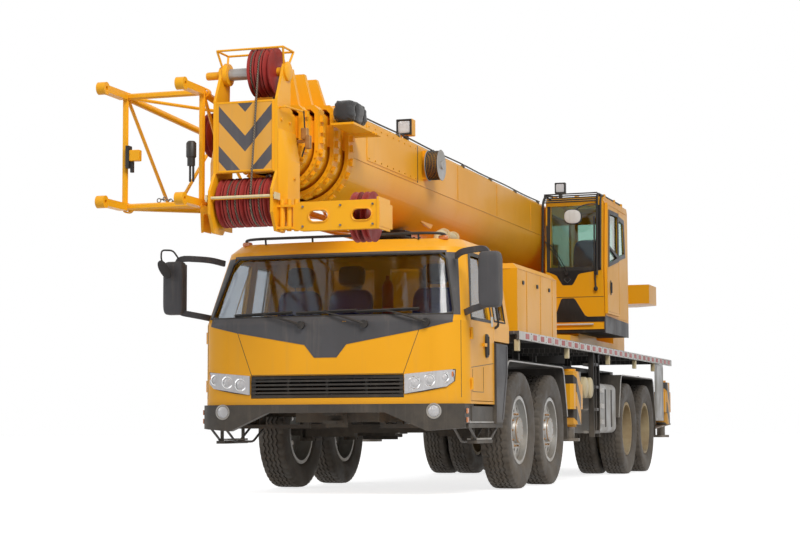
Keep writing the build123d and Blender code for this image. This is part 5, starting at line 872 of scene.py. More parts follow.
class CRANE_OT_tyres(bpy.types.Operator):
    """Stands treaded tyres in place of the plain ones, with nuts and hub caps on the wheels"""

    bl_idname = "crane.tyres"
    bl_label = "Tyres and wheel nuts"

    def execute(self, context):
        sizes = context.scene.crane_tyre
        for number, side, sign in WHEELS:
            tag = f"{number}_{side}"
            low, high = corners(f"tyre_{tag}")
            middle, radius = (low + high) / 2, (high[2] - low[2]) / 2
            single = corners("tyre_1_left")
            width = single[1][0] - single[0][0]
            outer = max(abs(low[0]), abs(high[0])) - width / 2
            inner = min(abs(low[0]), abs(high[0])) + width / 2
            places = {outer, inner} if inner < outer - 0.01 else {outer}
            forms = [
                tyre_form(
                    (sign * x, middle[1], middle[2]), radius - 0.001, width * 0.995, sizes.groove,
                    sizes.zigzag, sizes.rounds
                )
                for x in sorted(places)
            ]
            put(f"tyre_tread_{tag}", f"wheel_{tag}", "tyre_rubber", forms, replaces=(f"tyre_{tag}",))
            steered = number in STEERED_AXLES
            track = sign * outer
            face = track + sign * NUT_FACE[steered]
            hub = track + sign * HUB_FACE[steered]
            metal = "brass" if steered else "steel"
            nuts = nut_ring((face, middle[1], middle[2]), sign, sizes.nuts, NUT_CIRCLE, 0.017, 0.024)
            cap_bolts = nut_ring((
                hub - sign * 0.012, middle[1], middle[2]
            ), sign, 8, CAP_CIRCLE, 0.009, 0.009, 0.2)
            cap = turned(
                [(0, 0.0), (0.128, 0.0), (0.134, -0.006), (0.134, -0.012), (0, -0.012)][::-1],
                (0, 0, 0), "X", 24,
            )
            cap = (cap[0] * (sign, 1, 1) + (hub - sign * 0.011 + sign * 0.006, middle[1], middle[2]), cap[1])
            put(f"wheel_nuts_{tag}", f"wheel_{tag}", metal, [nuts, cap_bolts, cap])
            lip = turned(
                [
                    (0.357, 0.0), (0.3575, 0.006), (0.348, 0.010), (0.342, 0.004), (0.344, -0.004)
                ], (0, 0, 0), "X", 40
            )
            seat = track + sign * LIP_FACE
            lip = (lip[0] * (sign, 1, 1) + (seat + sign * 0.006, middle[1], middle[2]), lip[1])
            put(
                f"rim_lip_{tag}", f"wheel_{tag}", "rim" if steered else "rim_cream", [lip],
            )
        return {"FINISHED"}


# ---------------------------------------------------------------- carrier cab

# the cab's plan: height, half width and front, from the first axle; its corners keep one shape
CAB_RISE = np.array([(0.87, 1.355, -2.24), (1.66, 1.355, -2.24), (2.39, 1.245, -1.91), (2.48, 1.165, -1.81)])
KNEE = (0.33, 0.055)
CORNER = (0.312536, 0.373429, 0.318907)


def cab_half(z):
    """Half the cab's width at a height."""
    return np.interp(z, CAB_RISE[:, 0], CAB_RISE[:, 1])


def cab_y(x, z):
    """Where the cab's front skin lies at a place across and a height.

    Between the knees it is front + sagitta * (x / knee)^2. Beyond them it is an arc of
    the corner's radius about a middle that keeps its place from the cab's own corner.
    """
    x, z = np.broadcast_arrays(np.abs(np.asarray(x, float)), np.asarray(z, float))
    half, front = cab_half(z), np.interp(z, CAB_RISE[:, 0], CAB_RISE[:, 2])
    knee = half - KNEE[0]
    in_x, in_y, radius = CORNER
    under = np.maximum(radius**2 - (x - half + in_x) ** 2, 0.0)
    arc = front + in_y - np.sqrt(under)
    return fore(np.where(x < knee, front + KNEE[1] * (x / knee) ** 2, arc))


def sheet_on(outer, inner):
    """A closed sheet between two grids of points, (rows, columns, 3)."""
    edges = []
    for pick in (lambda g: g[0], lambda g: g[-1], lambda g: g[:, 0], lambda g: g[:, -1]):
        edges.append(lattice(np.stack([pick(outer), pick(inner)])))
    return joined([lattice(outer), lattice(inner), *edges])


def front_patch(x, z, out=0.004, sunk=0.003):
    """A thin sheet on the cab's front skin over grids of places across and heights."""
    x, z = np.broadcast_arrays(np.asarray(x, float), np.asarray(z, float))
    y = cab_y(x, z)
    return sheet_on(np.stack([x, y - out, z], axis=-1), np.stack([x, y + sunk, z], axis=-1))


def side_patch(y, z, sign, out=0.004, sunk=0.003):
    """A thin sheet on the cab's straight side over grids of places along and heights."""
    y, z = np.broadcast_arrays(np.asarray(y, float), np.asarray(z, float))
    half = cab_half(z)
    near = np.stack([sign * (half + out), y, z], axis=-1)
    return sheet_on(near, np.stack([sign * (half - sunk), y, z], axis=-1))


def front_line(points, radius, out=0.0, sides=6, steps=12):
    """A round bar on the cab's front skin through points of (across, height)."""
    points = np.asarray(points, float)
    share = np.linspace(0, len(points) - 1, steps * (len(points) - 1) + 1)
    x = np.interp(share, np.arange(len(points)), points[:, 0])
    z = np.interp(share, np.arange(len(points)), points[:, 1])
    return tube(np.stack([x, cab_y(x, z) - out, z], axis=1), radius, sides)


def side_line(points, sign, radius, out=0.0, sides=6, steps=6):
    """A round bar on the cab's side through points of (along, height)."""
    points = np.asarray(points, float)
    share = np.linspace(0, len(points) - 1, steps * (len(points) - 1) + 1)
    y = np.interp(share, np.arange(len(points)), points[:, 0])
    z = np.interp(share, np.arange(len(points)), points[:, 1])
    return tube(np.stack([sign * (cab_half(z) + out), y, z], axis=1), radius, sides)


def power(value, sharp):
    """The size of a value raised to a power, with the value's sign kept."""
    return np.sign(value) * np.abs(value) ** sharp


def pillow(centre, size, sharp=0.4, rows=16, columns=32, turn=None):
    """A crowned closed form: signed powers of a sphere's sines and cosines, times half its size."""
    rise = np.linspace(-np.pi / 2, np.pi / 2, rows)[:, None]
    round_ = (np.arange(columns) * 2 * np.pi / columns)[None]

    out = power(np.cos(rise), sharp)
    up = np.broadcast_to(power(np.sin(rise), sharp), (rows, columns))
    form = [out * power(np.cos(round_), sharp), out * power(np.sin(round_), sharp), up]
    points = np.stack(form, axis=-1) * np.asarray(size, float) / 2
    if turn is not None:
        points = points @ np.asarray(turn).T
    return lattice(points + np.asarray(centre, float), wrap_v=True)


def hoop(centre, radius, thick, axis="Z", steps=32, sides=8, tilt=None):
    """A ring of round bar."""
    flat = ring(thick, sides)
    shape = turned(np.stack([radius + flat[:, 0], flat[:, 1]], axis=1), (0, 0, 0), axis, steps)
    points = shape[0] if tilt is None else shape[0] @ np.asarray(tilt).T
    return points + np.asarray(centre, float), shape[1]


SURROUND = (1.712, 2.332)  # the windscreen surround's foot and top
SCREEN = ((1.710, 1.240), (2.330, 1.090))  # the windscreen's opening: height, half width
HOOD_LINE = np.array([
    (0.0, 1.317), (0.115, 1.317), (0.215, 1.441), (0.927, 1.567), (1.207, 1.632), (1.30, 1.655)
])


def screen_half(z):
    """Half the windscreen's width at a height."""
    return np.interp(z, [SCREEN[0][0], SCREEN[1][0]], [SCREEN[0][1], SCREEN[1][1]])


class CraneCabSizes(bpy.types.PropertyGroup):
    """The carrier cab's trim."""

    seam: bpy.props.FloatProperty(
        name="Seam", description="Radius of the panel gaps", default=0.0028, unit="LENGTH"
    )
    rubber: bpy.props.FloatProperty(name="Window rubber", description="Radius", default=0.011, unit="LENGTH")
    blade: bpy.props.FloatProperty(name="Wiper blade", description="Length", default=0.62, unit="LENGTH")
    seat_tilt: bpy.props.FloatProperty(
        name="Seat back", description="Lean", default=0.2, subtype="ANGLE", unit="ROTATION"
    )


class CRANE_OT_cab(bpy.types.Operator):
    """Trims the carrier cab: screen surround, seams, wipers, headlamps, door panes, rails and steps"""

    bl_idname = "crane.cab"
    bl_label = "Carrier cab"

    def execute(self, context):
        sizes = context.scene.crane_cab
        x_low = np.unique(np.concatenate([
            np.linspace(-1.24, 1.24, 65), HOOD_LINE[:-1, 0], -HOOD_LINE[:-1, 0]
        ]))
        under = np.interp(np.abs(x_low), HOOD_LINE[:, 0], HOOD_LINE[:, 1])
        share = np.linspace(0, 1, 9)[:, None]
        band = front_patch(x_low[None], under + share * (SURROUND[0] - under))
        z_side = np.linspace(*SURROUND, 17)
        edge = screen_half(z_side)
        pillars = []
        for _, sign in SIDES:
            outer = cab_half(z_side) - np.interp(z_side, SURROUND, (0.055, 0.062))
            x = edge + np.linspace(0, 1, 5)[:, None] * (outer - edge)
            pillars.append(front_patch(sign * x, z_side[None]))
        x_top = np.linspace(-1.10, 1.10, 41)
        top = front_patch(x_top[None], np.linspace(2.328, 2.352, 3)[:, None])
        put("screen_surround", "carrier", "grey_trim", [band, *pillars, top])
        rim = [(-1.225, 1.725), (-1.228, 1.76), (-1.105, 2.27), (-1.04, 2.322), (1.04, 2.322), (1.105, 2.27)]
        rim += [(1.228, 1.76), (1.225, 1.725), (1.15, 1.715), (-1.15, 1.715), (-1.225, 1.725)]
        put("screen_rubber", "carrier", "dark_trim", [front_line(rim, sizes.rubber, -0.004, 8, 10)])

        seams = []
        for _, sign in SIDES:
            seams.append(front_line([(sign * 0.927, 1.567), (sign * 0.774, 1.155)], sizes.seam))
            seams.append(front_line([(sign * 1.3, 1.66), (sign * 1.301, 0.93)], sizes.seam))
        seams.append(front_line([(-0.78, 1.156), (0.78, 1.156)], sizes.seam))
        put("front_seams", "carrier", "dark_trim", seams)

        wipers = []
        for pivot, tip in (
            ((-0.241, 1.632), (-0.66, 1.745)), ((0.399, 1.632), (0.0, 1.752)), ((1.004, 1.64), (0.61, 1.757))
        ):
            start = np.array([pivot[0], cab_y(*pivot) - 0.03, pivot[1]])
            end = np.array([tip[0], cab_y(*tip) - 0.028, tip[1]])
            wipers.append(turned([
                (0, 0.03), (0.032, 0.03), (0.038, 0.012), (0.038, -0.028), (0, -0.028)
            ], start + (0, 0.012, 0), "Y", 14))
            share = np.linspace(0, 1, 10)[:, None]
            path = start + share * (end - start) + (0, -0.03, 0.008) * np.sin(share * np.pi)
            wipers.append(carry(ring(1.0, 8)[::-1] * (0.017, 0.011), path, scale=np.linspace(1.25, 0.6, 10)))
            along = np.linspace(-0.5, 0.5, 9) * sizes.blade
            x = end[0] + along * 0.99
            z = end[2] + along * 0.03 + 0.004
            blade = np.stack([x, cab_y(x, z) - 0.012, z], axis=1)
            wipers.append(carry(ring(1.0, 6)[::-1] * (0.016, 0.008), blade, (0, -1, 0)))
            wipers.append(carry(ring(1.0, 6)[::-1] * (0.006, 0.010), blade + (0, -0.016, 0.004), (0, -1, 0)))
        put("wipers", "carrier", "dark_trim", wipers)

        for side, sign in SIDES:
            outline = np.array([
                (0.79, 0.968), (0.95, 0.985), (1.10, 1.012), (1.19, 1.035), (1.252, 1.085), (1.258, 1.185)
            ])
            upper = np.array([
                (0.79, 1.142), (0.95, 1.158), (1.10, 1.173), (1.19, 1.182), (1.24, 1.187), (1.258, 1.19)
            ])
            share = np.linspace(0, 1, 5)[:, None]
            x = np.broadcast_to(outline[None, :, 0], (5, 6))
            z = outline[None, :, 1] + share * (upper[None, :, 1] - outline[None, :, 1])
            put(f"headlamp_body_{side}", "carrier", "lamp_chrome", [front_patch(sign * x, z, 0.006, 0.004)])
            rings, bowls = [], []
            for cx, cz, size in ((0.885, 1.065, 0.058), (1.03, 1.09, 0.055), (1.165, 1.115, 0.048)):
                place = np.array([sign * cx, cab_y(cx, cz) - 0.012, cz])
                rings.append(hoop(place, size, 0.008, "Y", 28, 8))
                bowls.append(turned([
                    (0, -0.016), (size * 0.4, -0.013), (size * 0.72, -0.003), (size * 0.75, 0.01), (0, 0.01)
                ], place, "Y", 24))
            put(f"headlamp_rings_{side}", "carrier", "rod_chrome", rings)
            put(f"headlamp_bowls_{side}", "carrier", "clear_lens", bowls)
            amber = pillow((
                sign * 1.225, cab_y(1.225, 1.145) - 0.004, 1.145
            ), (0.045, 0.03, 0.06), 0.5, 10, 20)
            put(f"turn_lamp_{side}", "carrier", "amber_lens", [amber])
            frame_line = [(sign * a, b) for a, b in (*outline, *upper[::-1], outline[0])]
            put(
                f"headlamp_edge_{side}", "carrier", "dark_trim", [front_line(frame_line, 0.005, 0.004, 6, 3)]
            )
            fog = np.array([sign * 1.075, fore(-2.21), 0.80])
            put(f"fog_bezel_{side}", "carrier", "silver", [hoop(fog, 0.066, 0.010, "Y", 28, 8)])
            put(
                f"fog_lamp_{side}", "carrier", "clear_lens",
                [turned([
                    (0, -0.02), (0.03, -0.017), (0.055, -0.004), (0.062, 0.02), (0, 0.02)
                ], fog, "Y", 28)],
            )
            markers = blocks(aft([
                (sign * 1.352, -2.02, 0.80), (sign * 1.352, -2.02, 0.715)
            ]), (0.012, 0.055, 0.05))
            put(f"side_markers_{side}", "carrier", "amber_lens", [markers], 0.004)
            plate = blocks(aft([(sign * (cab_half(1.688) + 0.004), -1.12, 1.688)]), (0.008, 0.07, 0.10))
            put(f"door_marker_{side}", f"cab_door_{side}", "white", [plate], 0.003)

            door = f"cab_door_{side}"
            rows = np.linspace(1.70, 2.315, 7)[:, None]
            front_edge = np.interp(rows, (1.70, 1.75, 2.315), (-1.835, -1.835, -1.565))
            columns = np.linspace(0, 1, 7)[None]
            y = fore(front_edge + columns * (-1.14 - front_edge))
            put(f"door_pane_{side}", door, "cab_glass", [side_patch(y, rows, sign, -0.022, 0.028)])
            frame_points = [
                (-1.885, 1.672), (-1.885, 1.74), (-1.625, 2.352), (-1.10, 2.352), (-1.10, 1.672),
                (-1.885, 1.672)
            ]
            inner_points = [
                (-1.835, 1.70), (-1.835, 1.75), (-1.565, 2.315), (-1.142, 2.315), (-1.142, 1.70),
                (-1.835, 1.70)
            ]
            outer_grid = np.array([[
                (fore(a), b) for a, b in frame_points
            ], [(fore(a), b) for a, b in inner_points]])
            fine = np.linspace(0, 5, 26)
            dense = np.stack([[
                np.interp(fine, np.arange(6), row[:, k]) for k in (0, 1)
            ] for row in outer_grid]).transpose(0, 2, 1)
            put(f"door_frame_{side}", door, "dark_trim", [side_patch(
                dense[..., 0], dense[..., 1], sign, 0.004, 0.03
            )])
            handle = pillow((sign * 1.357, fore(-1.345), 1.44), (0.05, 0.105, 0.235), 0.55, 12, 24)
            grip = tube(np.array([
                (sign * 1.378, fore(-1.345), z) for z in (1.35, 1.40, 1.48, 1.53)
            ]), 0.011, 8)
            put(f"door_handle_{side}", door, "dark_trim", [handle, grip])
            lines = [[
                (fore(-1.897), 1.215), (fore(-1.08), 1.275)
            ], [(fore(-1.85), 1.2), (fore(-1.85), 0.985), (fore(-1.46), 0.985), (fore(-1.46), 1.225)]]
            put(f"door_seams_{side}", door, "dark_trim", [
                side_line(line, sign, sizes.seam) for line in lines
            ])

            grab = rounded(aft([
                (sign * 1.30, -1.02, 1.62), (sign * 1.40, -1.02, 1.64), (sign * 1.31, -0.98, 2.2),
                (sign * 1.24, -0.98, 2.2)
            ]), 0.05)
            put(f"grab_rail_{side}", "carrier", "dark_trim", [tube(grab, 0.013, 8)])
            quarter = [(-1.02, 1.70), (-0.60, 1.70), (-0.60, 2.31), (-1.02, 2.31), (-1.02, 1.70)]
            put(
                f"quarter_rubber_{side}", "carrier", "dark_trim",
                [side_line(aft(quarter), sign, 0.01, 0.0, 6, 4)]
            )

            box = blocks(aft([(sign * 1.25, -1.45, 0.77)]), (0.19, 0.80, 0.16))
            put(f"step_box_{side}", "carrier", "dark_trim", [box], 0.01)
            treads = [blocks(aft([(sign * 1.285, -1.36, 0.693)]), (0.125, 1.16, 0.018))]
            ribs = np.arange(-1.9, -0.84, 0.035)
            treads.append(blocks(np.stack([
                np.full(len(ribs), sign * 1.285), fore(ribs), np.full(len(ribs), 0.705)
            ], axis=1), (0.11, 0.014, 0.008)))
            treads.append(blocks(aft([(sign * 1.30, -1.42, 0.532)]), (0.10, 0.54, 0.018)))
            put(f"step_treads_{side}", "carrier", "silver", treads, 0.002)
            rods = []
            for x in (1.18, 1.335):
                path = [
                    (sign * x, fore(-1.93), 0.66), (sign * x, fore(-1.64), 0.508),
                    (sign * x, fore(-1.18), 0.508), (sign * x, fore(-0.86), 0.66)
                ]
                rods.append(tube(rounded(path, 0.05), 0.012, 8))
            put(f"step_rods_{side}", "carrier", "grey_trim", rods)

        rail = rounded(aft([
            (-1.02, -1.60, 2.478), (-1.06, -1.72, 2.525), (-0.9, -1.795, 2.53), (0.9, -1.795, 2.53),
            (1.06, -1.72, 2.525), (1.02, -1.60, 2.478)
        ]), 0.12)
        posts = bars(aft([
            (x, -1.78, 2.47) for x in (-0.8, -0.3, 0.3, 0.8)
        ]), aft([(x, -1.79, 2.53) for x in (-0.8, -0.3, 0.3, 0.8)]), 0.010, 6)
        put("roof_rail", "carrier", "dark_trim", [tube(rail, 0.014, 8), posts])
        put(
            "roof_markers", "carrier", "amber_lens",
            [pillow((x, fore(-1.70), 2.487), (0.10, 0.07, 0.05), 0.6, 8, 16) for x in (-1.03, 1.03)],
        )

        inside = []
        inside.append(slab(aft([
            (-2.07, 1.25), (-1.80, 1.30), (-1.80, 1.52), (-1.87, 1.60), (-2.04, 1.615)
        ]), -1.22, 1.22))
        inside.append(slab(aft([(-2.0, 0.93), (-1.06, 0.93), (-1.06, 0.96), (-2.0, 0.96)]), -1.28, 1.28))
        shelf = (
            (-1.29, 0.96), (-0.80, 0.96), (-0.72, 1.30), (-0.51, 1.32), (-0.51, 1.56), (-1.26, 1.585),
            (-1.29, 1.55)
        )
        inside.append(slab(aft(shelf), -1.28, 1.28))
        inside.append(slab(aft([(-1.95, 1.60), (-1.83, 1.60), (-1.84, 1.72), (-1.93, 1.70)]), 0.5, 0.9))
        put("cab_lining", "carrier", "interior", inside, 0.02, replaces=("cab_interior",))
        tilt = turn_matrix("X", np.radians(25))
        wheel = [hoop(
            (0.70, fore(-1.69), 1.628), 0.225, 0.015, "Z", 40, 10, tilt
        ), pillow((0.70, fore(-1.69), 1.622), (0.14, 0.14, 0.05), 0.7, 10, 20, tilt)]
        for angle in (0.3, 2.8, 4.71):
            arm = tilt @ np.array([np.cos(angle), np.sin(angle), 0]) * 0.215
            wheel.append(bars(aft([(0.70, -1.69, 1.622)]), [
                np.array([0.70, fore(-1.69), 1.628]) + arm
            ], 0.011, 8))
        wheel.append(bars(aft([(0.70, -1.86, 1.30)]), aft([(0.70, -1.70, 1.61)]), 0.03, 12))
        put("steering_wheel", "carrier", "dark_trim", wheel)
        for number, x in enumerate((-0.70, -0.14, 0.76)):
            lean = turn_matrix("X", -sizes.seat_tilt)
            seat = put(f"seat_cushion_{number}", "carrier", "seat_cloth", [pillow(
                (x, fore(-1.40), 1.28), (0.47, 0.44, 0.15), 0.35
            )])
            back = put(f"seat_back_{number}", "carrier", "seat_cloth", [pillow(
                (x, fore(-1.12), 1.72), (0.46, 0.14, 0.66), 0.35, turn=lean
            )])
            head = put(f"headrest_{number}", "carrier", "head_cloth", [pillow(
                (x, fore(-1.06), 2.19), (0.27, 0.12, 0.20), 0.4, turn=lean
            )])
            posts = bars(aft([
                (x - 0.06, -1.07, 1.98), (x + 0.06, -1.07, 1.98)
            ]), aft([(x - 0.06, -1.06, 2.15), (x + 0.06, -1.06, 2.15)]), 0.007, 8)
            base = blocks(aft([(x, -1.40, 1.16)]), (0.40, 0.36, 0.14))
            put(f"seat_frame_{number}", "carrier", "seat_frame", [posts, base], 0.01)
        bottle = turned([
            (0, -0.20), (0.055, -0.20), (0.06, -0.17), (0.06, 0.13), (0.04, 0.18), (0.02, 0.2), (0.02, 0.24),
            (0, 0.24)
        ], (0.10, fore(-0.62), 1.98), "Z", 20)
        put("fire_extinguisher", "carrier", "red", [bottle])
        return {"FINISHED"}


# ---------------------------------------------------------------- boom, head and jib

SEAM = 3.170  # height of the boom sections' widest line
FRONTS = (-2.85, -3.135, -3.42, -3.705)  # where the collars of sections 1 to 4 begin
SECTION_BODIES = ("boom", "boom_2", "boom_3", "boom_4")
UPPER_SHEAVE = (-4.010, 3.750)  # along and height
LOWER_SHEAVE = (-4.085, 2.600)
ROPE_RUN = 0.198  # from a sheave's middle to the rope in its groove
ROPE_POINTS = 24  # along the rope's way round a sheave
BASE_HALF, SECTION_STEP = 0.430, 0.043  # the base section's half width, and how much each next one is less
COLLAR_LUG = 0.46  # the lugs on the collars' tops, over the widest line


def section_half(number):
    """Half the width of a boom section, counted from 0 at the base."""
    return BASE_HALF - SECTION_STEP * number


def frame_bar(corner_points, radius, sides=8):
    """A closed frame of round bar through corners."""
    ends = np.asarray(corner_points, float)
    return bars(ends, np.roll(ends, -1, axis=0), radius, sides)


def flat_band(outline, width, low, high, axis="X"):
    """A flat frame: the outline less the same outline drawn in towards its middle by a width."""
    outline = np.asarray(outline, float)
    middle = outline.mean(axis=0)
    reach = np.linalg.norm(outline - middle, axis=1)[:, None]
    inner = middle + (outline - middle) * (1 - width / reach)
    first, second, along = AXES[axis]

    def placed(points, place):
        return points[:, :1] * first + points[:, 1:] * second + along * place

    rows = [placed(outline, low), placed(outline, high), placed(inner, high), placed(inner, low)]
    return lattice(np.stack(rows), wrap_u=True, wrap_v=True)


def bolt_heads(places, axis, radius=0.011, height=0.010):
    """Hexagon bolt heads at each place, standing out along an axis."""
    head = turned([
        (0, -height), (radius, -height), (radius, height * 0.8), (radius * 0.8, height), (0, height)
    ], (0, 0, 0), axis, 6)
    return copies(head, places)


def arc_points(middle, radius, start, stop, across):
    """Points round a sheave in the plane across X, from one turn to another, in degrees."""
    turn = np.radians(np.linspace(start, stop, ROPE_POINTS))
    along = fore(middle[0]) + np.cos(turn) * radius
    return np.stack([np.full(ROPE_POINTS, across), along, middle[1] + np.sin(turn) * radius], axis=1)


class CraneBoomSizes(bpy.types.PropertyGroup):
    """The boom, its head and its fittings."""

    rope: bpy.props.FloatProperty(
        name="Rope", description="Radius of the hoist rope", default=0.009, unit="LENGTH"
    )
    clamp_turn: bpy.props.FloatProperty(
        name="Clamp spacing", description="Turn between the clamp blocks of a collar",
        default=np.radians(16),
        subtype="ANGLE",
    )
    bolts: bpy.props.IntProperty(name="Cover bolts", description="Along the side cover", default=9, min=2)


class CRANE_OT_head(bpy.types.Operator):
    """Builds the boom head's striped plate, guards, rope and side arm fittings"""

    bl_idname = "crane.head"
    bl_label = "Boom head"

    def execute(self, context):
        sizes = context.scene.crane_boom
        body = "boom_5"
        front = fore(-4.234)
        x, z = np.broadcast_arrays(
            np.linspace(-0.246, 0.246, 2)[None], np.linspace(2.862, 3.458, 2)[:, None]
        )
        skin = sheet_on(np.stack(
            [x, np.full(x.shape, front - 0.003), z], -1
        ), np.stack([x, np.full(x.shape, front + 0.002), z], -1))
        put("head_chevrons", body, "chevron_bands", [skin])
        edge = [(3.466, -0.262), (3.466, 0.262), (2.852, 0.262), (2.852, -0.262)]
        put("head_plate_rim", body, "paint", [flat_band(
            edge, 0.02, front - 0.006, front + 0.003, "Y"
        )], 0.002)

        folded = []
        plan = np.array([(0.301, -4.225), (0.362, -4.15), (0.362, -3.86), (0.301, -3.80)])
        flat = np.array([(0.301, -4.225), (0.306, -4.15), (0.306, -3.86), (0.301, -3.80)])
        grid = []
        for height, line in ((3.22, flat), (2.95, plan), (2.42, plan), (2.37, flat)):
            grid.append(np.stack([line[:, 0], fore(line[:, 1]), np.full(4, height)], axis=1))
        folded.append(lattice(np.stack(grid), wrap_v=True, cap_u=True))
        folded.append(mirrored(folded[0]))
        put("head_side_plates", body, "paint", folded, 0.006)
        marks = [
            (0.366, fore(-4.0), z) for z in (2.52, 2.80)
        ] + [(0.303, fore(y), 3.30) for y in (-4.15, -3.95)]
        bolts = bolt_heads(marks, "X", 0.014, 0.012)
        put("head_bolts", body, "paint_dusty", both(bolts))

        guard = [
            bars(aft([(-0.31, -4.327, 2.622)]), aft([(0.31, -4.327, 2.622)]), 0.013, 12),
            blocks(aft([(sign * 0.318, -4.29, 2.62) for sign in (-1, 1)]), (0.016, 0.11, 0.06)),
        ]
        put("lower_sheave_bar", body, "cream", guard, 0.003)
        top, y_front, y_back = 3.944, fore(-4.135), fore(-3.885)
        frame_points = [
            (-0.31, y_front, top), (0.31, y_front, top), (0.31, y_back, top), (-0.31, y_back, top)
        ]
        posts = bars(
            aft([(sign * 0.288, y, 3.80) for sign in (-1, 1) for y in (-4.06, -3.96)]),
            [(sign * 0.31, y, top) for sign in (-1, 1) for y in (y_front, y_back)], 0.010, 8,
        )
        put("upper_sheave_guard", body, "paint", [frame_bar(frame_points, 0.010), posts])
        y, z = fore(UPPER_SHEAVE[0]), UPPER_SHEAVE[1]
        put("upper_shaft", body, "silver", [turned([
            (0.041, -0.235), (0.052, -0.235), (0.052, -0.004), (0.041, -0.004)
        ], (0, y, z), "X", 24)], 0.003)
        bosses = [turned([
            (0.041, -0.275), (0.105, -0.275), (0.098, -0.238), (0.041, -0.235)
        ], (0, y, z), "X", 28)]
        bosses.append(turned([
            (0, -0.46), (0.032, -0.46), (0.036, -0.45), (0.036, -0.325), (0.075, -0.322), (0.075, -0.301),
            (0, -0.301)
        ], (0, y, z), "X", 24))
        bosses.append(turned([
            (0, 0.301), (0.085, 0.301), (0.085, 0.318), (0.05, 0.33), (0, 0.33)
        ], (0, y, z), "X", 24))
        put("upper_bosses", body, "paint", bosses, 0.003)

        rope = [tube(np.vstack([
            arc_points(UPPER_SHEAVE, ROPE_RUN, 0, 168, 0.11), [(0.108, fore(-4.248), 3.47)],
            arc_points(LOWER_SHEAVE, ROPE_RUN + 0.009, 172, 350, 0.073)
        ]), sizes.rope, 8, (1, 0, 0))]
        rope += [hoop((
            x, fore(LOWER_SHEAVE[0]), LOWER_SHEAVE[1]
        ), ROPE_RUN, sizes.rope, "X", 48, 8) for x in (-0.146, -0.073, 0.146)]
        rope.append(hoop((0.037, y, z), ROPE_RUN, sizes.rope, "X", 48, 8))
        put("hoist_rope", body, "rope", rope)
        sockets = blocks(aft([(0.11, -3.812, 3.60), (0.073, -3.878, 2.70)]), (0.04, 0.045, 0.34))
        put("rope_sockets", body, "steel", [sockets], 0.008)

        lug = [slab([
            (2.575, -0.30), (2.575, -0.41), (2.55, -0.436), (2.36, -0.425), (2.345, -0.405), (2.50, -0.40),
            (2.52, -0.30)
        ], fore(-4.20), fore(-4.02), "Y")]
        lug.append(bars(aft([(-0.418, -4.19, 2.34)]), aft([(-0.43, -4.19, 2.60)]), 0.012, 8))
        put("head_lug", body, "paint", lug, 0.006)
        valves = blocks(aft([(0.40, -3.84, 3.22), (0.44, -3.86, 3.14), (0.37, -3.80, 3.16)]), [
            (0.06, 0.06, 0.10), (0.05, 0.05, 0.12), (0.12, 0.03, 0.03)
        ])
        put("head_valves", body, "brass", [valves], 0.010)
        dark = bars(aft([
            (0.40, -3.84, 3.26), (0.37, -3.83, 3.02)
        ]), aft([(0.395, -3.85, 3.42), (0.41, -3.86, 3.10)]), 0.007, 8)
        put("head_valve_rods", body, "dark_trim", [dark])
        rail = tube(rounded(aft([
            (0.30, -4.19, 3.40), (0.35, -4.20, 3.41), (0.355, -3.74, 3.43)
        ]), 0.05), 0.009, 8)
        put("head_side_rail", body, "paint", [rail])

        places = ((0.335, -4.215), (0.395, -4.20), (0.452, -4.175))
        arm = [bars(
            aft([(x, y, 2.325) for x, y in places]), aft([(x, y, 2.60) for x, y in places]), 0.021, 12
        )]
        middle = 2.446
        for x in (0.66, 1.05):
            turn = np.linspace(-np.pi / 2, np.pi / 2, 10)
            right = np.stack([
                x + 0.04 + 0.052 * np.cos(turn), np.full(10, fore(-4.203)), middle + 0.052 * np.sin(turn)
            ], 1)
            left = np.stack([
                x - 0.04 - 0.052 * np.cos(turn), np.full(10, fore(-4.203)), middle - 0.052 * np.sin(turn)
            ], 1)
            path = np.vstack([right, left])
            arm.append(bars(path, np.roll(path, -1, axis=0), 0.007, 6))
        arm.append(slab([
            (2.32, 1.188), (2.32, 1.206), (2.59, 1.206), (2.59, 1.188)
        ], fore(-4.21), fore(-3.90), "Y"))
        put("arm_fittings", body, "paint", arm, 0.002)
        ends = [(x, fore(-4.205), z) for x in (0.52, 0.86, 1.15) for z in (2.36, 2.53)]
        put("arm_bolts", body, "steel", [bolt_heads(ends, "Y", 0.010, 0.008)])
        return {"FINISHED"}


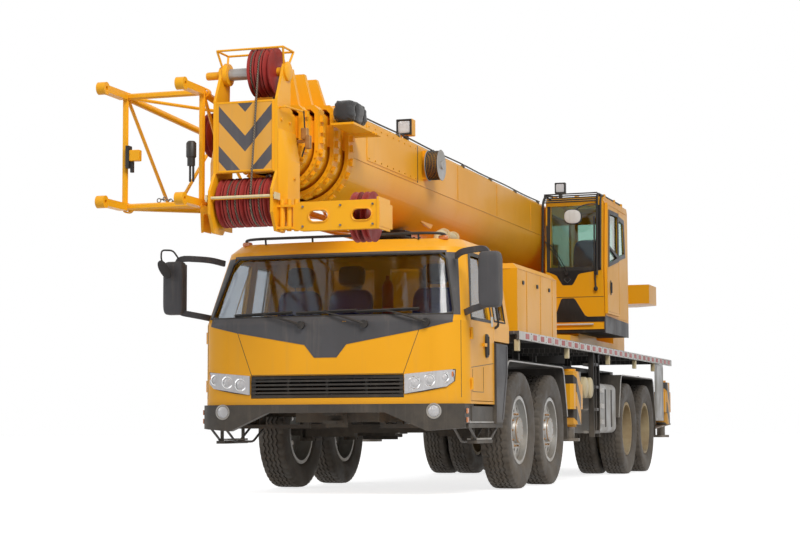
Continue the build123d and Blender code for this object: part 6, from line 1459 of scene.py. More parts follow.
class CRANE_OT_collars(bpy.types.Operator):
    """Builds the bolted clamp blocks round the front of each boom section"""

    bl_idname = "crane.collars"
    bl_label = "Section collars"

    def execute(self, context):
        sizes = context.scene.crane_boom
        for number, (front, body) in enumerate(zip(FRONTS, SECTION_BODIES)):
            reach = section_half(number) + 0.026
            turn = np.arange(np.radians(8), np.radians(78), sizes.clamp_turn)
            turns = np.array([turn_matrix("Y", angle) for angle in turn])
            places = np.stack([
                np.cos(turn) * (reach + 0.012), np.full(len(turn), fore(front + 0.075)),
                SEAM - np.sin(turn) * (reach + 0.012)
            ], 1)
            shapes = [blocks(places, (0.036, 0.060, 0.070), turns)]
            posts = [(reach + 0.010, fore(front + 0.075), z) for z in (3.235, 3.33, 3.43)]
            shapes.append(blocks(posts, (0.034, 0.055, 0.060)))
            ring_turn = np.radians(np.arange(6, 88, 10))
            bolts = np.stack([
                np.cos(ring_turn) * (reach - 0.012), np.full(len(ring_turn), fore(front)),
                SEAM - np.sin(ring_turn) * (reach - 0.012)
            ], 1)
            shapes.append(bolt_heads(bolts, "Y", 0.009, 0.009))
            pins = places + np.array([0.0, -0.036, 0.0])
            shapes.append(bolt_heads(pins, "Y", 0.012, 0.012))
            lifts = [(0.10, fore(front + 0.06), SEAM + COLLAR_LUG - SECTION_STEP * number)]
            shapes.append(blocks(lifts, (0.05, 0.10, 0.05)))
            whole = joined(shapes)
            put(f"collar_blocks_{number + 1}", body, "paint", both(whole), 0.004)
        return {"FINISHED"}


class CRANE_OT_boom(bpy.types.Operator):
    """Builds the boom's seams, cover, reel, work lamp, bundle and cable"""

    bl_idname = "crane.boom"
    bl_label = "Boom fittings"

    def execute(self, context):
        sizes = context.scene.crane_boom
        seams = bars(aft([(sign * 0.431, -2.68, SEAM) for sign in (-1, 1)]), aft([
            (sign * 0.431, 6.9, SEAM) for sign in (-1, 1)
        ]), 0.005, 6)
        hoops = [frame_bar(aft([
            (sign * 0.4315, y, 3.185), (sign * 0.4315, y, 3.565)
        ]), 0.004, 6) for sign in (-1, 1) for y in (0.9, 2.6, 4.3)]
        put("boom_seams", "boom", "paint_dusty", [seams, *hoops])
        cover = slab(aft([(-2.25, 3.20), (-0.64, 3.20), (-0.64, 3.56), (-2.25, 3.56)]), 0.430, 0.436)
        put("boom_cover", "boom", "paint", both(cover), 0.002)
        line = np.linspace(-2.20, -0.70, sizes.bolts)
        heads = bolt_heads(aft([(0.437, y, z) for y in line for z in (3.225, 3.535)]), "X", 0.009, 0.006)
        put("cover_bolts", "boom", "paint_dusty", both(heads))
        joint = slab(aft([(-0.632, 3.19), (-0.612, 3.19), (-0.612, 3.57), (-0.632, 3.57)]), 0.430, 0.434)
        put("cover_joint", "boom", "dark_trim", both(joint))

        x, y, low, high = 0.30, fore(-0.6605), 3.692, 3.858
        ring_line = [(low, x - 0.083), (low, x + 0.083), (high, x + 0.083), (high, x - 0.083)]
        put("work_lamp_frame", "boom", "dark_trim", [
            flat_band(ring_line, 0.026, y - 0.02, y + 0.03, "Y"),
            blocks(aft([(x, -0.6, 3.66)]), (0.05, 0.05, 0.08))
        ], 0.005)
        put("work_lamp_lens", "boom", "clear_lens", [pillow(
            (x, y + 0.002, (low + high) / 2), (0.135, 0.03, 0.135), 0.35, 10, 28
        )])

        y, z = fore(-0.35), 3.40
        flanges = [turned([
            (0.04, at), (0.162, at), (0.165, at + 0.004), (0.162, at + 0.008), (0.04, at + 0.008)
        ], (0, y, z), "X", 40) for at in (0.470, 0.607)]
        flanges.append(turned([
            (0, 0.612), (0.045, 0.612), (0.045, 0.630), (0.02, 0.640), (0, 0.640)
        ], (0, y, z), "X", 20))
        put("reel_flanges", "boom", "silver", flanges, 0.002)
        coil = [hoop((x, y, z), 0.148, 0.008, "X", 40, 8) for x in np.linspace(0.484, 0.600, 8)]
        put("reel_coil", "boom", "rubber_hose", coil)

        low, high = corners("boom_bundle")
        rise = np.linspace(-np.pi / 2, np.pi / 2, 30)[:, None]
        round_ = (np.arange(56) * 2 * np.pi / 56)[None]
        folds = 1 + 0.05 * np.sin(5 * round_ + 3 * rise) + 0.035 * np.sin(11 * round_ - 4 * rise + 1.0)
        folds = folds * (
            1 - 0.16 * np.exp(-(((rise - 0.30) / 0.10) ** 2)) - 0.16 * np.exp(-(((rise + 0.45) / 0.10) ** 2))
        )

        width = power(np.cos(rise), 0.35) * folds
        bundle = np.stack([
            width * power(np.cos(round_), 0.6), np.broadcast_to(power(np.sin(rise), 0.8), folds.shape),
            width * power(np.sin(round_), 0.6)
        ], -1)
        bundle = np.clip(bundle, -1, 1) * (high - low) / 2 + (low + high) / 2
        piece = put(
            "boom_bundle_cloth", "boom", "tarpaulin", [lattice(bundle, wrap_v=True)],
            replaces=("boom_bundle",)
        )
        middle, half = (low + high) / 2, (high - low) / 2
        straps = []
        for share in (0.17, -0.28):
            turn = np.linspace(0, 2 * np.pi, 40, endpoint=False)
            path = np.stack([
                middle[0] + half[0] * 0.90 * power(np.cos(turn), 0.6),
                np.full(40, middle[1] + share * 2 * half[1]),
                middle[2] + half[2] * 0.90 * power(np.sin(turn), 0.6)
            ], 1)
            straps.append(bars(path, np.roll(path, -1, axis=0), 0.008, 6))
        put("bundle_straps", "boom", "rubber_hose", straps)
        brackets = bars(aft([
            (0.44, y, 3.36) for y in (-2.86, -2.78)
        ]), aft([(0.72, y, 3.36) for y in (-2.86, -2.78)]), 0.012, 8)
        put("bundle_bars", "boom", "paint", [brackets])

        cable_y = np.linspace(fore(-2.6), fore(4.9), 60)
        cable = np.stack([np.full(60, 0.405), cable_y, 3.622 + 0.004 * np.sin(cable_y * 3.1)], axis=1)
        put("edge_cable", "boom", "rubber_hose", [tube(cable, 0.008, 6)])
        rollers = turned([
            (0, -0.02), (0.022, -0.02), (0.022, -0.012), (0.014, 0.0), (0.022, 0.012), (0.022, 0.02),
            (0, 0.02)
        ], (0, 0, 0), "X", 16)
        moves = [(0.405, fore(y), 3.602) for y in (-2.4, -1.2, 0.0, 1.2, 2.4, 3.6, 4.8)]
        put("cable_rollers", "boom", "steel", [copies(rollers, moves), blocks(
            [(x, y, 3.600) for x, y, _ in moves], (0.012, 0.05, 0.03)
        )], 0.002)
        for sign in (1, -1):
            fins = [
                slab(aft([
                    (-0.05, 2.84), (0.14, 2.99), (0.48, 2.90), (0.30, 2.80)
                ]), sign * 0.268, sign * 0.292),
            ]
            put(f"boom_fin_{'left' if sign > 0 else 'right'}", "boom", "paint", fins, 0.004)
        return {"FINISHED"}


class CRANE_OT_jib(bpy.types.Operator):
    """Builds the stowed jib's fittings"""

    bl_idname = "crane.jib"
    bl_label = "Jib fittings"

    def execute(self, context):
        sensor = blocks(aft([(-1.10, -4.12, 3.06)]), (0.10, 0.06, 0.10))
        put("jib_sensor", "boom", "paint", [sensor], 0.008)
        dark = [blocks(aft([(-1.165, -4.12, 3.05), (-1.13, -4.12, 2.96)]), [
            (0.035, 0.07, 0.20), (0.03, 0.03, 0.10)
        ])]
        dark.append(turned([
            (0, -0.10), (0.035, -0.10), (0.035, -0.03), (0.045, -0.02), (0.045, 0.10), (0.03, 0.12),
            (0, 0.12)
        ], (-0.55, fore(-4.14), 3.04), "Z", 20))
        dark.append(bars(aft([
            (-0.56, -4.14, 2.80), (-0.53, -4.14, 2.80)
        ]), aft([(-0.56, -4.14, 2.96), (-0.53, -4.14, 2.96)]), 0.011, 8))
        put("jib_switches", "boom", "dark_trim", dark, 0.004)
        wheel = [
            (0.04, -0.03), (0.20, -0.03), (0.205, -0.022), (0.175, 0.0), (0.205, 0.022), (0.20, 0.03),
            (0.04, 0.03)
        ]
        put("jib_sheave", "boom", "sheave", [turned(wheel, (-0.60, fore(-3.55), 3.30), "X", 44)])
        hub = turned([
            (0, -0.09), (0.038, -0.09), (0.038, 0.09), (0, 0.09)
        ], (-0.60, fore(-3.55), 3.30), "X", 20)
        cheeks = [slab(aft([
            (-3.66, 3.44), (-3.44, 3.44), (-3.47, 3.20), (-3.63, 3.20)
        ]), x, x + 0.012) for x in (-0.655, -0.557)]
        put("jib_sheave_mount", "boom", "paint", [hub, *cheeks], 0.002)
        links = [hoop((
            -0.90 + 0.028 * n, fore(-4.05) + 0.01 * (n % 2), 2.66 + 0.012 * np.sin(n)
        ), 0.018, 0.005, "Z" if n % 2 else "Y", 12, 6) for n in range(9)]
        put("jib_clip", "boom", "steel", links)
        collars = []
        for x, z in ((-1.216, 2.605), (-0.47, 2.605), (-1.216, 3.60), (-0.47, 3.60)):
            collars.append(turned([
                (0.033, -0.03), (0.046, -0.03), (0.046, 0.03), (0.033, 0.03)
            ], (x, fore(-4.02), z), "Y", 18))
        put("jib_collars", "boom", "paint", collars, 0.002)
        return {"FINISHED"}


# ---------------------------------------------------------------- crane cab

CRANE_DOOR_FACE = 1.3012  # how far out the sliding door's skin lies
SKIN_DEPTH = 0.004  # how far the trims reach into the crane cab's front


def crane_front(z):
    """Where the crane cab's front skin lies at a height, behind the first axle."""
    return np.interp(z, (2.01, 2.69, 3.61, 3.67), (5.02, 4.88, 4.95, 5.01))


def crane_skin(outline, out):
    """A flat outline of (across, height) laid on the crane cab's slanted front."""
    outline = np.asarray(outline, float)
    y = fore(crane_front(outline[:, 1]))
    rows = [np.stack([outline[:, 0], y - shift, outline[:, 1]], axis=1) for shift in (out, -SKIN_DEPTH)]
    return lattice(np.stack(rows), wrap_v=True, cap_u=True)


def crane_path(points, out):
    """Points of (across, height) in front of the crane cab's skin."""
    points = np.asarray(points, float)
    return np.stack([points[:, 0], fore(crane_front(points[:, 1])) - out, points[:, 1]], axis=1)


class CraneOperatorSizes(bpy.types.PropertyGroup):
    """The crane operator's cab."""

    guard_bars: bpy.props.IntProperty(
        name="Roof guard bars", description="Level bars over the screen", default=5, min=1
    )
    guard_tube: bpy.props.FloatProperty(
        name="Guard tube", description="Radius of the guard frame", default=0.016, unit="LENGTH"
    )


class CRANE_OT_crane_cab(bpy.types.Operator):
    """Builds the crane cab's front, guard frame, door trim, mirror and lamp"""

    bl_idname = "crane.crane_cab"
    bl_label = "Crane cab"

    def execute(self, context):
        sizes = context.scene.crane_operator
        body = "upper"
        lower = [(0.486, 2.340), (0.486, 2.015), (1.253, 2.015), (1.253, 2.340)]
        put("crane_front_skin", body, "paint", [crane_skin([
            (0.486, 2.69), (0.486, 2.346), (1.253, 2.346), (1.253, 2.69)
        ], 0.006), crane_skin(lower, 0.006)], 0.002)
        seam = tube(crane_path([(x, 2.343) for x in np.linspace(0.49, 1.25, 8)], 0.005), 0.004, 6)
        vee = [
            (0.488, 2.69), (0.60, 2.645), (0.635, 2.625), (0.70, 2.51), (0.72, 2.50), (0.835, 2.50),
            (0.855, 2.52), (0.925, 2.635), (0.96, 2.65), (1.251, 2.69)
        ]
        recess = [
            (0.60, 2.14), (0.675, 2.315), (0.70, 2.33), (0.84, 2.33), (0.865, 2.315), (0.985, 2.105),
            (1.02, 2.085), (1.251, 2.085), (1.251, 2.017), (0.60, 2.017)
        ]
        put("crane_front_dark", body, "dark_trim", [
            crane_skin(vee, 0.010), crane_skin(recess, 0.010), seam
        ], 0.002)
        sill = [(0.54, 2.69), (1.20, 2.69), (1.20, 2.735), (0.54, 2.735)]
        band = [(0.50, 3.555), (1.24, 3.555), (1.24, 3.60), (0.50, 3.60)]
        posts = [[(x, 2.69), (x + 0.045, 2.69), (x + 0.045, 3.56), (x, 3.56)] for x in (0.505, 1.19)]
        rubber = [crane_skin(outline, 0.008) for outline in (sill, *posts)]
        put("crane_screen_rubber", body, "dark_trim", rubber, 0.002)
        put("crane_brow", body, "paint", [crane_skin(band, 0.010)], 0.002)
        badge = [hoop((0.777, float(fore(crane_front(2.555))) - 0.014, 2.575), 0.045, 0.006, "Y", 4, 6)]
        put("wiper_motor_cover", body, "grey_trim", badge)

        radius = sizes.guard_tube
        left = rounded([
            *crane_path([(0.455, 2.50), (0.465, 3.62)], 0.10), (0.50, fore(4.90), 3.70),
            (0.52, fore(5.2), 3.72)
        ], 0.08)
        right = rounded([
            *crane_path([(1.185, 2.62), (1.185, 3.62)], 0.06), (1.185, fore(4.93), 3.71),
            (1.185, fore(6.30), 3.715)
        ], 0.08)
        second = rounded([
            *crane_path([(1.232, 2.72), (1.232, 3.60)], 0.05), (1.232, fore(4.95), 3.69),
            (1.225, fore(6.25), 3.70)
        ], 0.08)
        guard = [
            tube(left, radius, 10, (1, 0, 0)), tube(right, radius, 10, (1, 0, 0)),
            tube(second, radius * 0.8, 10, (1, 0, 0))
        ]
        levels = np.linspace(3.60, 3.712, sizes.guard_bars)
        for number, z in enumerate(levels):
            back = 0.012 * number
            y = fore(4.86 + back)
            guard.append(bars([(0.47, y, z)], [(1.19, y, z + 0.004)], radius * 0.55, 8))
        guard.append(bars(aft([(0.485, 4.88, 3.70)]), aft([(0.60, 5.05, 3.60)]), radius * 0.7, 8))
        put("crane_guard_frame", body, "dark_trim", guard)
        feet = blocks(aft([(1.24, y, 3.675) for y in (5.10, 5.75, 6.25)]), (0.035, 0.05, 0.07))
        put("guard_feet", body, "paint", [feet], 0.005)
        slats = blocks(aft([(1.20, y, 3.685) for y in np.linspace(5.25, 6.1, 12)]), (0.09, 0.02, 0.012))
        put("roof_side_slats", body, "dark_trim", [slats], 0.003)

        rail = rounded([*crane_path([(1.155, 2.46), (1.150, 2.75), (1.145, 3.40)], 0.035)], 0.1)
        knob = pillow(crane_path([(1.155, 2.445)], 0.035)[0], (0.055, 0.05, 0.065), 0.9, 12, 20)
        put("crane_handrail", body, "dark_trim", [tube(rail, 0.011, 8, (1, 0, 0)), knob])
        wiper = [tube(crane_path([
            (x + shift, z) for x, z in ((0.775, 2.66), (0.64, 2.90), (0.50, 3.09))
        ], 0.030), 0.007, 6, (0, 1, 0)) for shift in (-0.018, 0.018)]
        wiper.append(tube(crane_path([(0.505, 3.02), (0.53, 3.14)], 0.022), 0.008, 6, (0, 1, 0)))
        wiper.append(tube(crane_path([(0.515, 2.78), (0.50, 3.30)], 0.016), 0.007, 6, (0, 1, 0)))
        wiper.append(bars(aft([(0.777, 4.83, 2.65)]), aft([(0.777, 4.90, 2.65)]), 0.022, 12))
        put("crane_wiper", body, "dark_trim", wiper)
        arm = rounded(aft([
            (1.20, 4.84, 3.55), (1.12, 4.72, 3.55), (0.97, 4.66, 3.50), (0.925, 4.64, 3.40)
        ]), 0.10)
        tilt = turn_matrix("Z", 0.25)
        put("crane_mirror_arm", body, "dark_trim", [tube(arm, 0.009, 8), pillow(
            (0.915, fore(4.655), 3.375), (0.236, 0.05, 0.200), 0.75, 14, 40, tilt
        )])
        put("crane_mirror", body, "white", [pillow(
            (0.913, fore(4.632), 3.377), (0.216, 0.03, 0.182), 0.8, 14, 40, tilt
        )])

        base = [slab(aft([(5.04, 1.872), (6.58, 1.872), (6.58, 2.008), (5.03, 2.008)]), 0.52, 1.24)]
        put("crane_cab_base", body, "dark_trim", base, 0.008)
        plate = [slab(aft([(5.01, 1.87), (6.60, 1.87), (6.60, 2.07), (5.00, 2.10)]), 1.242, 1.2585)]
        put("crane_cab_side_plate", body, "grey_trim", plate, 0.003)
        step = bars(aft([(0.56, 4.985, 1.985)]), aft([(1.10, 4.985, 1.985)]), 0.012, 10)
        put("crane_step_rail", body, "white", [step])

        door = "crane_cab_door"
        near = CRANE_DOOR_FACE
        window = [(5.02, 2.735), (5.715, 2.860), (5.715, 3.515), (5.07, 3.505)]
        outline = [(fore(y), z) for y, z in window]
        put("crane_door_frame", door, "grey_trim", [flat_band(
            outline, 0.075, near - 0.004, near + 0.010
        )], 0.003)
        bar = slab(aft([
            (5.05, 3.03), (5.05, 3.00), (5.69, 2.885), (5.69, 2.935)
        ]), near - 0.03, near + 0.008)
        put("crane_door_bar", door, "dark_trim", [bar], 0.003)
        pane = [(fore(y), z) for y, z in ((5.04, 2.76), (5.69, 2.88), (5.69, 3.49), (5.09, 3.48))]
        put("crane_door_pane", door, "crane_glass", [slab(pane, near - 0.022, near - 0.016)])
        handle = [pillow(
            (near + 0.002, fore(5.16), 2.47), (0.024, 0.085, 0.20), 0.9, 12, 28
        ), bars(aft([(near + 0.016, 5.16, 2.40)]), aft([(near + 0.016, 5.16, 2.54)]), 0.008, 8)]
        put("crane_door_handle", door, "dark_trim", handle)
        seams = frame_bar(aft([(near - 0.001, y, z) for y, z in (
            (4.985, 2.15), (5.735, 2.15), (5.735, 3.565), (5.04, 3.565), (4.965, 2.70)
        )]), 0.004, 6)
        put("crane_door_seams", door, "paint_dusty", [seams])
        quarter = [(fore(y), z) for y, z in ((5.80, 2.865), (6.44, 2.975), (6.37, 3.49), (5.80, 3.525))]
        put("crane_quarter_frame", body, "grey_trim", [flat_band(quarter, 0.085, 1.250, 1.2585)], 0.002)

        seat = put("operator_cushion", body, "seat_cloth", [pillow(
            (0.85, fore(5.68), 2.505), (0.44, 0.48, 0.13), 0.4
        )])
        back = put("operator_back", body, "seat_cloth", [pillow(
            (0.85, fore(5.955), 2.86), (0.44, 0.14, 0.68), 0.4, turn=turn_matrix("X", -0.14)
        )])
        levers = bars(aft([
            (x, 5.30, 2.62) for x in (0.58, 1.12)
        ]), aft([(x, 5.26, 2.80) for x in (0.58, 1.12)]), 0.011, 8)
        knobs = [pillow((x, fore(5.258), 2.82), (0.04, 0.04, 0.06), 0.9, 10, 16) for x in (0.58, 1.12)]
        put("control_levers", body, "dark_trim", [levers, *knobs])

        x, y, z = 0.665, fore(5.02), 3.81
        outline = [
            (z - 0.072, x - 0.072), (z - 0.072, x + 0.072), (z + 0.072, x + 0.072), (z + 0.072, x - 0.072)
        ]
        lamp = [flat_band(outline, 0.024, y - 0.02, y + 0.05, "Y"), blocks(
            [(x, y + 0.03, z), (x, y + 0.02, 3.715)], [(0.12, 0.05, 0.12), (0.045, 0.05, 0.07)]
        )]
        put("roof_lamp_case", body, "dark_trim", lamp, 0.005)
        put("roof_lamp_lens", body, "clear_lens", [pillow(
            (x, y - 0.004, z), (0.118, 0.024, 0.118), 0.4, 10, 28
        )])
        return {"FINISHED"}


# ---------------------------------------------------------------- deck, sides and rear

GUARDS = ((-0.76, 2.13, 0.70), (5.23, 7.96, 0.66))  # mudguards: from, to and inner side
GUARD_OUT = 1.374
OUTRIGGERS = (("front", 2.81), ("rear", 9.15))
EDGE = (-0.07, 9.48, 1.560, 1.650)  # the deck's edge: from, to, low and high
DRUMS = (7.44, 8.02)
DRUM_HEIGHT = 2.65


class CraneDeckSizes(bpy.types.PropertyGroup):
    """The deck's edges, the side fittings and the winches."""

    red_blocks: bpy.props.IntProperty(
        name="Red blocks", description="Along each edge of the deck", default=27, min=1
    )
    wraps: bpy.props.IntProperty(
        name="Rope wraps", description="Turns of rope across a drum", default=28, min=4
    )
    housing: bpy.props.FloatVectorProperty(
        name="Mirror housing", description="Width, depth and height", default=(0.215, 0.14, 0.53),
        unit="LENGTH",
    )


class CRANE_OT_mirrors(bpy.types.Operator):
    """Builds the tall mirrors with their arms, loops and small round mirrors"""

    bl_idname = "crane.mirrors"
    bl_label = "Mirrors"

    def execute(self, context):
        width, depth, height = context.scene.crane_deck.housing
        middle = (1.62, fore(-2.15), 2.03)
        shell = [pillow(middle, (width, depth, height), 0.30, 20, 40)]
        shell.append(slab([
            (1.53, fore(-2.11)), (1.70, fore(-2.11)), (1.705, fore(-2.07)), (1.525, fore(-2.07))
        ], 1.80, 2.27, "Z"))
        upper = rounded(aft([
            (1.205, -1.87, 2.285), (1.30, -2.02, 2.315), (1.58, -2.15, 2.33), (1.60, -2.15, 2.24)
        ]), 0.10)
        lower = rounded(aft([
            (1.315, -1.96, 1.735), (1.42, -2.08, 1.76), (1.58, -2.15, 1.79), (1.60, -2.15, 1.85)
        ]), 0.08)
        flat = np.array([(-0.016, -0.030), (0.016, -0.030), (0.016, 0.030), (-0.016, 0.030)])
        shell += [carry(flat[::-1], upper), carry(flat[::-1], lower)]
        put("mirror_housings", "carrier", "grey_trim", both(joined(shell)), 0.006, replaces=("mirrors",))
        pane = slab([
            (1.545, fore(-2.071)), (1.69, fore(-2.071)), (1.69, fore(-2.064)), (1.545, fore(-2.064))
        ], 1.83, 2.245, "Z")
        put("mirror_panes", "carrier", "rod_chrome", both(pane), 0.003)
        loop = rounded(aft([
            (-1.56, -2.19, 2.315), (-1.60, -2.25, 2.40), (-1.715, -2.27, 2.405), (-1.718, -2.27, 2.31),
            (-1.685, -2.27, 2.26)
        ]), 0.035)
        tilt = turn_matrix("X", 0.2) @ turn_matrix("Y", -0.5)
        put("mirror_loop", "carrier", "dark_trim", [tube(loop, 0.009, 8, (0, 1, 0)), pillow(
            (-1.675, fore(-2.285), 2.21), (0.105, 0.03, 0.20), 0.9, 14, 32, tilt
        )])
        return {"FINISHED"}


class CRANE_OT_deck(bpy.types.Operator):
    """Builds the deck's marked edge, the hood's seams, the boom rest's pad and the winch ropes"""

    bl_idname = "crane.deck"
    bl_label = "Deck and hood"

    def execute(self, context):
        sizes = context.scene.crane_deck
        start, stop, low, high = EDGE
        strip = slab(aft([(start, low), (stop, low), (stop, high), (start, high)]), 1.3655, 1.3695)
        put("deck_edge", "carrier", "white", both(strip), 0.001)
        places = np.linspace(start + 0.35, stop - 0.25, sizes.red_blocks)
        marks = blocks(aft([(1.3705, y, (low + high) / 2) for y in places]), (0.004, 0.15, 0.056))
        put("deck_edge_marks", "carrier", "red", both(marks), 0.001)
        rivets = bolt_heads(aft([
            (1.370, y, z) for y in places[:-1] + np.diff(places) / 2 for z in (low + 0.013, high - 0.013)
        ]), "X", 0.006, 0.004)
        put("deck_edge_rivets", "carrier", "steel", both(rivets))
        brackets = blocks(aft([(1.33, y, 1.50) for y in (-0.02, 2.35, 4.75, 6.6, 8.05)]), (0.05, 0.07, 0.12))
        put("deck_brackets", "carrier", "cream", both(brackets), 0.006)

        hood_low, hood_high = corners("engine_hood")
        side = hood_high[0] + 0.001
        seams = [bars(aft([(side, y, 1.67)]), aft([(side, y, 2.335)]), 0.004, 6) for y in (0.66, 1.30, 1.88)]
        seams.append(bars(
            [(side, hood_low[1] + 0.02, 2.336)], [(side, hood_high[1] - 0.02, 2.336)], 0.004, 6
        ))
        front = hood_low[1] - 0.001
        seams.append(bars([(-1.2, front, 2.336)], [(1.2, front, 2.336)], 0.004, 6))
        put("hood_seams", "carrier", "paint_dusty", both(joined(seams)))
        latches = [pillow(
            (side + 0.004, fore(y), 2.20), (0.018, 0.07, 0.045), 0.6, 10, 20
        ) for y in (0.50, 1.14, 1.72)]
        put("hood_latches", "carrier", "dark_trim", both(joined(latches)))
        louvres = []
        for z in np.arange(1.80, 2.14, 0.034):
            row = [(fore(0.80), z), (fore(1.16), z), (fore(1.16), z + 0.008), (fore(0.80), z + 0.008)]
            louvres.append(slab(row, -side - 0.012, -side + 0.004))
        put("hood_louvres", "carrier", "paint", louvres, 0.002)

        top = [blocks(aft([(0, -0.22, 2.698)]), (0.40, 0.20, 0.05))]
        ribs = blocks(aft([(x, -0.335, 2.585) for x in np.linspace(-0.36, 0.36, 13)]), (0.022, 0.014, 0.13))
        put("boom_rest_pad", "carrier", "rubber_hose", [*top, ribs], 0.004)
        elbow = rounded(aft([(0.70, -0.80, 2.40), (0.70, -0.80, 2.63), (0.70, -0.22, 2.635)]), 0.14, 8)
        flange = [turned([
            (0.052, -0.01), (0.07, -0.01), (0.07, 0.01), (0.052, 0.01)
        ], (0.70, fore(y), 2.635), "Y", 24) for y in (-0.24, -0.58)]
        stay = blocks(aft([(0.70, -0.24, 2.53)]), (0.03, 0.03, 0.16))
        put("air_pipe", "carrier", "cream", [tube(elbow, 0.05, 16, (1, 0, 0)), *flange, stay])

        ridge = np.linspace(-0.268, 0.268, sizes.wraps * 4 + 1)
        lift = 0.204 + 0.010 * np.abs(np.cos(np.arange(len(ridge)) * np.pi / 4))
        profile = [(0.19, -0.268), *zip(lift, ridge), (0.19, 0.268)]
        wound = [turned(profile, (0, fore(y), DRUM_HEIGHT), "X", 40) for y in DRUMS]
        put("winch_ropes", "upper", "rope", wound)
        _, high = corners("counterweight")
        eyes = [hoop((x, fore(8.30), high[2] + 0.028), 0.045, 0.014, "X", 24, 8) for x in (-0.85, 0.85)]
        put("weight_eyes", "upper", "paint", eyes)
        return {"FINISHED"}


class CRANE_OT_sides(bpy.types.Operator):
    """Builds the mudguards' edges and flaps, jack covers, tanks, ladders and rear pieces"""

    bl_idname = "crane.sides"
    bl_label = "Sides and rear"

    def execute(self, context):
        edges, flaps = [], []
        for start, stop, inner in GUARDS:
            path = rounded(aft([(GUARD_OUT, y, z) for y, z in (
                (start - 0.012, 0.76), (start + 0.17, 1.322), (stop - 0.17, 1.322), (stop + 0.012, 0.76)
            )]), 0.10)
            edges.append(tube(path, 0.008, 8, (1, 0, 0)))
            flap = [(stop + 0.004, 0.78), (stop + 0.020, 0.78), (stop + 0.045, 0.50), (stop + 0.030, 0.50)]
            flaps.append(slab(aft(flap), inner, 1.368))
        put("mudguard_edges", "carrier", "silver", both(joined(edges)))
        put("mud_flaps", "carrier", "rubber_hose", both(joined(flaps)), 0.003)
        wing = [
            (-1.042, 0.69), (-0.795, 0.69), (-0.705, 0.93), (-0.595, 1.18), (-0.595, 1.475), (-1.042, 1.475)
        ]
        panel = slab(aft(wing), 1.372, 1.377)
        fold = slab(aft((
            (-0.83, 0.72), (-0.79, 0.72), (-0.62, 1.19), (-0.62, 1.46), (-0.66, 1.46), (-0.66, 1.2)
        )), 1.377, 1.384)
        put("wing_panels", "carrier", "grey_trim", [*both(panel), *both(fold)], 0.003)

        for end, y in OUTRIGGERS:
            for side, sign in SIDES:
                plan = [
                    (1.20, fore(y - 0.15)), (1.335, fore(y - 0.15)), (1.368, fore(y - 0.11)),
                    (1.368, fore(y + 0.11)), (1.335, fore(y + 0.15)), (1.20, fore(y + 0.15))
                ]
                cover = slab(plan, 0.665, 1.30, "Z")
                shape = cover if sign > 0 else mirrored(cover)
                put(f"jack_cover_{end}_{side}", f"beam_{end}_{side}", "hazard_bands", [shape], 0.008)

        ring = [(0.552, 0.95), (0.552, 1.262), (0.64, 1.348), (1.11, 1.348), (1.198, 1.262), (1.198, 0.95)]
        straps = [flat_band(ring, 0.014, fore(y), fore(y + 0.05), "Y") for y in (4.48, 4.86)]
        put("tank_straps", "carrier", "dark_trim", straps, 0.002)
        holders = blocks(aft([(1.352, 4.25, z) for z in (0.70, 0.90, 1.10)]), (0.024, 0.17, 0.06))
        cap = turned([
            (0, 0), (0.05, 0), (0.05, 0.03), (0.035, 0.045), (0, 0.045)
        ], (1.10, fore(4.34), 1.188), "Z", 24)
        put("tank_holders", "carrier", "white", [holders, cap], 0.004)
        profile = [(0, 0.80), (0.10, 0.81), (0.1275, 0.84), (0.1275, 1.332), (0.11, 1.346), (0, 1.353)]
        tanks = [turned(profile, (0, fore(y), 1.12), "X", 36) for y in (3.35, 3.65)]
        put("air_tanks", "carrier", "cream", both(joined(tanks)))
        bands = [hoop(
            (x, fore(y), 1.12), 0.129, 0.005, "X", 36, 6
        ) for x in (1.0, 1.24) for y in (3.35, 3.65)]
        put("air_tank_bands", "carrier", "dark_trim", both(joined(bands)))
        stiles = blocks(aft([(1.31, y, 1.038) for y in (3.80, 4.13)]), (0.067, 0.030, 1.05))
        hooks = [tube(rounded(aft([
            (1.335, y, 1.54), (1.352, y, 1.40), (1.352, y, 0.62), (1.335, y, 0.55)
        ]), 0.05), 0.011, 8, (0, 1, 0)) for y in (3.86, 4.07)]
        put("ladder_stiles", "carrier", "dark_trim", both(joined([stiles, *hooks])), 0.004)
        treads = blocks(aft([(1.274, 3.965, 0.575 + 0.28 * n) for n in range(4)]), (0.152, 0.302, 0.036))
        put("ladder_treads", "carrier", "grey_trim", both(treads), 0.004)

        rear = [slab(aft([(8.16, 0.72), (8.80, 0.72), (8.80, 1.555), (8.16, 1.555)]), 1.335, 1.352)]
        rear += [bars(aft([(1.356, y, 0.76)]), aft([(1.356, y, 1.52)]), 0.008, 8) for y in (8.22, 8.74)]
        put("rear_panels", "carrier", "silver", both(joined(rear)), 0.003)
        plate = slab(aft([(8.16, 0.60), (9.46, 0.66), (9.46, 0.68), (8.16, 0.62)]), 0.95, 1.345)
        hanger = blocks(aft([(1.15, y, 0.80) for y in (8.4, 9.4)]), (0.03, 0.04, 0.34))
        put("rear_under_plates", "carrier", "exhaust", both(joined([plate, hanger])), 0.003)
        lamp = [slab(aft([(9.50, 1.0), (9.652, 1.0), (9.652, 1.165), (9.50, 1.165)]), 0.89, 1.315)]
        put("rear_lamp_boxes", "carrier", "dark_trim", both(joined(lamp)), 0.010)
        for name, material, x, wide in (
            ("rear_stop", "red_lens", 1.20, 0.17), ("rear_turn", "amber_lens", 1.06, 0.09),
            ("rear_back", "clear_lens", 0.96, 0.09)
        ):
            lens = pillow((x, fore(9.655), 1.082), (wide, 0.03, 0.115), 0.35, 10, 28)
            put(f"{name}_lenses", "carrier", material, both(lens))
        return {"FINISHED"}


# ---------------------------------------------------------------- stage


FLOOR_REACH = 90.0  # from the middle to the floor's edge


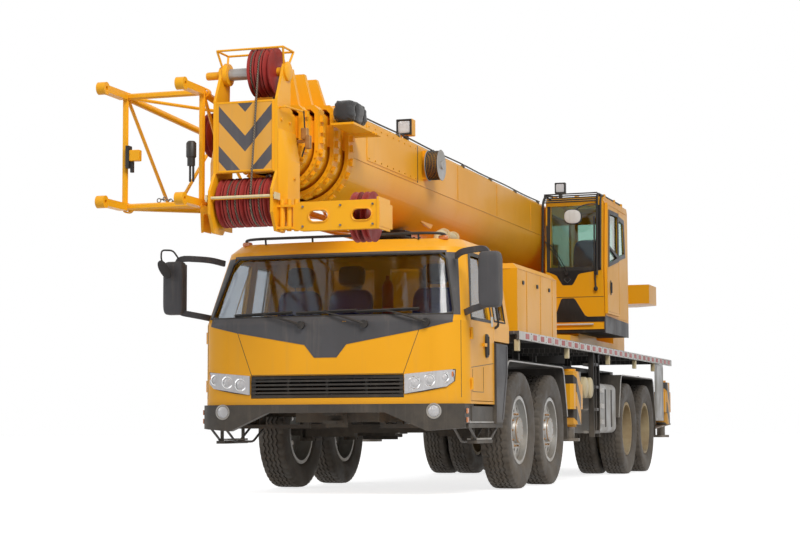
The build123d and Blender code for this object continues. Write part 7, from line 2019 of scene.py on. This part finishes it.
class CraneStageSizes(bpy.types.PropertyGroup):
    """The stage: camera, lamps and floor."""

    camera_from_middle: bpy.props.FloatVectorProperty(
        name="Camera place", description="From the middle of the object's foot, in metres",
        default=(6.0855, -21.3223, 0.6652), subtype="TRANSLATION", unit="LENGTH",
    )
    camera_turn: bpy.props.FloatVectorProperty(
        name="Camera turn", description="Tilt, roll and turn of the camera",
        default=(1.657196, 0.0042, 0.3123), subtype="EULER",
    )
    lens: bpy.props.FloatProperty(
        name="Lens", description="Focal length in millimetres", default=82.6, min=10
    )
    key_power: bpy.props.FloatProperty(
        name="Key lamp", description="Power of the large lamp on the left", default=2500.0, min=0,
        unit="POWER",
    )
    fill_power: bpy.props.FloatProperty(
        name="Fill lamp", description="Power of the lamp on the right", default=520.0, min=0, unit="POWER"
    )
    sky: bpy.props.FloatProperty(
        name="Sky", description="Strength of the light from all round", default=0.30, min=0
    )
    floor_glow: bpy.props.FloatProperty(
        name="Floor glow", description="Light of the floor's own, so that it meets the background",
        default=0.78, min=0,
    )
    floor: bpy.props.FloatVectorProperty(
        name="Floor", description="Colour of the floor", default=(0.60, 0.60, 0.61), subtype="COLOR"
    )


class CRANE_OT_finishes(bpy.types.Operator):
    """Gives each CAD node its finish"""

    bl_idname = "crane.finishes"
    bl_label = "Finishes"

    def execute(self, context):
        for make in (grain_group, wear_group, dust_group, streak_group, stripe_group, plate_group):
            make()
        for node, piece in frame["nodes"].items():
            name = NODE_FINISH.get(node, SLOT_FINISH[SLOT_OF[node]])
            for place in range(max(1, len(piece.material_slots))):
                if not piece.material_slots:
                    piece.data.materials.append(finish(name))
                piece.material_slots[place].material = finish(name)
        return {"FINISHED"}


class CRANE_OT_stage(bpy.types.Operator):
    """Sets the floor, the lamps, the sky and the camera"""

    bl_idname = "crane.stage"
    bl_label = "Stage and camera"

    def execute(self, context):
        sizes = context.scene.crane_stage
        scene = context.scene
        scene.view_settings.view_transform = "Standard"
        material, tree, shader = surface("pale_floor")
        where, _ = place_xyz(tree)
        patches = noise(tree, where, 0.7, 3.0)
        low = (*(0.96 * part for part in sizes.floor), 1)
        shade = blend(tree, patches, (*sizes.floor, 1), low)
        tree.links.new(shade, shader["Base Color"])
        shader["Roughness"].default_value = 0.7
        shader["Emission Color"].default_value = (1.0, 1.0, 1.0, 1)
        ray = add(tree, "ShaderNodeLightPath").outputs
        seen = maths(tree, "MAXIMUM", ray["Is Camera Ray"], maths(
            tree, "MAXIMUM", ray["Is Glossy Ray"], ray["Is Transmission Ray"]
        ))
        tree.links.new(maths(tree, "MULTIPLY", seen, sizes.floor_glow), shader["Emission Strength"])
        reach, rows = FLOOR_REACH, 9
        span = np.linspace(-reach, reach, rows)
        points = np.stack([
            *np.meshgrid(span, span, indexing="ij"), np.full((rows, rows), LOW[2] - 0.002)
        ], axis=-1)
        verts, groups = lattice(points)
        mesh = bpy.data.meshes.new("floor")
        mesh.from_pydata(verts.tolist(), [], groups[0][:, ::-1].tolist())
        mesh.materials.append(material)
        floor = bpy.data.objects.new("floor", mesh)
        scene.collection.objects.link(floor)
        floor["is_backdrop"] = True

        world = bpy.data.worlds.new("soft_sky")
        scene.world = world
        world.use_nodes = True
        sky = world.node_tree
        ray = add(sky, "ShaderNodeLightPath").outputs
        seen = maths(sky, "MAXIMUM", ray["Is Camera Ray"], maths(
            sky, "MAXIMUM", ray["Is Glossy Ray"], ray["Is Transmission Ray"]
        ))
        strength = add(
            sky, "ShaderNodeMix", {"data_type": "FLOAT"}, i0=seen, i2=sizes.sky, i3=1.0
        ).outputs[0]
        back = sky.nodes["Background"].inputs
        back["Color"].default_value = (1.0, 1.0, 1.0, 1)
        sky.links.new(strength, back["Strength"])

        lamps = (
            ("key_lamp", (9.0, -15.0, 14.0), 9.0, sizes.key_power, (1.0, 0.97, 0.93)),
            ("fill_lamp", (-13.0, -12.0, 8.0), 8.0, sizes.fill_power, (0.95, 0.97, 1.0)),
        )
        middle = (LOW + HIGH) / 2
        for name, place, width, power, colour in lamps:
            data = bpy.data.lights.new(name, "AREA")
            data.shape, data.size, data.energy, data.color = "DISK", width, power, colour
            lamp = bpy.data.objects.new(name, data)
            scene.collection.objects.link(lamp)
            lamp.location = place
            lamp.rotation_euler = (Vector(middle) - Vector(place)).to_track_quat("-Z", "Y").to_euler()

        camera_data = bpy.data.cameras.new("camera")
        camera_data.lens = sizes.lens
        camera_data.sensor_width = 36.0
        camera_data.clip_end = 400.0
        camera = bpy.data.objects.new("camera", camera_data)
        scene.collection.objects.link(camera)
        camera.location = sizes.camera_from_middle
        camera.rotation_euler = sizes.camera_turn
        scene.camera = camera
        return {"FINISHED"}


class CRANE_PT_pieces(bpy.types.Panel):
    """Lists the crane's pieces and their sizes"""

    bl_label = "Mobile crane"
    bl_idname = "CRANE_PT_pieces"
    bl_space_type = "VIEW_3D"
    bl_region_type = "UI"
    bl_category = "Crane"

    def draw(self, context):
        for _, store in PROPERTY_GROUPS:
            box = self.layout.box()
            sizes = getattr(context.scene, store)
            for name in sizes.bl_rna.properties.keys():
                if name not in ("rna_type", "name"):
                    box.prop(sizes, name)
        for operator in OPERATORS:
            self.layout.operator(operator.bl_idname)


PROPERTY_GROUPS = (
    (CraneTyreSizes, "crane_tyre"),
    (CraneCabSizes, "crane_cab"),
    (CraneBoomSizes, "crane_boom"),
    (CraneOperatorSizes, "crane_operator"),
    (CraneDeckSizes, "crane_deck"),
    (CraneStageSizes, "crane_stage"),
)
OPERATORS = (
    CRANE_OT_finishes,
    CRANE_OT_tyres,
    CRANE_OT_cab,
    CRANE_OT_head,
    CRANE_OT_collars,
    CRANE_OT_boom,
    CRANE_OT_jib,
    CRANE_OT_crane_cab,
    CRANE_OT_mirrors,
    CRANE_OT_deck,
    CRANE_OT_sides,
    CRANE_OT_stage,
)


def register():
    """Registers the groups of sizes, the operators and the panel."""
    for group, store in PROPERTY_GROUPS:
        bpy.utils.register_class(group)
        setattr(bpy.types.Scene, store, bpy.props.PointerProperty(type=group))
    for operator in OPERATORS:
        bpy.utils.register_class(operator)
    bpy.utils.register_class(CRANE_PT_pieces)


def unregister():
    """Takes away what register added, in reverse order."""
    bpy.utils.unregister_class(CRANE_PT_pieces)
    for operator in reversed(OPERATORS):
        bpy.utils.unregister_class(operator)
    for group, store in reversed(PROPERTY_GROUPS):
        delattr(bpy.types.Scene, store)
        bpy.utils.unregister_class(group)


def main():
    register()
    for operator in OPERATORS:
        family, name = operator.bl_idname.split(".")
        getattr(getattr(bpy.ops, family), name)()


if __name__ == "__main__":
    main()
